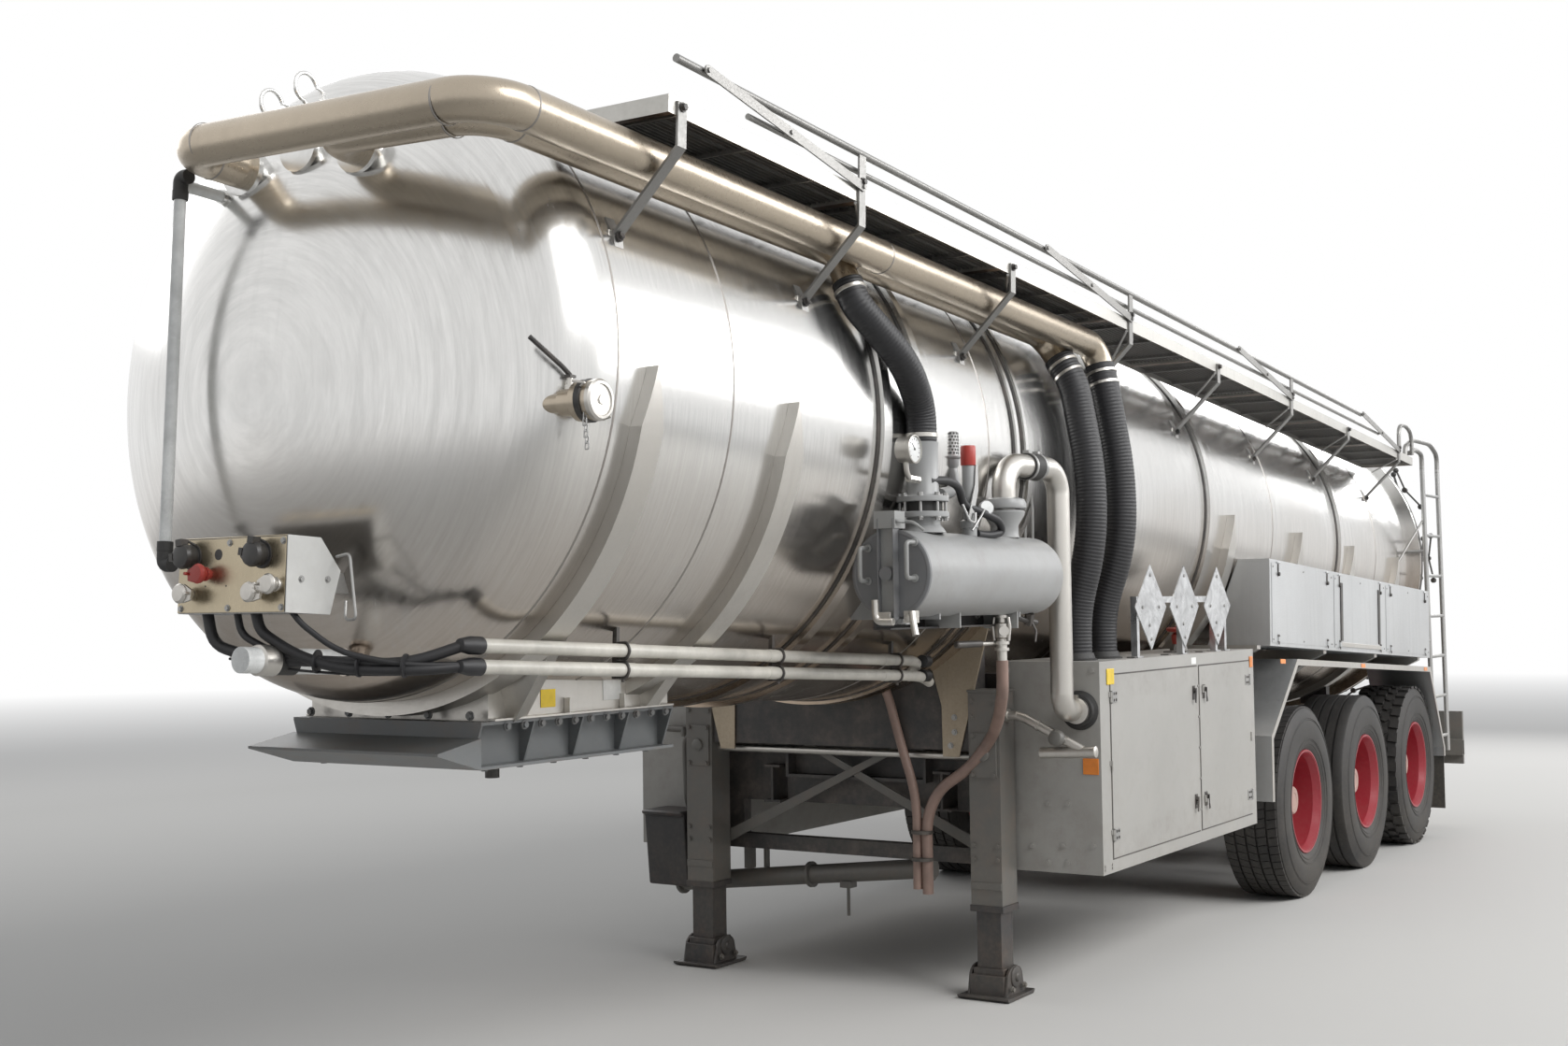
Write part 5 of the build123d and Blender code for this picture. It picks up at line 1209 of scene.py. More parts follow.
# %% Gasket, bolts and studs of the inlet
bm = bmesh.new()
turned(bm, LEVEL, (*INLET, 2.065), (0, 0, 1), ((0, 0.074), (0.037, 0.074)), 40)
piece("inlet_gasket", bm, flap_rubber, edge=0.002)
STUD_CIRCLE, STUDS = 0.086, 8
turns = [2 * math.pi * (k + 0.5) / STUDS for k in range(STUDS)]
studs = [(INLET[0] + STUD_CIRCLE * math.cos(t), INLET[1] + STUD_CIRCLE * math.sin(t)) for t in turns]
spots = [((*stud, z), (0, 0, way)) for stud in studs for z, way in ((2.124, 1), (2.043, -1))]
bolts("flange_bolts", LEVEL, spots, galvanised, "galvanised", head=0.010, tall=0.012)
bm = bmesh.new()
for stud in studs:
    tube(bm, LEVEL, [(*stud, z) for z in (2.06, 2.105)], 0.006, steps=8)
piece("flange_studs", bm, galvanised, edge=0)
print("flange bolts", len(spots))

# %% Perforated silencer
HOLES_ROUND = 14
HOLE_ROWS = (0.004, 0.017, 0.030, 0.043, 0.056, 0.069, 0.082)
bm = bmesh.new()
for k, z in enumerate(HOLE_ROWS):
    lean = math.pi / HOLES_ROUND * (k % 2)
    out = Vector((math.cos(lean), math.sin(lean), 0))
    turned(bm, Matrix(), out * 0.0294 + Vector((0, 0, z + 0.006)), out, ((0, 0.0045), (0.0014, 0.0045)), 8)
repeated(
    "silencer_holes", bm, LEVEL @ Matrix.Translation((*SILENCER, 2.305)), HOLES_ROUND, clamp_black,
    "black_steel", turn=(0, 0, 2 * math.pi / HOLES_ROUND),
)
bm = bmesh.new()
turned(bm, LEVEL, (*SILENCER, 2.303), (0, 0, 1), (
    (0, 0.028), (0, 0.030), (0.094, 0.030), (0.098, 0.026), (0.099, 0.002),
), 36)
piece("silencer", bm, galvanised, edge=0)
print("silencer holes", len(HOLE_ROWS) * HOLES_ROUND)

# %% Relief valve
bm = bmesh.new()
turned(bm, LEVEL, (5.444, 1.120, 1.98), (0, 0, 1), (
    (0, 0.030), (0.03, 0.030), (0.034, 0.036), (0.06, 0.036), (0.066, 0.024), (0.09, 0.022), (0.10, 0.025),
    (0.12, 0.0255), (0.275, 0.0255), (0.28, 0.024),
), 28)
turned(bm, LEVEL, (5.365, 1.150, 2.09), (0.6, 0.75, 0.2), (
    (-0.05, 0.016), (0.0, 0.018), (0.004, 0.030), (0.018, 0.030), (0.020, 0.026),
), 28)
piece("relief_body", bm, drum_grey, edge=0)
bm = bmesh.new()
turned(bm, LEVEL, (5.444, 1.120, 2.258), (0, 0, 1), (
    (0, 0.0285), (0.003, 0.030), (0.072, 0.030), (0.078, 0.0275), (0.079, 0.002),
), 32)
piece("relief_cap", bm, valve_red, edge=0)
bm = bmesh.new()
plate(bm, LEVEL, [
    (5.425, 2.262), (5.442, 2.262), (5.452, 2.18), (5.512, 2.055), (5.500, 2.035), (5.478, 2.045),
    (5.425, 2.16),
], 1.1475, 1.1535)
tube(bm, LEVEL, [
    (5.56, 1.15, 2.10), (5.53, 1.165, 2.035), (5.49, 1.168, 2.03), (5.47, 1.16, 2.07),
], 0.006, 0.015, 8)
tube(bm, LEVEL, [(5.50, 1.16, 2.00), (5.45, 1.17, 2.05), (5.40, 1.165, 2.085)], 0.005, 0.01, 8)
piece("relief_lever", bm, galvanised, edge=0.001)
print("relief valve made")

# %% Small hose, dial and elbow sleeve
bm = bmesh.new()
tube(bm, LEVEL, [
    (5.79, 1.13, 2.18), (5.68, 1.15, 2.188), (5.58, 1.150, 2.165), (5.52, 1.130, 2.10), (5.40, 1.155, 2.075),
    (5.29, 1.175, 2.045), (5.24, 1.165, 2.00), (5.33, 1.150, 1.985), (5.42, 1.14, 1.99),
], 0.016, 0.05, 14)
piece("separator_hose", bm, hose_rubber, edge=0)
bm = bmesh.new()
turned(bm, LEVEL, (5.375, 1.163, 2.0945), (0.6, 0.75, 0.2), ((0.002, 0.026), (0.005, 0.026)), 28)
piece("small_dial", bm, sight_plastic, edge=0)
bm = bmesh.new()
SLEEVE = Vector((4.880, 1.102, 2.290))
way = Vector((-0.46, 0.038, 0)).normalized()
turned(bm, LEVEL, SLEEVE, way, band(0.0495, 0.056, 0.112, 0.004), 36)
piece("elbow_sleeve", bm, flap_rubber, edge=0)
bm = bmesh.new()
for step in (0.008, 0.088):
    turned(bm, LEVEL, SLEEVE + way * step, way, band(0.0565, 0.0585, 0.015), 36)
    block(
        bm, LEVEL @ Matrix.Translation(SLEEVE + way * (step + 0.007)), (-0.010, -0.014, 0.054),
        (0.010, 0.014, 0.068),
    )
for y in (0.93, 0.965):
    tube(bm, LEVEL, [
        (4.69 - y * 0.05, y - 0.02, 2.70), (4.66 - y * 0.05, y, 2.50), (4.64, y + 0.02, 2.33),
        (4.645, y + 0.06, 2.15), (4.66, y + 0.06, 1.75),
    ], 0.007, 0.06, 8)
piece("sleeve_bands", bm, galvanised, edge=0.0008)
print("hose and sleeve made")

# %% Separator cover
# The strap is a channel that hooks over the drum's rim. Its hinge pin is below, so all of this swings down.
COVER_X = 6.0225
cover_paint = paint("cover_paint", (0.30, 0.305, 0.30), 0.38, worn=0.2, dusty=0.2, dust_height=2.4)
bm = bmesh.new()
turned(bm, LEVEL, (6.006, 1.087, 1.830), (1, 0, 0), (
    (0, 0.1605), (0.001, 0.1635), (0.014, 0.1635), (0.0175, 0.158), (0.0176, 0.150), (0.0165, 0.149),
), 64)
for y in (1.0535, 1.1175):
    plate(bm, LEVEL, [
        (COVER_X, 1.668), (6.062, 1.650), (6.062, 2.030), (6.045, 2.048), (5.985, 2.048), (5.985, 1.996),
        (6.016, 1.996), (COVER_X, 1.980),
    ], y, y + 0.004)
piece("cover_strap", bm, cover_grey, "separator_cover")
bm = bmesh.new()
block(bm, LEVEL, (5.982, 1.0400, 1.9945), (6.060, 1.1280, 2.058))
block(bm, LEVEL, (COVER_X, 1.0576, 1.676), (6.0405, 1.1174, 1.9945))
for y, low, high in ((0.994, 1.805, 1.925), (1.188, 1.812, 1.942)):
    tube(bm, LEVEL, [
        (COVER_X, y, low), (COVER_X + 0.055, y - 0.004, low), (COVER_X + 0.055, y - 0.004, high),
        (COVER_X, y, high),
    ], 0.0085, 0.018)
    for z in (low, high):
        turned(bm, LEVEL, (COVER_X, y, z), (1, 0, 0), ((0, 0.015), (0.004, 0.015), (0.006, 0.010)), 14)
tube(bm, LEVEL, [(6.020, 1.135, 2.018), (6.020, 1.18, 2.018), (6.000, 1.215, 1.985)], 0.006, 0.02, 8)
tube(bm, LEVEL, [(6.050, 1.1175, 2.03), (6.050, 1.135, 2.018), (6.030, 1.15, 2.018)], 0.006, 0.01, 8)
piece("cover_handles", bm, cover_paint, "separator_cover", 0.0005)
print("strap and handles made")

# %% Latch of the cover
bm = bmesh.new()
tube(bm, LEVEL, [(6.075, 1.050, 1.735), (6.075, 1.052, 1.655), (6.075, 1.125, 1.655)], 0.014, 0.03)
block(bm, LEVEL, (6.062, 1.062, 1.645), (6.078, 1.112, 1.690))
block(bm, LEVEL, (6.000, 1.142, 1.650), (6.030, 1.190, 1.694))
tube(bm, LEVEL, [(6.032, 1.178, 1.690), (6.045, 1.190, 1.650), (6.050, 1.202, 1.605)], 0.013, 0.0)
turned(bm, LEVEL, (6.030, 1.163, 1.668), (1, 0, 0), ((0, 0.014), (0.010, 0.014), (0.012, 0.008)), 6)
piece("cover_latch", bm, rib_steel, "separator_cover", 0.001)
print("latch made")

# %% Drum underside
bm = bmesh.new()
block(bm, LEVEL, (5.03, 0.985, 1.630), (5.98, 0.997, 1.700))
block(bm, LEVEL, (5.03, 0.985, 1.624), (5.98, 1.060, 1.632))
piece("drum_beam", bm, chassis_grey)
bm = bmesh.new()
for x, low in ((5.593, 1.625), (5.082, 1.615)):
    block(bm, LEVEL, (x - 0.005, 0.997, low), (x + 0.005, 1.150, 1.712))
piece("drum_tabs", bm, cover_paint)
bolts(
    "drum_bolts", LEVEL, [((x, 0.998, 1.668), (0, 1, 0)) for x in (5.66, 5.15, 5.36)], galvanised,
    "galvanised", head=0.011, tall=0.012,
)
print("drum beam made")

# %% Drain valve
bm = bmesh.new()
steps = [
    (0, 0.019), (0.02, 0.019), (0.021, 0.027), (0.033, 0.027), (0.034, 0.019), (0.05, 0.019), (0.056, 0.028),
    (0.112, 0.028), (0.118, 0.019),
]
steps += [
    (0.126, 0.019), (0.127, 0.031), (0.140, 0.031), (0.141, 0.022), (0.153, 0.022), (0.154, 0.030),
    (0.166, 0.030), (0.167, 0.021), (0.215, 0.021),
]
turned(bm, LEVEL, (5.105, 1.087, 1.690), (0, 0, -1), steps, 24)
for y in (1.056, 1.118):
    tube(bm, LEVEL, [
        (5.105, y, 1.660), (5.105, y + (y - 1.087) * 0.2, 1.62), (5.105, y, 1.565),
    ], 0.007, 0.0, 8)
turned(bm, LEVEL, (5.105, 1.087, 1.605), (0.8, 0.6, 0), (
    (0, 0.016), (0.045, 0.016), (0.046, 0.021), (0.054, 0.021),
), 18)
turned(bm, LEVEL, (5.16, 1.060, 1.555), (1, -0.15, 0), ((-0.05, 0.009), (0.06, 0.009)), 12)
piece("drain_valve", bm, rib_steel, edge=0)
bm = bmesh.new()
turned(bm, LEVEL, (5.22, 1.051, 1.555), (1, -0.15, 0), (
    (0, 0.010), (0.004, 0.0135), (0.17, 0.0145), (0.176, 0.010),
), 14)
tube(bm, LEVEL, [(4.99, 1.09, 1.665), (4.94, 1.10, 1.650), (4.86, 1.13, 1.635)], 0.012, 0.02)
tube(bm, LEVEL, [(4.90, 1.12, 1.650), (4.885, 1.14, 1.60), (4.92, 1.15, 1.555)], 0.005, 0.01, 8)
turned(bm, LEVEL, (4.90, 1.115, 1.645), (0.3, 0.3, 1), ((-0.02, 0.02), (0.03, 0.02)), 6)
piece("drain_grip", bm, clamp_black, edge=0)
print("drain valve length", steps[-1][0])

# %% Brown drain hoses
bm = bmesh.new()
tube(bm, LEVEL, [
    (5.105, 1.087, 1.485), (5.10, 1.085, 1.36), (4.90, 0.97, 1.24), (4.66, 0.82, 1.14), (4.63, 0.70, 1.00),
    (4.63, 0.532, 0.892), (4.63, 0.472, 0.76), (4.63, 0.474, 0.43),
], 0.025, 0.14, 16)
tube(bm, LEVEL, [
    (4.72, 0.300, 1.385), (4.66, 0.305, 1.30), (4.64, 0.350, 1.10), (4.64, 0.415, 0.90), (4.64, 0.430, 0.78),
    (4.64, 0.428, 0.45),
], 0.021, 0.1, 16)
piece("drain_hoses", bm, brown_hose, edge=0)
bm = bmesh.new()
for low, high in ((0.575, 0.590), (0.695, 0.710)):
    turned(bm, LEVEL, (4.635, 0.452, low), (0, 0, 1), (
        (0, 0.047), (0.001, 0.0495), (high - low, 0.0495), (high - low + 0.001, 0.047),
    ), 20)
piece("hose_ties", bm, clamp_black, edge=0)
print("drain hoses made")

# %% [markdown]
# ## Nose panel
# The tractor's lines plug into a small panel under the head: two lidded sockets, spare holes, and a row of
# palm couplings. A black bundle runs from it to two pale pipes along the tank. Each coupling is the same
# lathe piece with a claw to one side, written once.

# %% Panel
FACE_S = 8.2005
PANEL = TANK @ Matrix.Translation((FACE_S, 0, 0))
panel_steel = metal(
    "panel_steel", (0.50, 0.43, 0.31), 0.30, (1, 9, 1), 60, dusty=0.2, dust_height=3.0, streaky=0.3, tone=0.2
)
side_paint = paint("side_paint", (0.62, 0.62, 0.60), 0.45, worn=0.15, dusty=0.25, dust_height=2.6)
bm = bmesh.new()
block(bm, PANEL, (0, -0.100, -0.768), (0.003, 0.357, -0.552))
block(bm, PANEL, (-0.06, -0.100, -0.5505), (0.003, 0.357, -0.5475))
piece("panel_face", bm, panel_steel)
bm = bmesh.new()
plate(bm, PANEL, [
    (0.004, -0.548), (0.004, -0.770), (-0.165, -0.770), (-0.200, -0.640), (-0.120, -0.548),
], 0.3605, 0.3645)
piece("panel_side", bm, side_paint)
bm = bmesh.new()
tube(bm, PANEL, [
    (-0.18, 0.366, -0.60), (-0.17, 0.43, -0.592), (-0.16, 0.475, -0.785), (-0.17, 0.42, -0.785),
    (-0.19, 0.40, -0.73),
], 0.0045, 0.02, 8)
piece("panel_handle", bm, galvanised, edge=0)
spots = [((-0.05, 0.3645, -0.672), (0, 1, 0)), ((-0.15, 0.3645, -0.668), (0, 1, 0))]
spots += [((0.003, y, u), (1, 0, 0)) for y in (-0.085, 0.12, 0.345) for u in (-0.565, -0.755)]
bolts("panel_bolts", PANEL, spots, galvanised, "galvanised", head=0.0075, tall=0.006)
print("panel bolts", len(spots))

# %% Sockets of the panel
bm = bmesh.new()
for y, tilt in ((-0.038, 0.1), (0.262, -0.15)):
    turned(bm, PANEL, (0.003, y, -0.603), (1, 0, 0), (
        (0, 0.040), (0.006, 0.040), (0.008, 0.033), (0.030, 0.033), (0.032, 0.037), (0.040, 0.038),
        (0.050, 0.034), (0.054, 0.020),
    ), 26)
    lid = PANEL @ Matrix.Translation((0.040, y, -0.603)) @ Matrix.Rotation(tilt, 4, "X")
    block(bm, lid, (-0.01, -0.012, 0.030), (0.018, 0.012, 0.050))
    block(bm, lid, (-0.006, -0.045, -0.010), (0.016, -0.030, 0.012))
    tube(bm, PANEL, [(0.02, y - 0.03, -0.57), (0.03, y, -0.556), (0.02, y + 0.03, -0.57)], 0.004, 0.01, 8)
for y, u in ((0.072, -0.598), (0.180, -0.598)):
    turned(bm, PANEL, (0.0028, y, u), (1, 0, 0), ((0, 0.0165), (0.0008, 0.0165)), 24)
for y in (0.02, 0.11, 0.20):
    turned(bm, PANEL, (0.0028, y, -0.69), (1, 0, 0), ((0, 0.003), (0.0008, 0.003)), 8)
piece("panel_sockets", bm, clamp_black, edge=0.001)
print("sockets made")


# %% Palm couplings
def palm(bm, y, u, way):
    """Coupling head with its claw to one side."""
    turned(bm, PANEL, (0.003, y, u), (1, 0, 0), (
        (0, 0.015), (0.012, 0.015), (0.013, 0.021), (0.020, 0.021), (0.021, 0.016), (0.034, 0.018),
        (0.035, 0.028), (0.044, 0.030), (0.052, 0.024), (0.053, 0.012),
    ), 24)
    plate(bm, PANEL, [
        (y + way * 0.010, u - 0.028), (y + way * 0.045, u - 0.020), (y + way * 0.048, u + 0.010),
        (y + way * 0.012, u + 0.028),
    ], 0.036, 0.045, axis=0)
    tube(bm, PANEL, [(0.030, y + way * 0.040, u), (0.062, y + way * 0.040, u)], 0.005, steps=8)


bm = bmesh.new()
palm(bm, -0.040, -0.712, 1)
palm(bm, 0.255, -0.712, 1)
palm(bm, 0.335, -0.690, -1)
piece("couplings", bm, rib_steel, edge=0.0008)
bm = bmesh.new()
palm(bm, 0.036, -0.655, -1)
piece("coupling_red", bm, valve_red, edge=0.0008)
print("couplings made")

# %% Lines under the tank
UPPER_U, LOWER_U, LINE_Y = -0.853, -0.915, 0.700
bm = bmesh.new()
for u, dive in ((UPPER_U, 0.16), (LOWER_U, 0.06)):
    tube(bm, TANK, [
        (7.80, LINE_Y, u), (5.05, LINE_Y, u), (4.86, LINE_Y - dive, u - dive * 0.4),
    ], 0.022, 0.12, 18)
    for s in (7.05, 6.20, 5.35):
        turned(bm, TANK, (s - 0.03, LINE_Y, u), (1, 0, 0), band(0.0222, 0.0236, 0.060, 0.002), 18)
piece("line_pipes", bm, pale_pipe, edge=0, replaces=("service_lines",))
bm = bmesh.new()
for s in (5.25, 6.15, 7.08):
    for u in (UPPER_U, LOWER_U):
        tube(bm, TANK, [
            (s, LINE_Y - 0.026, u - 0.024), (s, LINE_Y + 0.014, u - 0.026), (s, LINE_Y + 0.027, u),
            (s, LINE_Y + 0.014, u + 0.026), (s, LINE_Y - 0.026, u + 0.024),
        ], 0.0055, 0.01, 8)
    block(bm, TANK, (s - 0.008, LINE_Y - 0.040, -0.945), (s + 0.008, LINE_Y - 0.0235, -0.690))
    turned(bm, TANK, (s, LINE_Y, -0.955), (0, 0, 1), ((0, 0.006), (0.012, 0.006)), 6)
piece("line_clips", bm, clamp_black, edge=0)
print("lines made")

# %% Cable bundle and line ends
bm = bmesh.new()
for u in (UPPER_U, LOWER_U):
    turned(bm, TANK, (7.76, LINE_Y, u), (1, 0, 0), (
        (0, 0.023), (0.002, 0.027), (0.050, 0.027), (0.090, 0.019), (0.092, 0.012),
    ), 18)
    turned(bm, TANK, (5.02, LINE_Y - 0.01, u), (-1, -0.2, 0), band(0.0225, 0.0265, 0.077, 0.002), 18)
BUNDLE = (
    [
        (8.15, -0.03, -0.765), (8.15, 0.0, -0.86), (8.12, 0.16, -0.900), (8.08, 0.36, -0.905),
        (7.96, 0.60, -0.912), (7.83, LINE_Y, UPPER_U),
    ],
    [
        (8.15, 0.10, -0.765), (8.15, 0.12, -0.83), (8.12, 0.22, -0.880), (8.07, 0.40, -0.920),
        (7.95, 0.62, -0.905), (7.83, LINE_Y - 0.006, UPPER_U - 0.008),
    ],
    [
        (8.15, 0.18, -0.765), (8.15, 0.20, -0.82), (8.11, 0.30, -0.885), (8.06, 0.42, -0.925),
        (7.96, 0.62, -0.930), (7.83, LINE_Y, LOWER_U),
    ],
    [
        (8.15, 0.33, -0.765), (8.14, 0.36, -0.80), (8.08, 0.45, -0.880), (7.97, 0.61, -0.915),
        (7.83, LINE_Y + 0.006, LOWER_U + 0.006),
    ],
)
for path, radius in zip(BUNDLE, (0.017, 0.011, 0.016, 0.009)):
    tube(bm, TANK, path, radius, 0.10, 12)
tube(bm, TANK, [
    (8.13, 0.05, -0.90), (8.10, 0.25, -0.93), (8.02, 0.52, -0.945), (7.86, 0.69, -0.93),
], 0.004, 0.1, 8)
for s, y, u in ((8.075, 0.36, -0.906), (8.025, 0.48, -0.915), (7.965, 0.60, -0.915)):
    turned(bm, TANK, (s, y, u), (-0.4, 0.9, -0.05), (
        (-0.004, 0.026), (-0.003, 0.035), (0.003, 0.035), (0.004, 0.026),
    ), 16)
piece("cable_bundle", bm, hose_rubber, edge=0)
print("cables", len(BUNDLE))

# %% Rubber sleeves of the neck and sight tube
NECK_Y, NECK_U = 0.230, -0.905
SIGHT_S, SIGHT_Y = 8.1, -0.30
bm = bmesh.new()
turned(bm, TANK, (8.050, NECK_Y, NECK_U), (1, 0, 0), band(0.0385, 0.042, 0.072, 0.002), 28)
for u, way in ((0.583, 1), (-0.590, -1)):
    turned(bm, TANK, (SIGHT_S, SIGHT_Y, u - way * 0.05), (0, 0, way), (
        (0, 0.0195), (0.001, 0.0245), (0.030, 0.0245), (0.032, 0.0195),
    ), 22)
    tube(bm, TANK, [
        (SIGHT_S, SIGHT_Y, u - way * 0.025), (SIGHT_S, SIGHT_Y, u + way * 0.022),
        (SIGHT_S, -0.262, u + way * 0.022),
    ], 0.0235, 0.03, 18)
piece("neck_sleeves", bm, flap_rubber, edge=0)
print("sleeves made")

# %% Caps of the neck and side valve
VALVE_S, VALVE_U = 7.75, -0.155
bm = bmesh.new()
turned(bm, TANK, (8.122, NECK_Y, NECK_U), (1, 0, 0), (
    (0, 0.0385), (0.004, 0.0455), (0.060, 0.0455), (0.064, 0.041), (0.066, 0.030), (0.062, 0.028),
), 28)
turned(bm, TANK, (VALVE_S, 1.048, VALVE_U), (0, 1, 0), (
    (0, 0.0405), (0.001, 0.048), (0.010, 0.048), (0.012, 0.0405),
), 30)
turned(bm, TANK, (VALVE_S, 1.104, VALVE_U), (0, 1, 0), (
    (0, 0.0585), (0.001, 0.0605), (0.014, 0.0605), (0.020, 0.054), (0.0205, 0.046), (0.016, 0.044),
    (0.016, 0.014), (0.020, 0.012),
), 34)
turned(bm, TANK, (VALVE_S, 1.005, -0.125), (0, 0, 1), (
    (0, 0.016), (0.020, 0.016), (0.021, 0.009), (0.045, 0.009),
), 16)
for turn in (0.6, 3.7):
    out = Vector((math.cos(turn), 0, math.sin(turn)))
    tube(
        bm, TANK,
        [
            Vector((VALVE_S, 1.085, VALVE_U)) + out * 0.060, Vector((VALVE_S, 1.110, VALVE_U)) + out * 0.073,
            Vector((VALVE_S, 1.070, VALVE_U)) + out * 0.084,
        ],
        0.004, 0.01, 8,
    )
piece("side_cap", bm, rib_steel, edge=0)
print("caps made")

# %% Lever and chain of the side valve
bm = bmesh.new()
turned(bm, TANK, (VALVE_S, 1.066, VALVE_U), (0, 1, 0), (
    (0, 0.0585), (0.001, 0.0635), (0.020, 0.0635), (0.022, 0.0585),
), 34)
block(
    bm, TANK @ Matrix.Translation((VALVE_S, 1.005, -0.078)), (-0.012, -0.012, -0.005), (0.014, 0.012, 0.003)
)
tube(bm, TANK, [(VALVE_S, 1.005, -0.076), (7.775, 0.998, -0.055), (7.885, 0.965, 0.018)], 0.0075, 0.02, 8)
piece("side_lever", bm, clamp_black, edge=0)
bm = bmesh.new()
for turned_by in (0, 1):
    ring = [(0.011, 0, 0.006), (0.011, 0, -0.006), (-0.011, 0, -0.006), (-0.011, 0, 0.006), (0.011, 0, 0.006)]
    shape = Matrix.Translation((0, 0, -0.0165 * turned_by)) @ Matrix.Rotation(math.pi / 2, 4, "Y")
    shape = shape @ Matrix.Rotation(math.pi / 2 * turned_by, 4, "X")
    tube(bm, shape, ring, 0.0022, 0.005, 6)
repeated(
    "cap_chain", bm, TANK @ Matrix.Translation((7.79, 1.095, -0.205)), 3, galvanised, "galvanised",
    step=(-0.006, 0.0, -0.033),
)
print("side valve dressed")

# %% [markdown]
# ## Landing legs and what hangs between them
# The trailer stands on two telescopic legs. Each has a gearbox, a casing, an inner tube and a foot that
# rocks between two cheeks. A crank on the left turns both through a cross shaft. Behind them stand
# funnel-shaped plates that carry the tank, a cross pipe with a drain rod, and the far side's gear.

# %% Feet and inner tubes
LEG_X = 4.560
LEG_YS = (0.765, -0.765)
bm = bmesh.new()
for leg_y in LEG_YS:
    at = LEVEL @ Matrix.Translation((LEG_X, leg_y, 0))
    plate(bm, at, [
        (-0.135, 0.010), (-0.122, 0.0005), (0.122, 0.0005), (0.135, 0.010), (0.135, 0.019), (0.120, 0.0155),
        (-0.120, 0.0155), (-0.135, 0.019),
    ], -0.123, 0.123)
    for y in (-0.094, 0.082):
        rim = [
            (0.075 * math.cos(t), 0.086 + 0.052 * math.sin(t)) for t in (math.pi * k / 10 for k in range(11))
        ]
        plate(bm, at, [(-0.092, 0.015), (0.092, 0.015)] + rim, y, y + 0.012)
    turned(bm, at, (0, -0.112, 0.090), (0, 1, 0), (
        (0, 0.014), (0.006, 0.021), (0.016, 0.021), (0.208, 0.021), (0.218, 0.021), (0.224, 0.014),
    ), 20)
    turned(bm, at, (0, 0.094, 0.090), (0, 1, 0), ((0, 0.046), (0.006, 0.044), (0.010, 0.030)), 28)
    block(bm, at, (-0.0905, -0.0805, 0.014), (0.0905, 0.0805, 0.1005))
    for low, high, half in ((0.100, 0.128, 0.072), (0.372, 0.400, 0.080)):
        block(bm, at, (-half, -half, low), (half, half, high))
piece("feet", bm, foot_black)
bm = bmesh.new()
for leg_y in LEG_YS:
    at = LEVEL @ Matrix.Translation((LEG_X, leg_y, 0))
    block(bm, at, (-0.0588, -0.0588, 0.128), (0.0588, 0.0588, 0.372))
piece("inner_tubes", bm, foot_black)
print("feet made")

# %% Gearboxes and bolts of the legs
bm = bmesh.new()
for leg_y in LEG_YS:
    at = LEVEL @ Matrix.Translation((LEG_X, leg_y, 0))
    block(bm, at, (-0.079, -0.079, 1.328), (0.079, 0.079, 1.338))
    block(bm, at, (0.075, -0.062, 0.955), (0.084, 0.062, 1.150))
    block(bm, at, (0.075, -0.074, 0.470), (0.081, 0.074, 0.500))
    turned(bm, at, (0.084, 0, 1.055), (1, 0, 0), ((0, 0.030), (0.010, 0.028), (0.014, 0.018)), 20)
piece("leg_gearbox", bm, leg_grey)
spots = []
for leg_y in LEG_YS:
    spots += [((LEG_X + 0.084, leg_y + y, z), (1, 0, 0)) for y in (-0.050, 0.050) for z in (0.967, 1.138)]
    spots += [
        ((LEG_X + 0.075, leg_y + y, z), (1, 0, 0)) for y in (-0.058, 0.058) for z in (0.60, 0.66, 1.22, 1.29)
    ]
    spots += [((LEG_X + x, leg_y + 0.108, 0.046), (0, 1, 0)) for x in (-0.06, 0.06)]
bolts("leg_bolts", LEVEL, spots, leg_grey, "grey_paint", head=0.010, tall=0.010)
print("leg bolts", len(spots))

# %% Crank
bm = bmesh.new()
turned(bm, LEVEL, (LEG_X, 0.840, 1.225), (0, 1, 0), (
    (0, 0.030), (0.012, 0.030), (0.014, 0.021), (0.055, 0.021), (0.057, 0.016),
), 22)
tube(bm, LEVEL, [(LEG_X, 0.885, 1.225), (LEG_X, 0.935, 1.212), (LEG_X, 1.195, 1.085)], 0.0205, 0.02, 16)
turned(bm, LEVEL, (LEG_X, 1.000, 1.0655), (0, 0.999, 0.049), (
    (0, 0.016), (0.002, 0.0245), (0.258, 0.0245), (0.262, 0.016),
), 20)
for spot in ((LEG_X, 0.985, 1.187), (LEG_X, 1.065, 1.149)):
    turned(bm, LEVEL, spot, (0, 0.9, -0.436), band(0.021, 0.0245, 0.013), 16)
piece("crank_sleeves", bm, rib_steel, edge=0)
bm = bmesh.new()
turned(bm, LEVEL, (LEG_X + 0.028, 1.090, 1.133), (1, 0, 0.2), (
    (-0.030, 0.012), (-0.026, 0.026), (-0.010, 0.036), (0.010, 0.036), (0.024, 0.028), (0.030, 0.012),
), 24)
piece("crank_knob", bm, leg_grey, edge=0)
print("crank made")

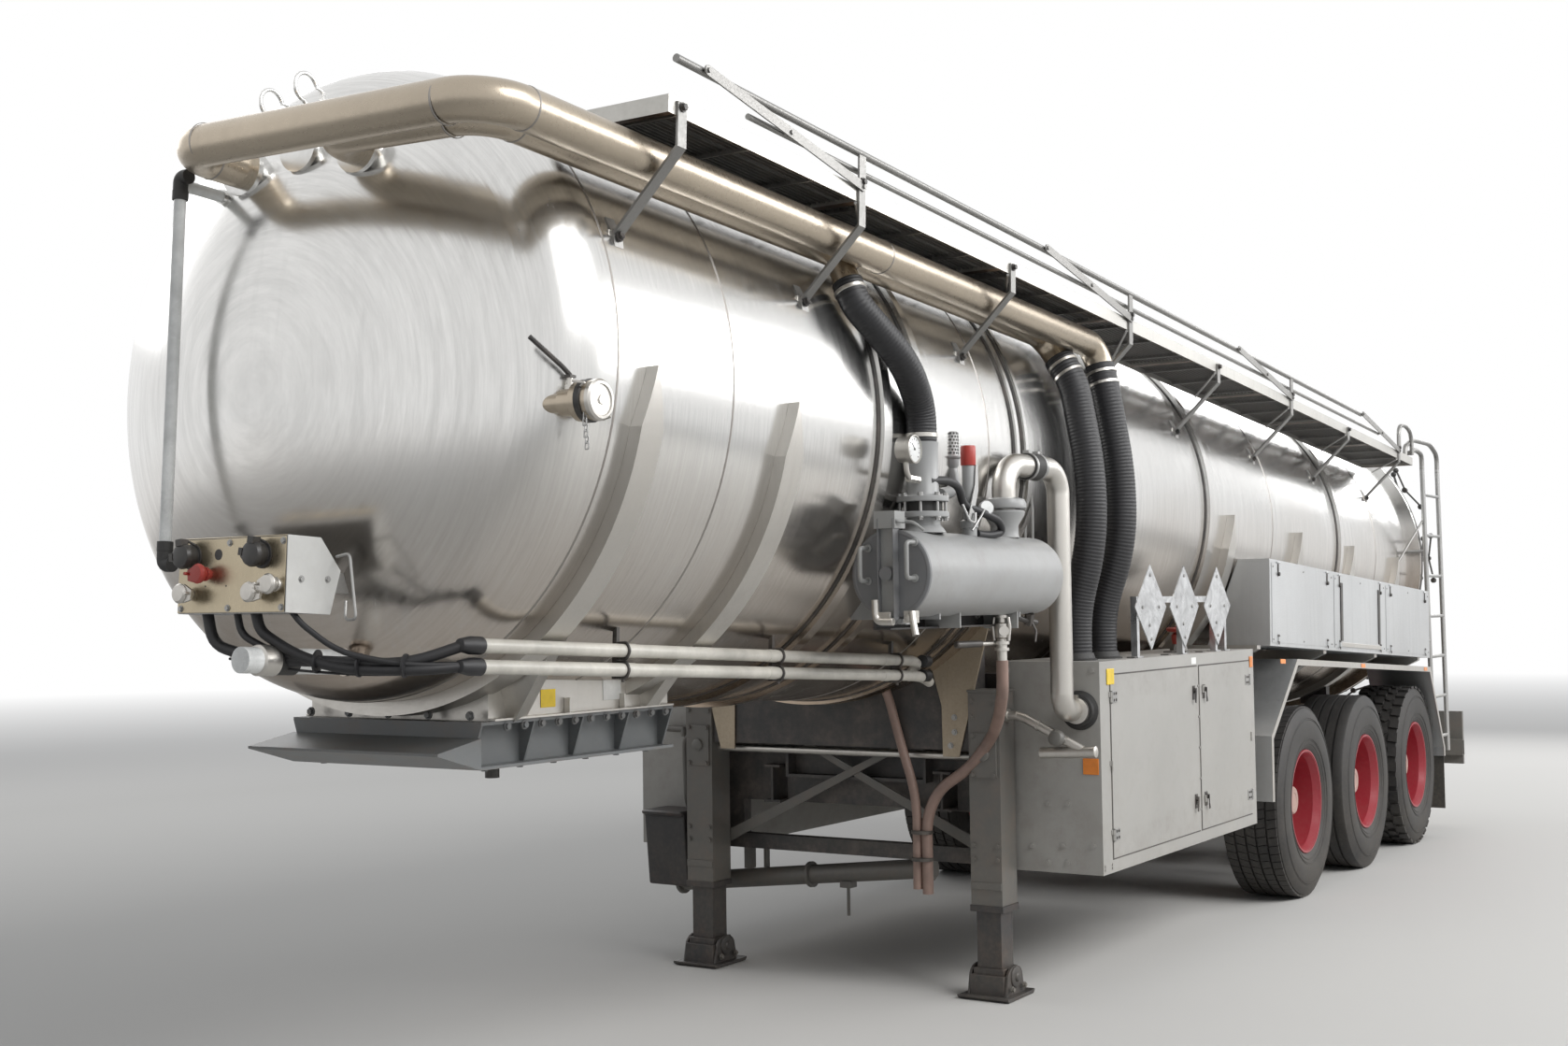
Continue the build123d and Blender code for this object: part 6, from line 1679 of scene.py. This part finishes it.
# %% Funnel plates
funnel = metal(
    "funnel_steel", (0.44, 0.37, 0.28), 0.5, (1, 1, 1), 80, dusty=0.6, dust_height=3.0, streaky=0.5, tone=0.3
)
bm = bmesh.new()
for way in (1, -1):
    outline = [
        (way * y, z)
        for y, z in (
            (0.452, 1.640), (0.801, 1.640), (0.702, 1.270), (0.640, 1.040), (0.559, 1.040), (0.556, 1.266)
        )
    ]
    plate(bm, LEVEL, outline, 4.6225, 4.6305, axis=0)
    outline = [(way * y, z) for y, z in ((0.450, 1.655), (0.805, 1.655), (0.803, 1.615), (0.452, 1.615))]
    plate(bm, LEVEL, outline, 4.631, 4.642, axis=0)
piece("funnel_plates", bm, funnel)
bolts("funnel_bolts", LEVEL, [
    ((4.6305, 0.62, 1.215), (1, 0, 0)), ((4.6305, 0.62, 1.150), (1, 0, 0)),
    ((4.6305, 0.60, 1.09), (1, 0, 0)),
], galvanised, "galvanised", head=0.010, tall=0.010)
print("funnel plates made")

# %% Cross pipe and far side's gear
bm = bmesh.new()
tube(bm, LEVEL, [(4.30, -1.117, 0.330), (4.30, 0.332, 0.492)], 0.046, 0.0, 24)
for y, z in ((-1.117, 0.330), (-0.35, 0.416), (0.300, 0.489)):
    turned(bm, LEVEL, (4.30, y, z), (0, 0.994, 0.111), band(0.047, 0.062, 0.020, 0.002), 24)
tube(bm, LEVEL, [(4.30, -0.135, 0.44), (4.30, -0.135, 0.235)], 0.008, 0.0, 10)
block(bm, LEVEL, (4.27, -0.165, 0.37), (4.33, -0.105, 0.40))
for y, z in ((-0.60, 0.388), (0.22, 0.48)):
    block(bm, LEVEL, (4.285, y - 0.008, z), (4.315, y + 0.008, 0.60))
piece("cross_pipe", bm, leg_grey, edge=0)
bm = bmesh.new()
tube(bm, LEVEL, [
    (4.50, -0.842, 1.10), (4.50, -0.95, 1.083), (4.483, -0.95, 0.746), (4.405, -0.95, 0.668),
    (4.03, -0.95, 0.677), (3.946, -0.95, 0.571), (3.924, -0.95, 0.375),
], 0.014, 0.06, 12)
tube(bm, LEVEL, [(4.50, -0.95, 1.080), (4.50, -0.95, 1.115), (4.50, -1.07, 1.118)], 0.016, 0.01, 12)
block(bm, LEVEL, (3.90, -0.97, 0.36), (3.95, -0.93, 0.76))
piece("far_rod", bm, leg_grey, edge=0)
bm = bmesh.new()
plate(bm, LEVEL, [
    (4.29, 0.36), (4.60, 0.36), (4.635, 0.70), (4.66, 0.71), (4.66, 0.728), (4.26, 0.728), (4.26, 0.71),
    (4.285, 0.70),
], -1.10, -0.86)
piece("far_bin", bm, foot_black, edge=0.012)
print("far side gear made")

# %% Mesh basket on the far side
bm = bmesh.new()
BASKET_Y = -1.02
UPRIGHTS, LEVELS = 12, 6
for k in range(UPRIGHTS):
    x = 3.84 + k * 0.048
    tube(bm, LEVEL, [(x, BASKET_Y, 0.75), (x, BASKET_Y, 0.97)], 0.0035, 0.0, 6)
for k in range(LEVELS):
    z = 0.755 + k * 0.042
    tube(bm, LEVEL, [(3.83, BASKET_Y, z), (4.38, BASKET_Y, z)], 0.0035, 0.0, 6)
tube(bm, LEVEL, [
    (3.83, BASKET_Y, 0.75), (3.83, BASKET_Y, 0.975), (4.38, BASKET_Y, 0.975), (4.38, BASKET_Y, 0.75),
    (3.83, BASKET_Y, 0.75),
], 0.008, 0.02, 8)
for x in (3.84, 4.37):
    tube(bm, LEVEL, [(x, BASKET_Y, 0.97), (x, -0.80, 1.00)], 0.008, 0.0, 8)
piece("far_basket", bm, clamp_black, edge=0)
print("basket wires", UPRIGHTS + LEVELS)

# %% [markdown]
# ## Side cabinet
# Its doors close on small cam latches and hang on flag hinges. The front face is riveted and bolted, and
# the steel line enters it through a black collar. Reflectors mark its ends, and a red hand wheel stands on
# its lid.

# %% Cabinet hardware
FACE_X = 4.460
SKIN_Y = 1.2425
COLLAR_YZ = (1.1445, 1.247)
CABINET_Y, RIVET_Y = 1.2388, 1.2390
bm = bmesh.new()
turned(bm, LEVEL, (FACE_X, *COLLAR_YZ), (1, 0, 0), (
    (0, 0.086), (0.006, 0.086), (0.010, 0.080), (0.014, 0.074), (0.030, 0.070), (0.032, 0.050),
), 40)
piece("collar", bm, flap_rubber, edge=0)
bm = bmesh.new()
turned(bm, LEVEL, (FACE_X + 0.031, *COLLAR_YZ), (1, 0, 0), band(0.052, 0.057, 0.017), 36)
block(bm, LEVEL, (FACE_X + 0.033, 1.135, 1.302), (FACE_X + 0.046, 1.155, 1.316))
piece("collar_band", bm, rib_steel, edge=0)
spots = [
    ((FACE_X, y, z), (1, 0, 0))
    for y, z in (
        (0.987, 0.835), (1.080, 0.840), (0.907, 0.647), (1.054, 0.656), (1.194, 0.664), (0.982, 0.578),
        (1.074, 0.584), (1.205, 1.42), (0.80, 1.42), (0.80, 0.60),
    )
]
bolts("cabinet_bolts", LEVEL, spots, cabinet_grey, "box_paint", head=0.011, tall=0.008)
rivets = [((x, RIVET_Y, z), (0, 1, 0)) for x in (4.36, 4.44) for z in (0.56, 0.575)]
rivets += [((3.23, RIVET_Y, z), (0, 1, 0)) for z in (0.70, 0.85, 1.00, 1.15, 1.30)]
bolts(
    "cabinet_rivets", LEVEL, rivets, cabinet_grey, "box_paint", head=0.006, tall=0.004, sides=10, washer=1.0
)
print("cabinet bolts", len(spots) + len(rivets))


# %% Latches and hinges
def cam_latch(bm, at, x, z, way):
    """Lever latch with its catch plate beside the door's edge."""
    block(bm, at, (x - 0.017, SKIN_Y, z - 0.034), (x + 0.017, SKIN_Y + 0.003, z + 0.034))
    turned(bm, at, (x, SKIN_Y, z + 0.012), (0, 1, 0), ((0, 0.013), (0.012, 0.012), (0.014, 0.008)), 14)
    plate(bm, at, [
        (x - 0.008, z + 0.022), (x + 0.009, z + 0.020), (x + way * 0.020, z - 0.046),
        (x + way * 0.006, z - 0.050),
    ], SKIN_Y + 0.0125, SKIN_Y + 0.0165)


def flag_hinge(bm, at, x, z, way):
    """Hinge on the door's skin: two leaves and a knuckle."""
    block(bm, at, (x, SKIN_Y, z - 0.026), (x + way * 0.062, SKIN_Y + 0.003, z + 0.026))
    tube(bm, at, [(x, SKIN_Y + 0.0045, z - 0.028), (x, SKIN_Y + 0.0045, z + 0.028)], 0.0055, 0.0, 10)


print("helpers: cam_latch, flag_hinge")

# %% Hardware on every door
LATCH_ZS, HINGE_ZS = (0.745, 1.270), (0.700, 1.300)
for side_name, side in SIDES:
    at = LEVEL @ Matrix.Diagonal((1, side, 1, 1))
    for door, latch_x, hinge_x, way in (("front", 3.300, 4.340, -1), ("rear", 3.160, 2.455, 1)):
        on_door = f"{side_name}_{door}"
        body = "door_" + on_door
        bm = bmesh.new()
        for z in LATCH_ZS:
            cam_latch(bm, at, latch_x, z, -way)
        piece("latches_" + on_door, bm, clamp_black, body, 0.0008)
        bm = bmesh.new()
        for z in HINGE_ZS:
            flag_hinge(bm, at, hinge_x, z, way)
        piece("hinges_" + on_door, bm, galvanised, body, 0.0008)
        spots = [
            ((hinge_x + way * step, SKIN_Y + 0.003, z + up), (0, 1, 0))
            for step in (0.022, 0.048)
            for z in HINGE_ZS
            for up in (-0.014, 0.014)
        ]
        bolts("hinge_screws_" + on_door, at, spots, clamp_black, "black_steel", body, head=0.005, tall=0.003)
print("latches and hinges on", len(SIDES) * 2, "doors")

# %% Rubber strips round the doors, their black also a painted shade in the shut lines
STRIP_Y, STRIP_W = (1.23872, 1.2394), 0.007
DOOR_Z = (0.600, 1.395)
for side_name, side in SIDES:
    at = LEVEL @ Matrix.Diagonal((1, side, 1, 1))
    bm = bmesh.new()
    for rear, front in ((3.245, 4.345), (2.450, 3.215)):
        for z in (DOOR_Z[0] - STRIP_W, DOOR_Z[1] + 0.0005):
            block(
                bm, at, (rear - STRIP_W, STRIP_Y[0], z), (front + STRIP_W, STRIP_Y[1], z + STRIP_W - 0.0005)
            )
        for x in (rear - STRIP_W, front + 0.0005):
            block(bm, at, (x, STRIP_Y[0], DOOR_Z[0]), (x + STRIP_W - 0.0005, STRIP_Y[1], DOOR_Z[1]))
    # The strips are rubber seals and also a painted shadow in the gap round each door.
    piece(f"door_seals_and_painted_shade_{side_name}", bm, clamp_black, edge=0)
print("strips round the doors made")

# %% Reflectors and blank labels
yellow = rubber("reflector_yellow", (0.80, 0.56, 0.02), 0.2, dusty=0.1, dust_height=2.0, coarse=200.0)
amber = rubber("reflector_amber", (0.75, 0.22, 0.02), 0.2, dusty=0.1, dust_height=2.0, coarse=200.0)
white_label = rubber("label_white", (0.72, 0.72, 0.70), 0.4, dusty=0.2, dust_height=2.0, coarse=200.0)


def tag(name, place, low, high, finish):
    """Small flat reflector or label."""
    bm = bmesh.new()
    block(bm, place, low, high)
    piece(name, bm, finish, edge=0.002)


BOLSTER_Y = 0.4002
tag("reflector_door", LEVEL, (4.305, CABINET_Y, 1.355), (4.385, 1.2440, 1.425), yellow)
tag("reflector_rear", LEVEL, (2.392, CABINET_Y, 1.362), (2.440, 1.2440, 1.420), amber)
tag("reflector_front", LEVEL, (FACE_X, 1.155, 0.970), (FACE_X + 0.005, 1.228, 1.040), amber)
tag("label_lid", LEVEL, (3.250, CABINET_Y, 1.408), (3.318, 1.2405, 1.440), white_label)
tag("label_bolster", LEVEL, (6.745, BOLSTER_Y, 1.400), (6.845, 0.4018, 1.470), white_label)
tag("label_bolster_yellow", LEVEL, (7.100, BOLSTER_Y, 1.392), (7.175, 0.4025, 1.452), yellow)
print("reflectors and labels made")

# %% Hand wheel on the lid
HAND_WHEEL = (3.05, 1.08)
bm = bmesh.new()
turned(bm, LEVEL, (*HAND_WHEEL, 1.560), (0, 0, 1), (
    (0, 0.042), (0.003, 0.054), (0.010, 0.060), (0.018, 0.060), (0.024, 0.054), (0.020, 0.020),
    (0.030, 0.018), (0.032, 0.010),
), 30)
turned(bm, LEVEL, (*HAND_WHEEL, 1.500), (0, 0, 1), (
    (0, 0.030), (0.030, 0.036), (0.046, 0.036), (0.060, 0.020),
), 20)
piece("hand_wheel", bm, valve_red, edge=0)
bm = bmesh.new()
turned(bm, LEVEL, (*HAND_WHEEL, 1.458), (0, 0, 1), (
    (0, 0.066), (0.008, 0.066), (0.010, 0.046), (0.030, 0.040), (0.044, 0.030),
), 6)
block(bm, LEVEL, (2.99, 1.02, 1.4583), (3.11, 1.14, 1.466))
piece("wheel_stand", bm, leg_grey, edge=0.001)
print("hand wheel made")

# %% Placard screws and feet
spots = []
for x in (3.73, 3.28, 2.80):
    spots += [
        ((x + dx, 1.2002, 1.690 + dz), (0, 1, 0))
        for dx, dz in ((0, 0.150), (0, -0.150), (-0.105, 0.0), (0.105, 0.0), (0.02, -0.085))
    ]
bolts("placard_screws", LEVEL, spots, galvanised, "galvanised", head=0.007, tall=0.004, sides=10, washer=1.3)
bm = bmesh.new()
for x in (3.93, 3.50, 3.02, 2.66):
    block(bm, LEVEL, (x - 0.018, 1.160, 1.4585), (x + 0.018, 1.200, 1.464))
piece("placard_feet", bm, leg_grey)
print("placard screws", len(spots))

# %% [markdown]
# ## Side boxes and mudguards
# The aluminium boxes above the wheels hang their flaps from above, and each flap closes on two small
# catches. Two black straps hold it at the top. The middle one carries a bar in two brackets, and the lip
# under the boxes holds amber reflectors.

# %% Box hardware
FLAP_SPANS = (("front", 0.833, 2.005), ("middle", -0.385, 0.787), ("rear", -1.610, -0.431))
for side_name, side in SIDES:
    way = Matrix.Diagonal((1, side, 1, 1))
    at = TANK @ way
    for name, rear, front in FLAP_SPANS:
        body = f"flap_{side_name}_{name}"
        bm = bmesh.new()
        for s in (front - 0.11, rear + 0.11):
            block(bm, at, (s - 0.007, SKIN_Y, -0.330), (s + 0.007, 1.2460, -0.262))
            turned(bm, at, (s, SKIN_Y, -0.318), (0, 1, 0), ((0, 0.011), (0.010, 0.011), (0.012, 0.008)), 12)
            block(bm, at, (s - 0.016, SKIN_Y, -0.694), (s + 0.016, 1.2450, -0.652))
            plate(bm, at, [
                (s - 0.006, -0.660), (s + 0.006, -0.660), (s + 0.014, -0.706), (s + 0.003, -0.708),
            ], 1.2452, 1.2492)
        piece(f"flap_catches_{side_name}_{name}", bm, clamp_black, body, 0.0006)
        spots = [
            ((s, SKIN_Y, u), (0, 1, 0))
            for s in (front - 0.02, rear + 0.02, (front + rear) / 2)
            for u in (-0.68, -0.28)
        ]
        bolts(
            f"flap_rivets_{side_name}_{name}", at, spots, galvanised, "galvanised", body, head=0.005,
            tall=0.003, sides=10, washer=1.0,
        )
    bm = bmesh.new()
    for s in (0.640, -0.240):
        block(bm, at, (s - 0.022, SKIN_Y, -0.655), (s + 0.022, 1.2475, -0.300))
    piece(f"bar_brackets_{side_name}", bm, clamp_black, f"flap_{side_name}_middle", 0.001)
    bm = bmesh.new()
    block(bm, at, (-0.262, SKIN_Y, -0.690), (0.662, 1.2500, -0.664))
    piece(f"flap_bar_{side_name}", bm, rib_steel, f"flap_{side_name}_middle")
    bm = bmesh.new()
    for s in (1.86, 0.20, -1.45):
        block(bm, at, (s - 0.045, 1.2526, -0.812), (s + 0.045, 1.2550, -0.787))
    piece(f"guard_reflectors_{side_name}", bm, amber, edge=0.001)
print("box flaps", 2 * len(FLAP_SPANS))

# %% Bright lips on the mudguards
LIP_Y = (1.2502, 1.2525)
ends = [TANK.inverted() @ (LEVEL @ Vector((-1.940, 0, z))) for z in (0.625, 0.562)]
lip = [
    ((2.060, -1.560), (2.026, -1.560)), ((2.071, -1.207), (2.036, -1.222)),
    ((1.587, -0.782), (1.573, -0.817)),
]
lip += [((-1.600, -0.782), (-1.579, -0.817))] + [((end.x, end.z), (end.x + 0.035, end.z)) for end in ends]
for side_name, side in SIDES:
    at = TANK @ Matrix.Diagonal((1, side, 1, 1))
    bm = bmesh.new()
    for (a, b), (c, d) in zip(lip, lip[1:]):
        plate(bm, at, [a, c, d, b], *LIP_Y)
    piece(f"guard_lip_{side_name}", bm, rib_steel, edge=0)
print("mudguard lips made")

# %% [markdown]
# ## Bolster and coupler
# The king-pin plate bolts up to the bolster through its flanges. Bolts stand in rows, so they are points
# again.

# %% Coupler bolts and gussets
spots = [((6.52 + 0.085 * k, side * 0.4252, 1.345), (0, side, 0)) for k in range(11) for name, side in SIDES]
spots += [((6.56 + 0.17 * k, side * 0.365, 1.213), (0, 0, -1)) for k in range(6) for name, side in SIDES]
spots += [((7.4705, y, 1.382), (1, 0, 0)) for y in (-0.36, -0.18, 0.0, 0.18, 0.36)]
bolts("coupler_bolts", LEVEL, spots, plate_grey, "dark_steel", head=0.011, tall=0.011)
bm = bmesh.new()
for name, side in SIDES:
    low, high = sorted((side * BOLSTER_Y, side * 0.425))
    for s in (7.05, 7.28, 6.75, 6.55):
        block(bm, LEVEL, (s - 0.004, low, 1.3635), (s + 0.004, high, 1.42))
    low, high = sorted((side * BOLSTER_Y, side * 0.430))
    block(bm, LEVEL, (6.47, low, 1.3633), (7.43, high, 1.371))
piece("bolster_flanges", bm, rib_steel)
print("coupler bolts", len(spots))

# %% [markdown]
# ## Walkway and ladder dressing
# The deck is laid in long planks with ribs below, stayed by thin rods, and bolted to bent flat bars whose
# feet sit on the tank. At its rear the ladder's rails bow over into grab hoops.

# %% Ribs, stays and bolts of the walkway
bm = bmesh.new()
block(bm, Matrix(), (-1.485, 0.850, -0.0400), (7.495, 0.8535, -0.0302))
repeated("deck_ribs", bm, WALK, 17, rail_steel, "galvanised", step=(0, 0.0195, 0))
bm = bmesh.new()
block(bm, Matrix(), (-1.480, 0.834, -0.0500), (-1.472, 1.182, -0.0302))
repeated("deck_cleats", bm, WALK, 24, rail_steel, "galvanised", step=(0.388, 0, 0))
FEET = (-1.055, 0.236, 1.435, 2.706, 3.925, 5.196, 6.415, 7.486)
bm = bmesh.new()
for s in (-1.09, 0.20, 1.40, 2.67, 3.89, 5.16, 6.38):
    tube(bm, WALK, [(s + 0.03, 1.184, -0.062), (s - 0.62, 0.845, -0.062)], 0.006, 0.0, 8)
piece("deck_stays", bm, rail_steel, edge=0)
spots = [((s, 0.966, 0.392), (0, 0.92, 0.39)) for s in FEET]
spots += [((s, 1.1945, 0.700 + 0.0078 * s), (0, 1, 0)) for s in FEET[1::2]]
spots += [((s, 1.1945, 0.745 + 0.0078 * s), (0, 1, 0)) for s in FEET[0::2]]
bolts("bracket_bolts", TANK, spots, clamp_black, "black_steel", head=0.011, tall=0.014)
bm = bmesh.new()
for s in FEET:
    block(bm, TANK, (s - 0.034, 0.930, 0.352), (s + 0.034, 0.952, 0.412))
piece("bracket_pads", bm, rib_steel)
print("bracket bolts", len(spots))

# %% Grab hoops over the ladder
bm = bmesh.new()
tube(bm, LEVEL, [
    (-1.930, 1.150, 2.665), (-1.930, 1.150, 2.775), (-1.740, 1.150, 2.800), (-1.530, 1.150, 2.760),
], 0.017, 0.08, 14)
tube(bm, LEVEL, [
    (-2.410, 1.150, 2.665), (-2.415, 1.150, 2.800), (-2.200, 1.150, 2.870), (-1.640, 1.150, 2.865),
    (-1.440, 1.150, 2.800), (-1.430, 1.150, 2.725),
], 0.017, 0.10, 14)
tube(bm, LEVEL, [
    (-1.185, 1.170, 2.760), (-1.180, 1.170, 2.925), (-1.365, 1.170, 2.950), (-1.545, 1.170, 2.905),
    (-1.550, 1.170, 2.745),
], 0.014, 0.08, 14)
tube(bm, LEVEL, [(-1.960, 1.145, 2.30), (-1.560, 1.000, 1.90)], 0.008, 0.0, 8)
piece("grab_hoops", bm, rail_steel, edge=0)
print("grab hoops made")

# %% [markdown]
# ## Tank dressing
# Long tanks are rolled from sheets and welded in rings, so fine seams run round this one. The stiffening
# hoops are sealed along both edges. The rear door's rim is dark, and the clamps on it are turned with ball
# levers.

# %% Seams, seals and the door's rim
seam_finish = metal(
    "seam_steel", (0.34, 0.32, 0.30), 0.45, (1, 1, 1), 90, dusty=0.2, dust_height=2.5, streaky=0.2, tone=0.2
)
HOOPS = (
    (5.970, 0.030), (5.660, 0.025), (4.740, 0.013), (4.830, 0.013), (3.650, 0.030), (2.430, 0.030),
    (-0.090, 0.030),
)
bm = bmesh.new()
for s, half in HOOPS:
    for way in (1, -1):
        border = s + way * (half + 0.006)
        turned(bm, TANK, (border, 0, 0), (1, 0, 0), (
            (-0.007, TANK_R), (-0.006, TANK_R + 0.004), (0.006, TANK_R + 0.004), (0.007, TANK_R),
        ), 128, closed=True)
piece("hoop_seals", bm, clamp_black, edge=0)
bm = bmesh.new()
for s in (7.560, 6.950, 5.080, 1.300, -1.020):
    turned(bm, TANK, (s, 0, 0), (1, 0, 0), (
        (-0.006, TANK_R - 0.001), (-0.003, TANK_R + 0.0018), (0.003, TANK_R + 0.0018),
        (0.006, TANK_R - 0.001),
    ), 128, closed=True)
piece("weld_seams", bm, seam_finish, edge=0)
RIM_R = 1.087
bm = bmesh.new()
turned(bm, TANK, (-2.120, 0, 0), (1, 0, 0), (
    (-0.030, 1.062), (-0.030, RIM_R), (-0.004, RIM_R), (-0.002, 1.062),
), 128, closed=True)
piece("door_seal", bm, clamp_black, "rear_door", 0)
print("hoops", len(HOOPS))

# %% Ball levers on the clamps
CLAMP_CIRCLE, CLAMP_S = 1.085, -2.348
bm = bmesh.new()
CLAMP_AT = (
    (-0.490, -0.922), (-0.900, -0.522), (-0.900, 0.522), (-0.490, 0.922), (0.490, -0.922), (0.900, -0.522),
    (1.040, 0.047), (0.886, 0.553), (0.490, 0.922),
)
for y, u in CLAMP_AT:
    out = Vector((0, y, u)).normalized()
    along = Vector((0, -out.z, out.y))
    centre = out * CLAMP_CIRCLE + Vector((CLAMP_S, 0, 0))
    for way in (1, -1):
        tip = centre + along * way * 0.150 + out * 0.025
        tube(bm, TANK, [centre, tip], 0.007, 0.0, 8)
        turned(bm, TANK, tip, along * way, (
            (0, 0.006), (0.003, 0.014), (0.010, 0.020), (0.020, 0.022), (0.030, 0.019), (0.038, 0.010),
        ), 16)
    turned(bm, TANK, centre, (1, 0, 0), ((-0.010, 0.014), (0.0, 0.020), (0.030, 0.020)), 14)
piece("clamp_levers", bm, clamp_black, "rear_door", 0)
print("levers", 2 * len(CLAMP_AT))

# %% Manhole bolts
LID_S, LID_CIRCLE, LID_BOLTS = 5.200, 0.245, 8
bm = bmesh.new()
for k in range(LID_BOLTS):
    t = 2 * math.pi * (k + 0.5) / LID_BOLTS
    spot = (LID_S + LID_CIRCLE * math.cos(t), LID_CIRCLE * math.sin(t), 0)
    at = TANK @ Matrix.Translation(spot) @ Matrix.Rotation(t, 4, "Z")
    turned(bm, at, (0, 0, 1.120), (0, 0, 1), ((0, 0.010), (0.055, 0.010)), 10)
    block(bm, at, (-0.012, -0.045, 1.150), (0.012, 0.045, 1.162))
    turned(bm, at, (0, 0, 1.140), (0, 0, 1), ((0, 0.022), (0.012, 0.022)), 6)
piece("lid_bolts", bm, galvanised, "manhole_lid", 0.001)
print("lid bolts", LID_BOLTS)

# %% Weld beads on the suction pipes
BEAD = ((-0.004, 0.0632), (-0.002, 0.0652), (0.002, 0.0652), (0.004, 0.0632))
NECK_BEND = 0.115
bm = bmesh.new()
for y, u, s_turn, bend in ((1.056, 0.622, 8.190, 0.150), (0.925, 0.640, 8.050, 0.120)):
    turned(bm, TANK, (s_turn, y - bend, u), (0, 1, 0), BEAD, 40, closed=True)
    turned(bm, TANK, (s_turn - bend, y, u), (1, 0, 0), BEAD, 40, closed=True)
    turned(bm, TANK, (6.05, y, u), (1, 0, 0), BEAD, 40, closed=True)
for y, u, s_turn in ((-0.190, 0.655, 8.190), (0.300, 0.664, 8.050)):
    turned(bm, TANK, (s_turn, y + NECK_BEND, u), (0, 1, 0), BEAD, 40, closed=True)
    turned(bm, TANK, (s_turn - NECK_BEND, y, u), (1, 0, 0), BEAD, 40, closed=True)
piece("pipe_beads", bm, seam_finish, edge=0)
print("beads made")

# %% Sizes of both boxes
both = {"cad": cad_box, "visual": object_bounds()}
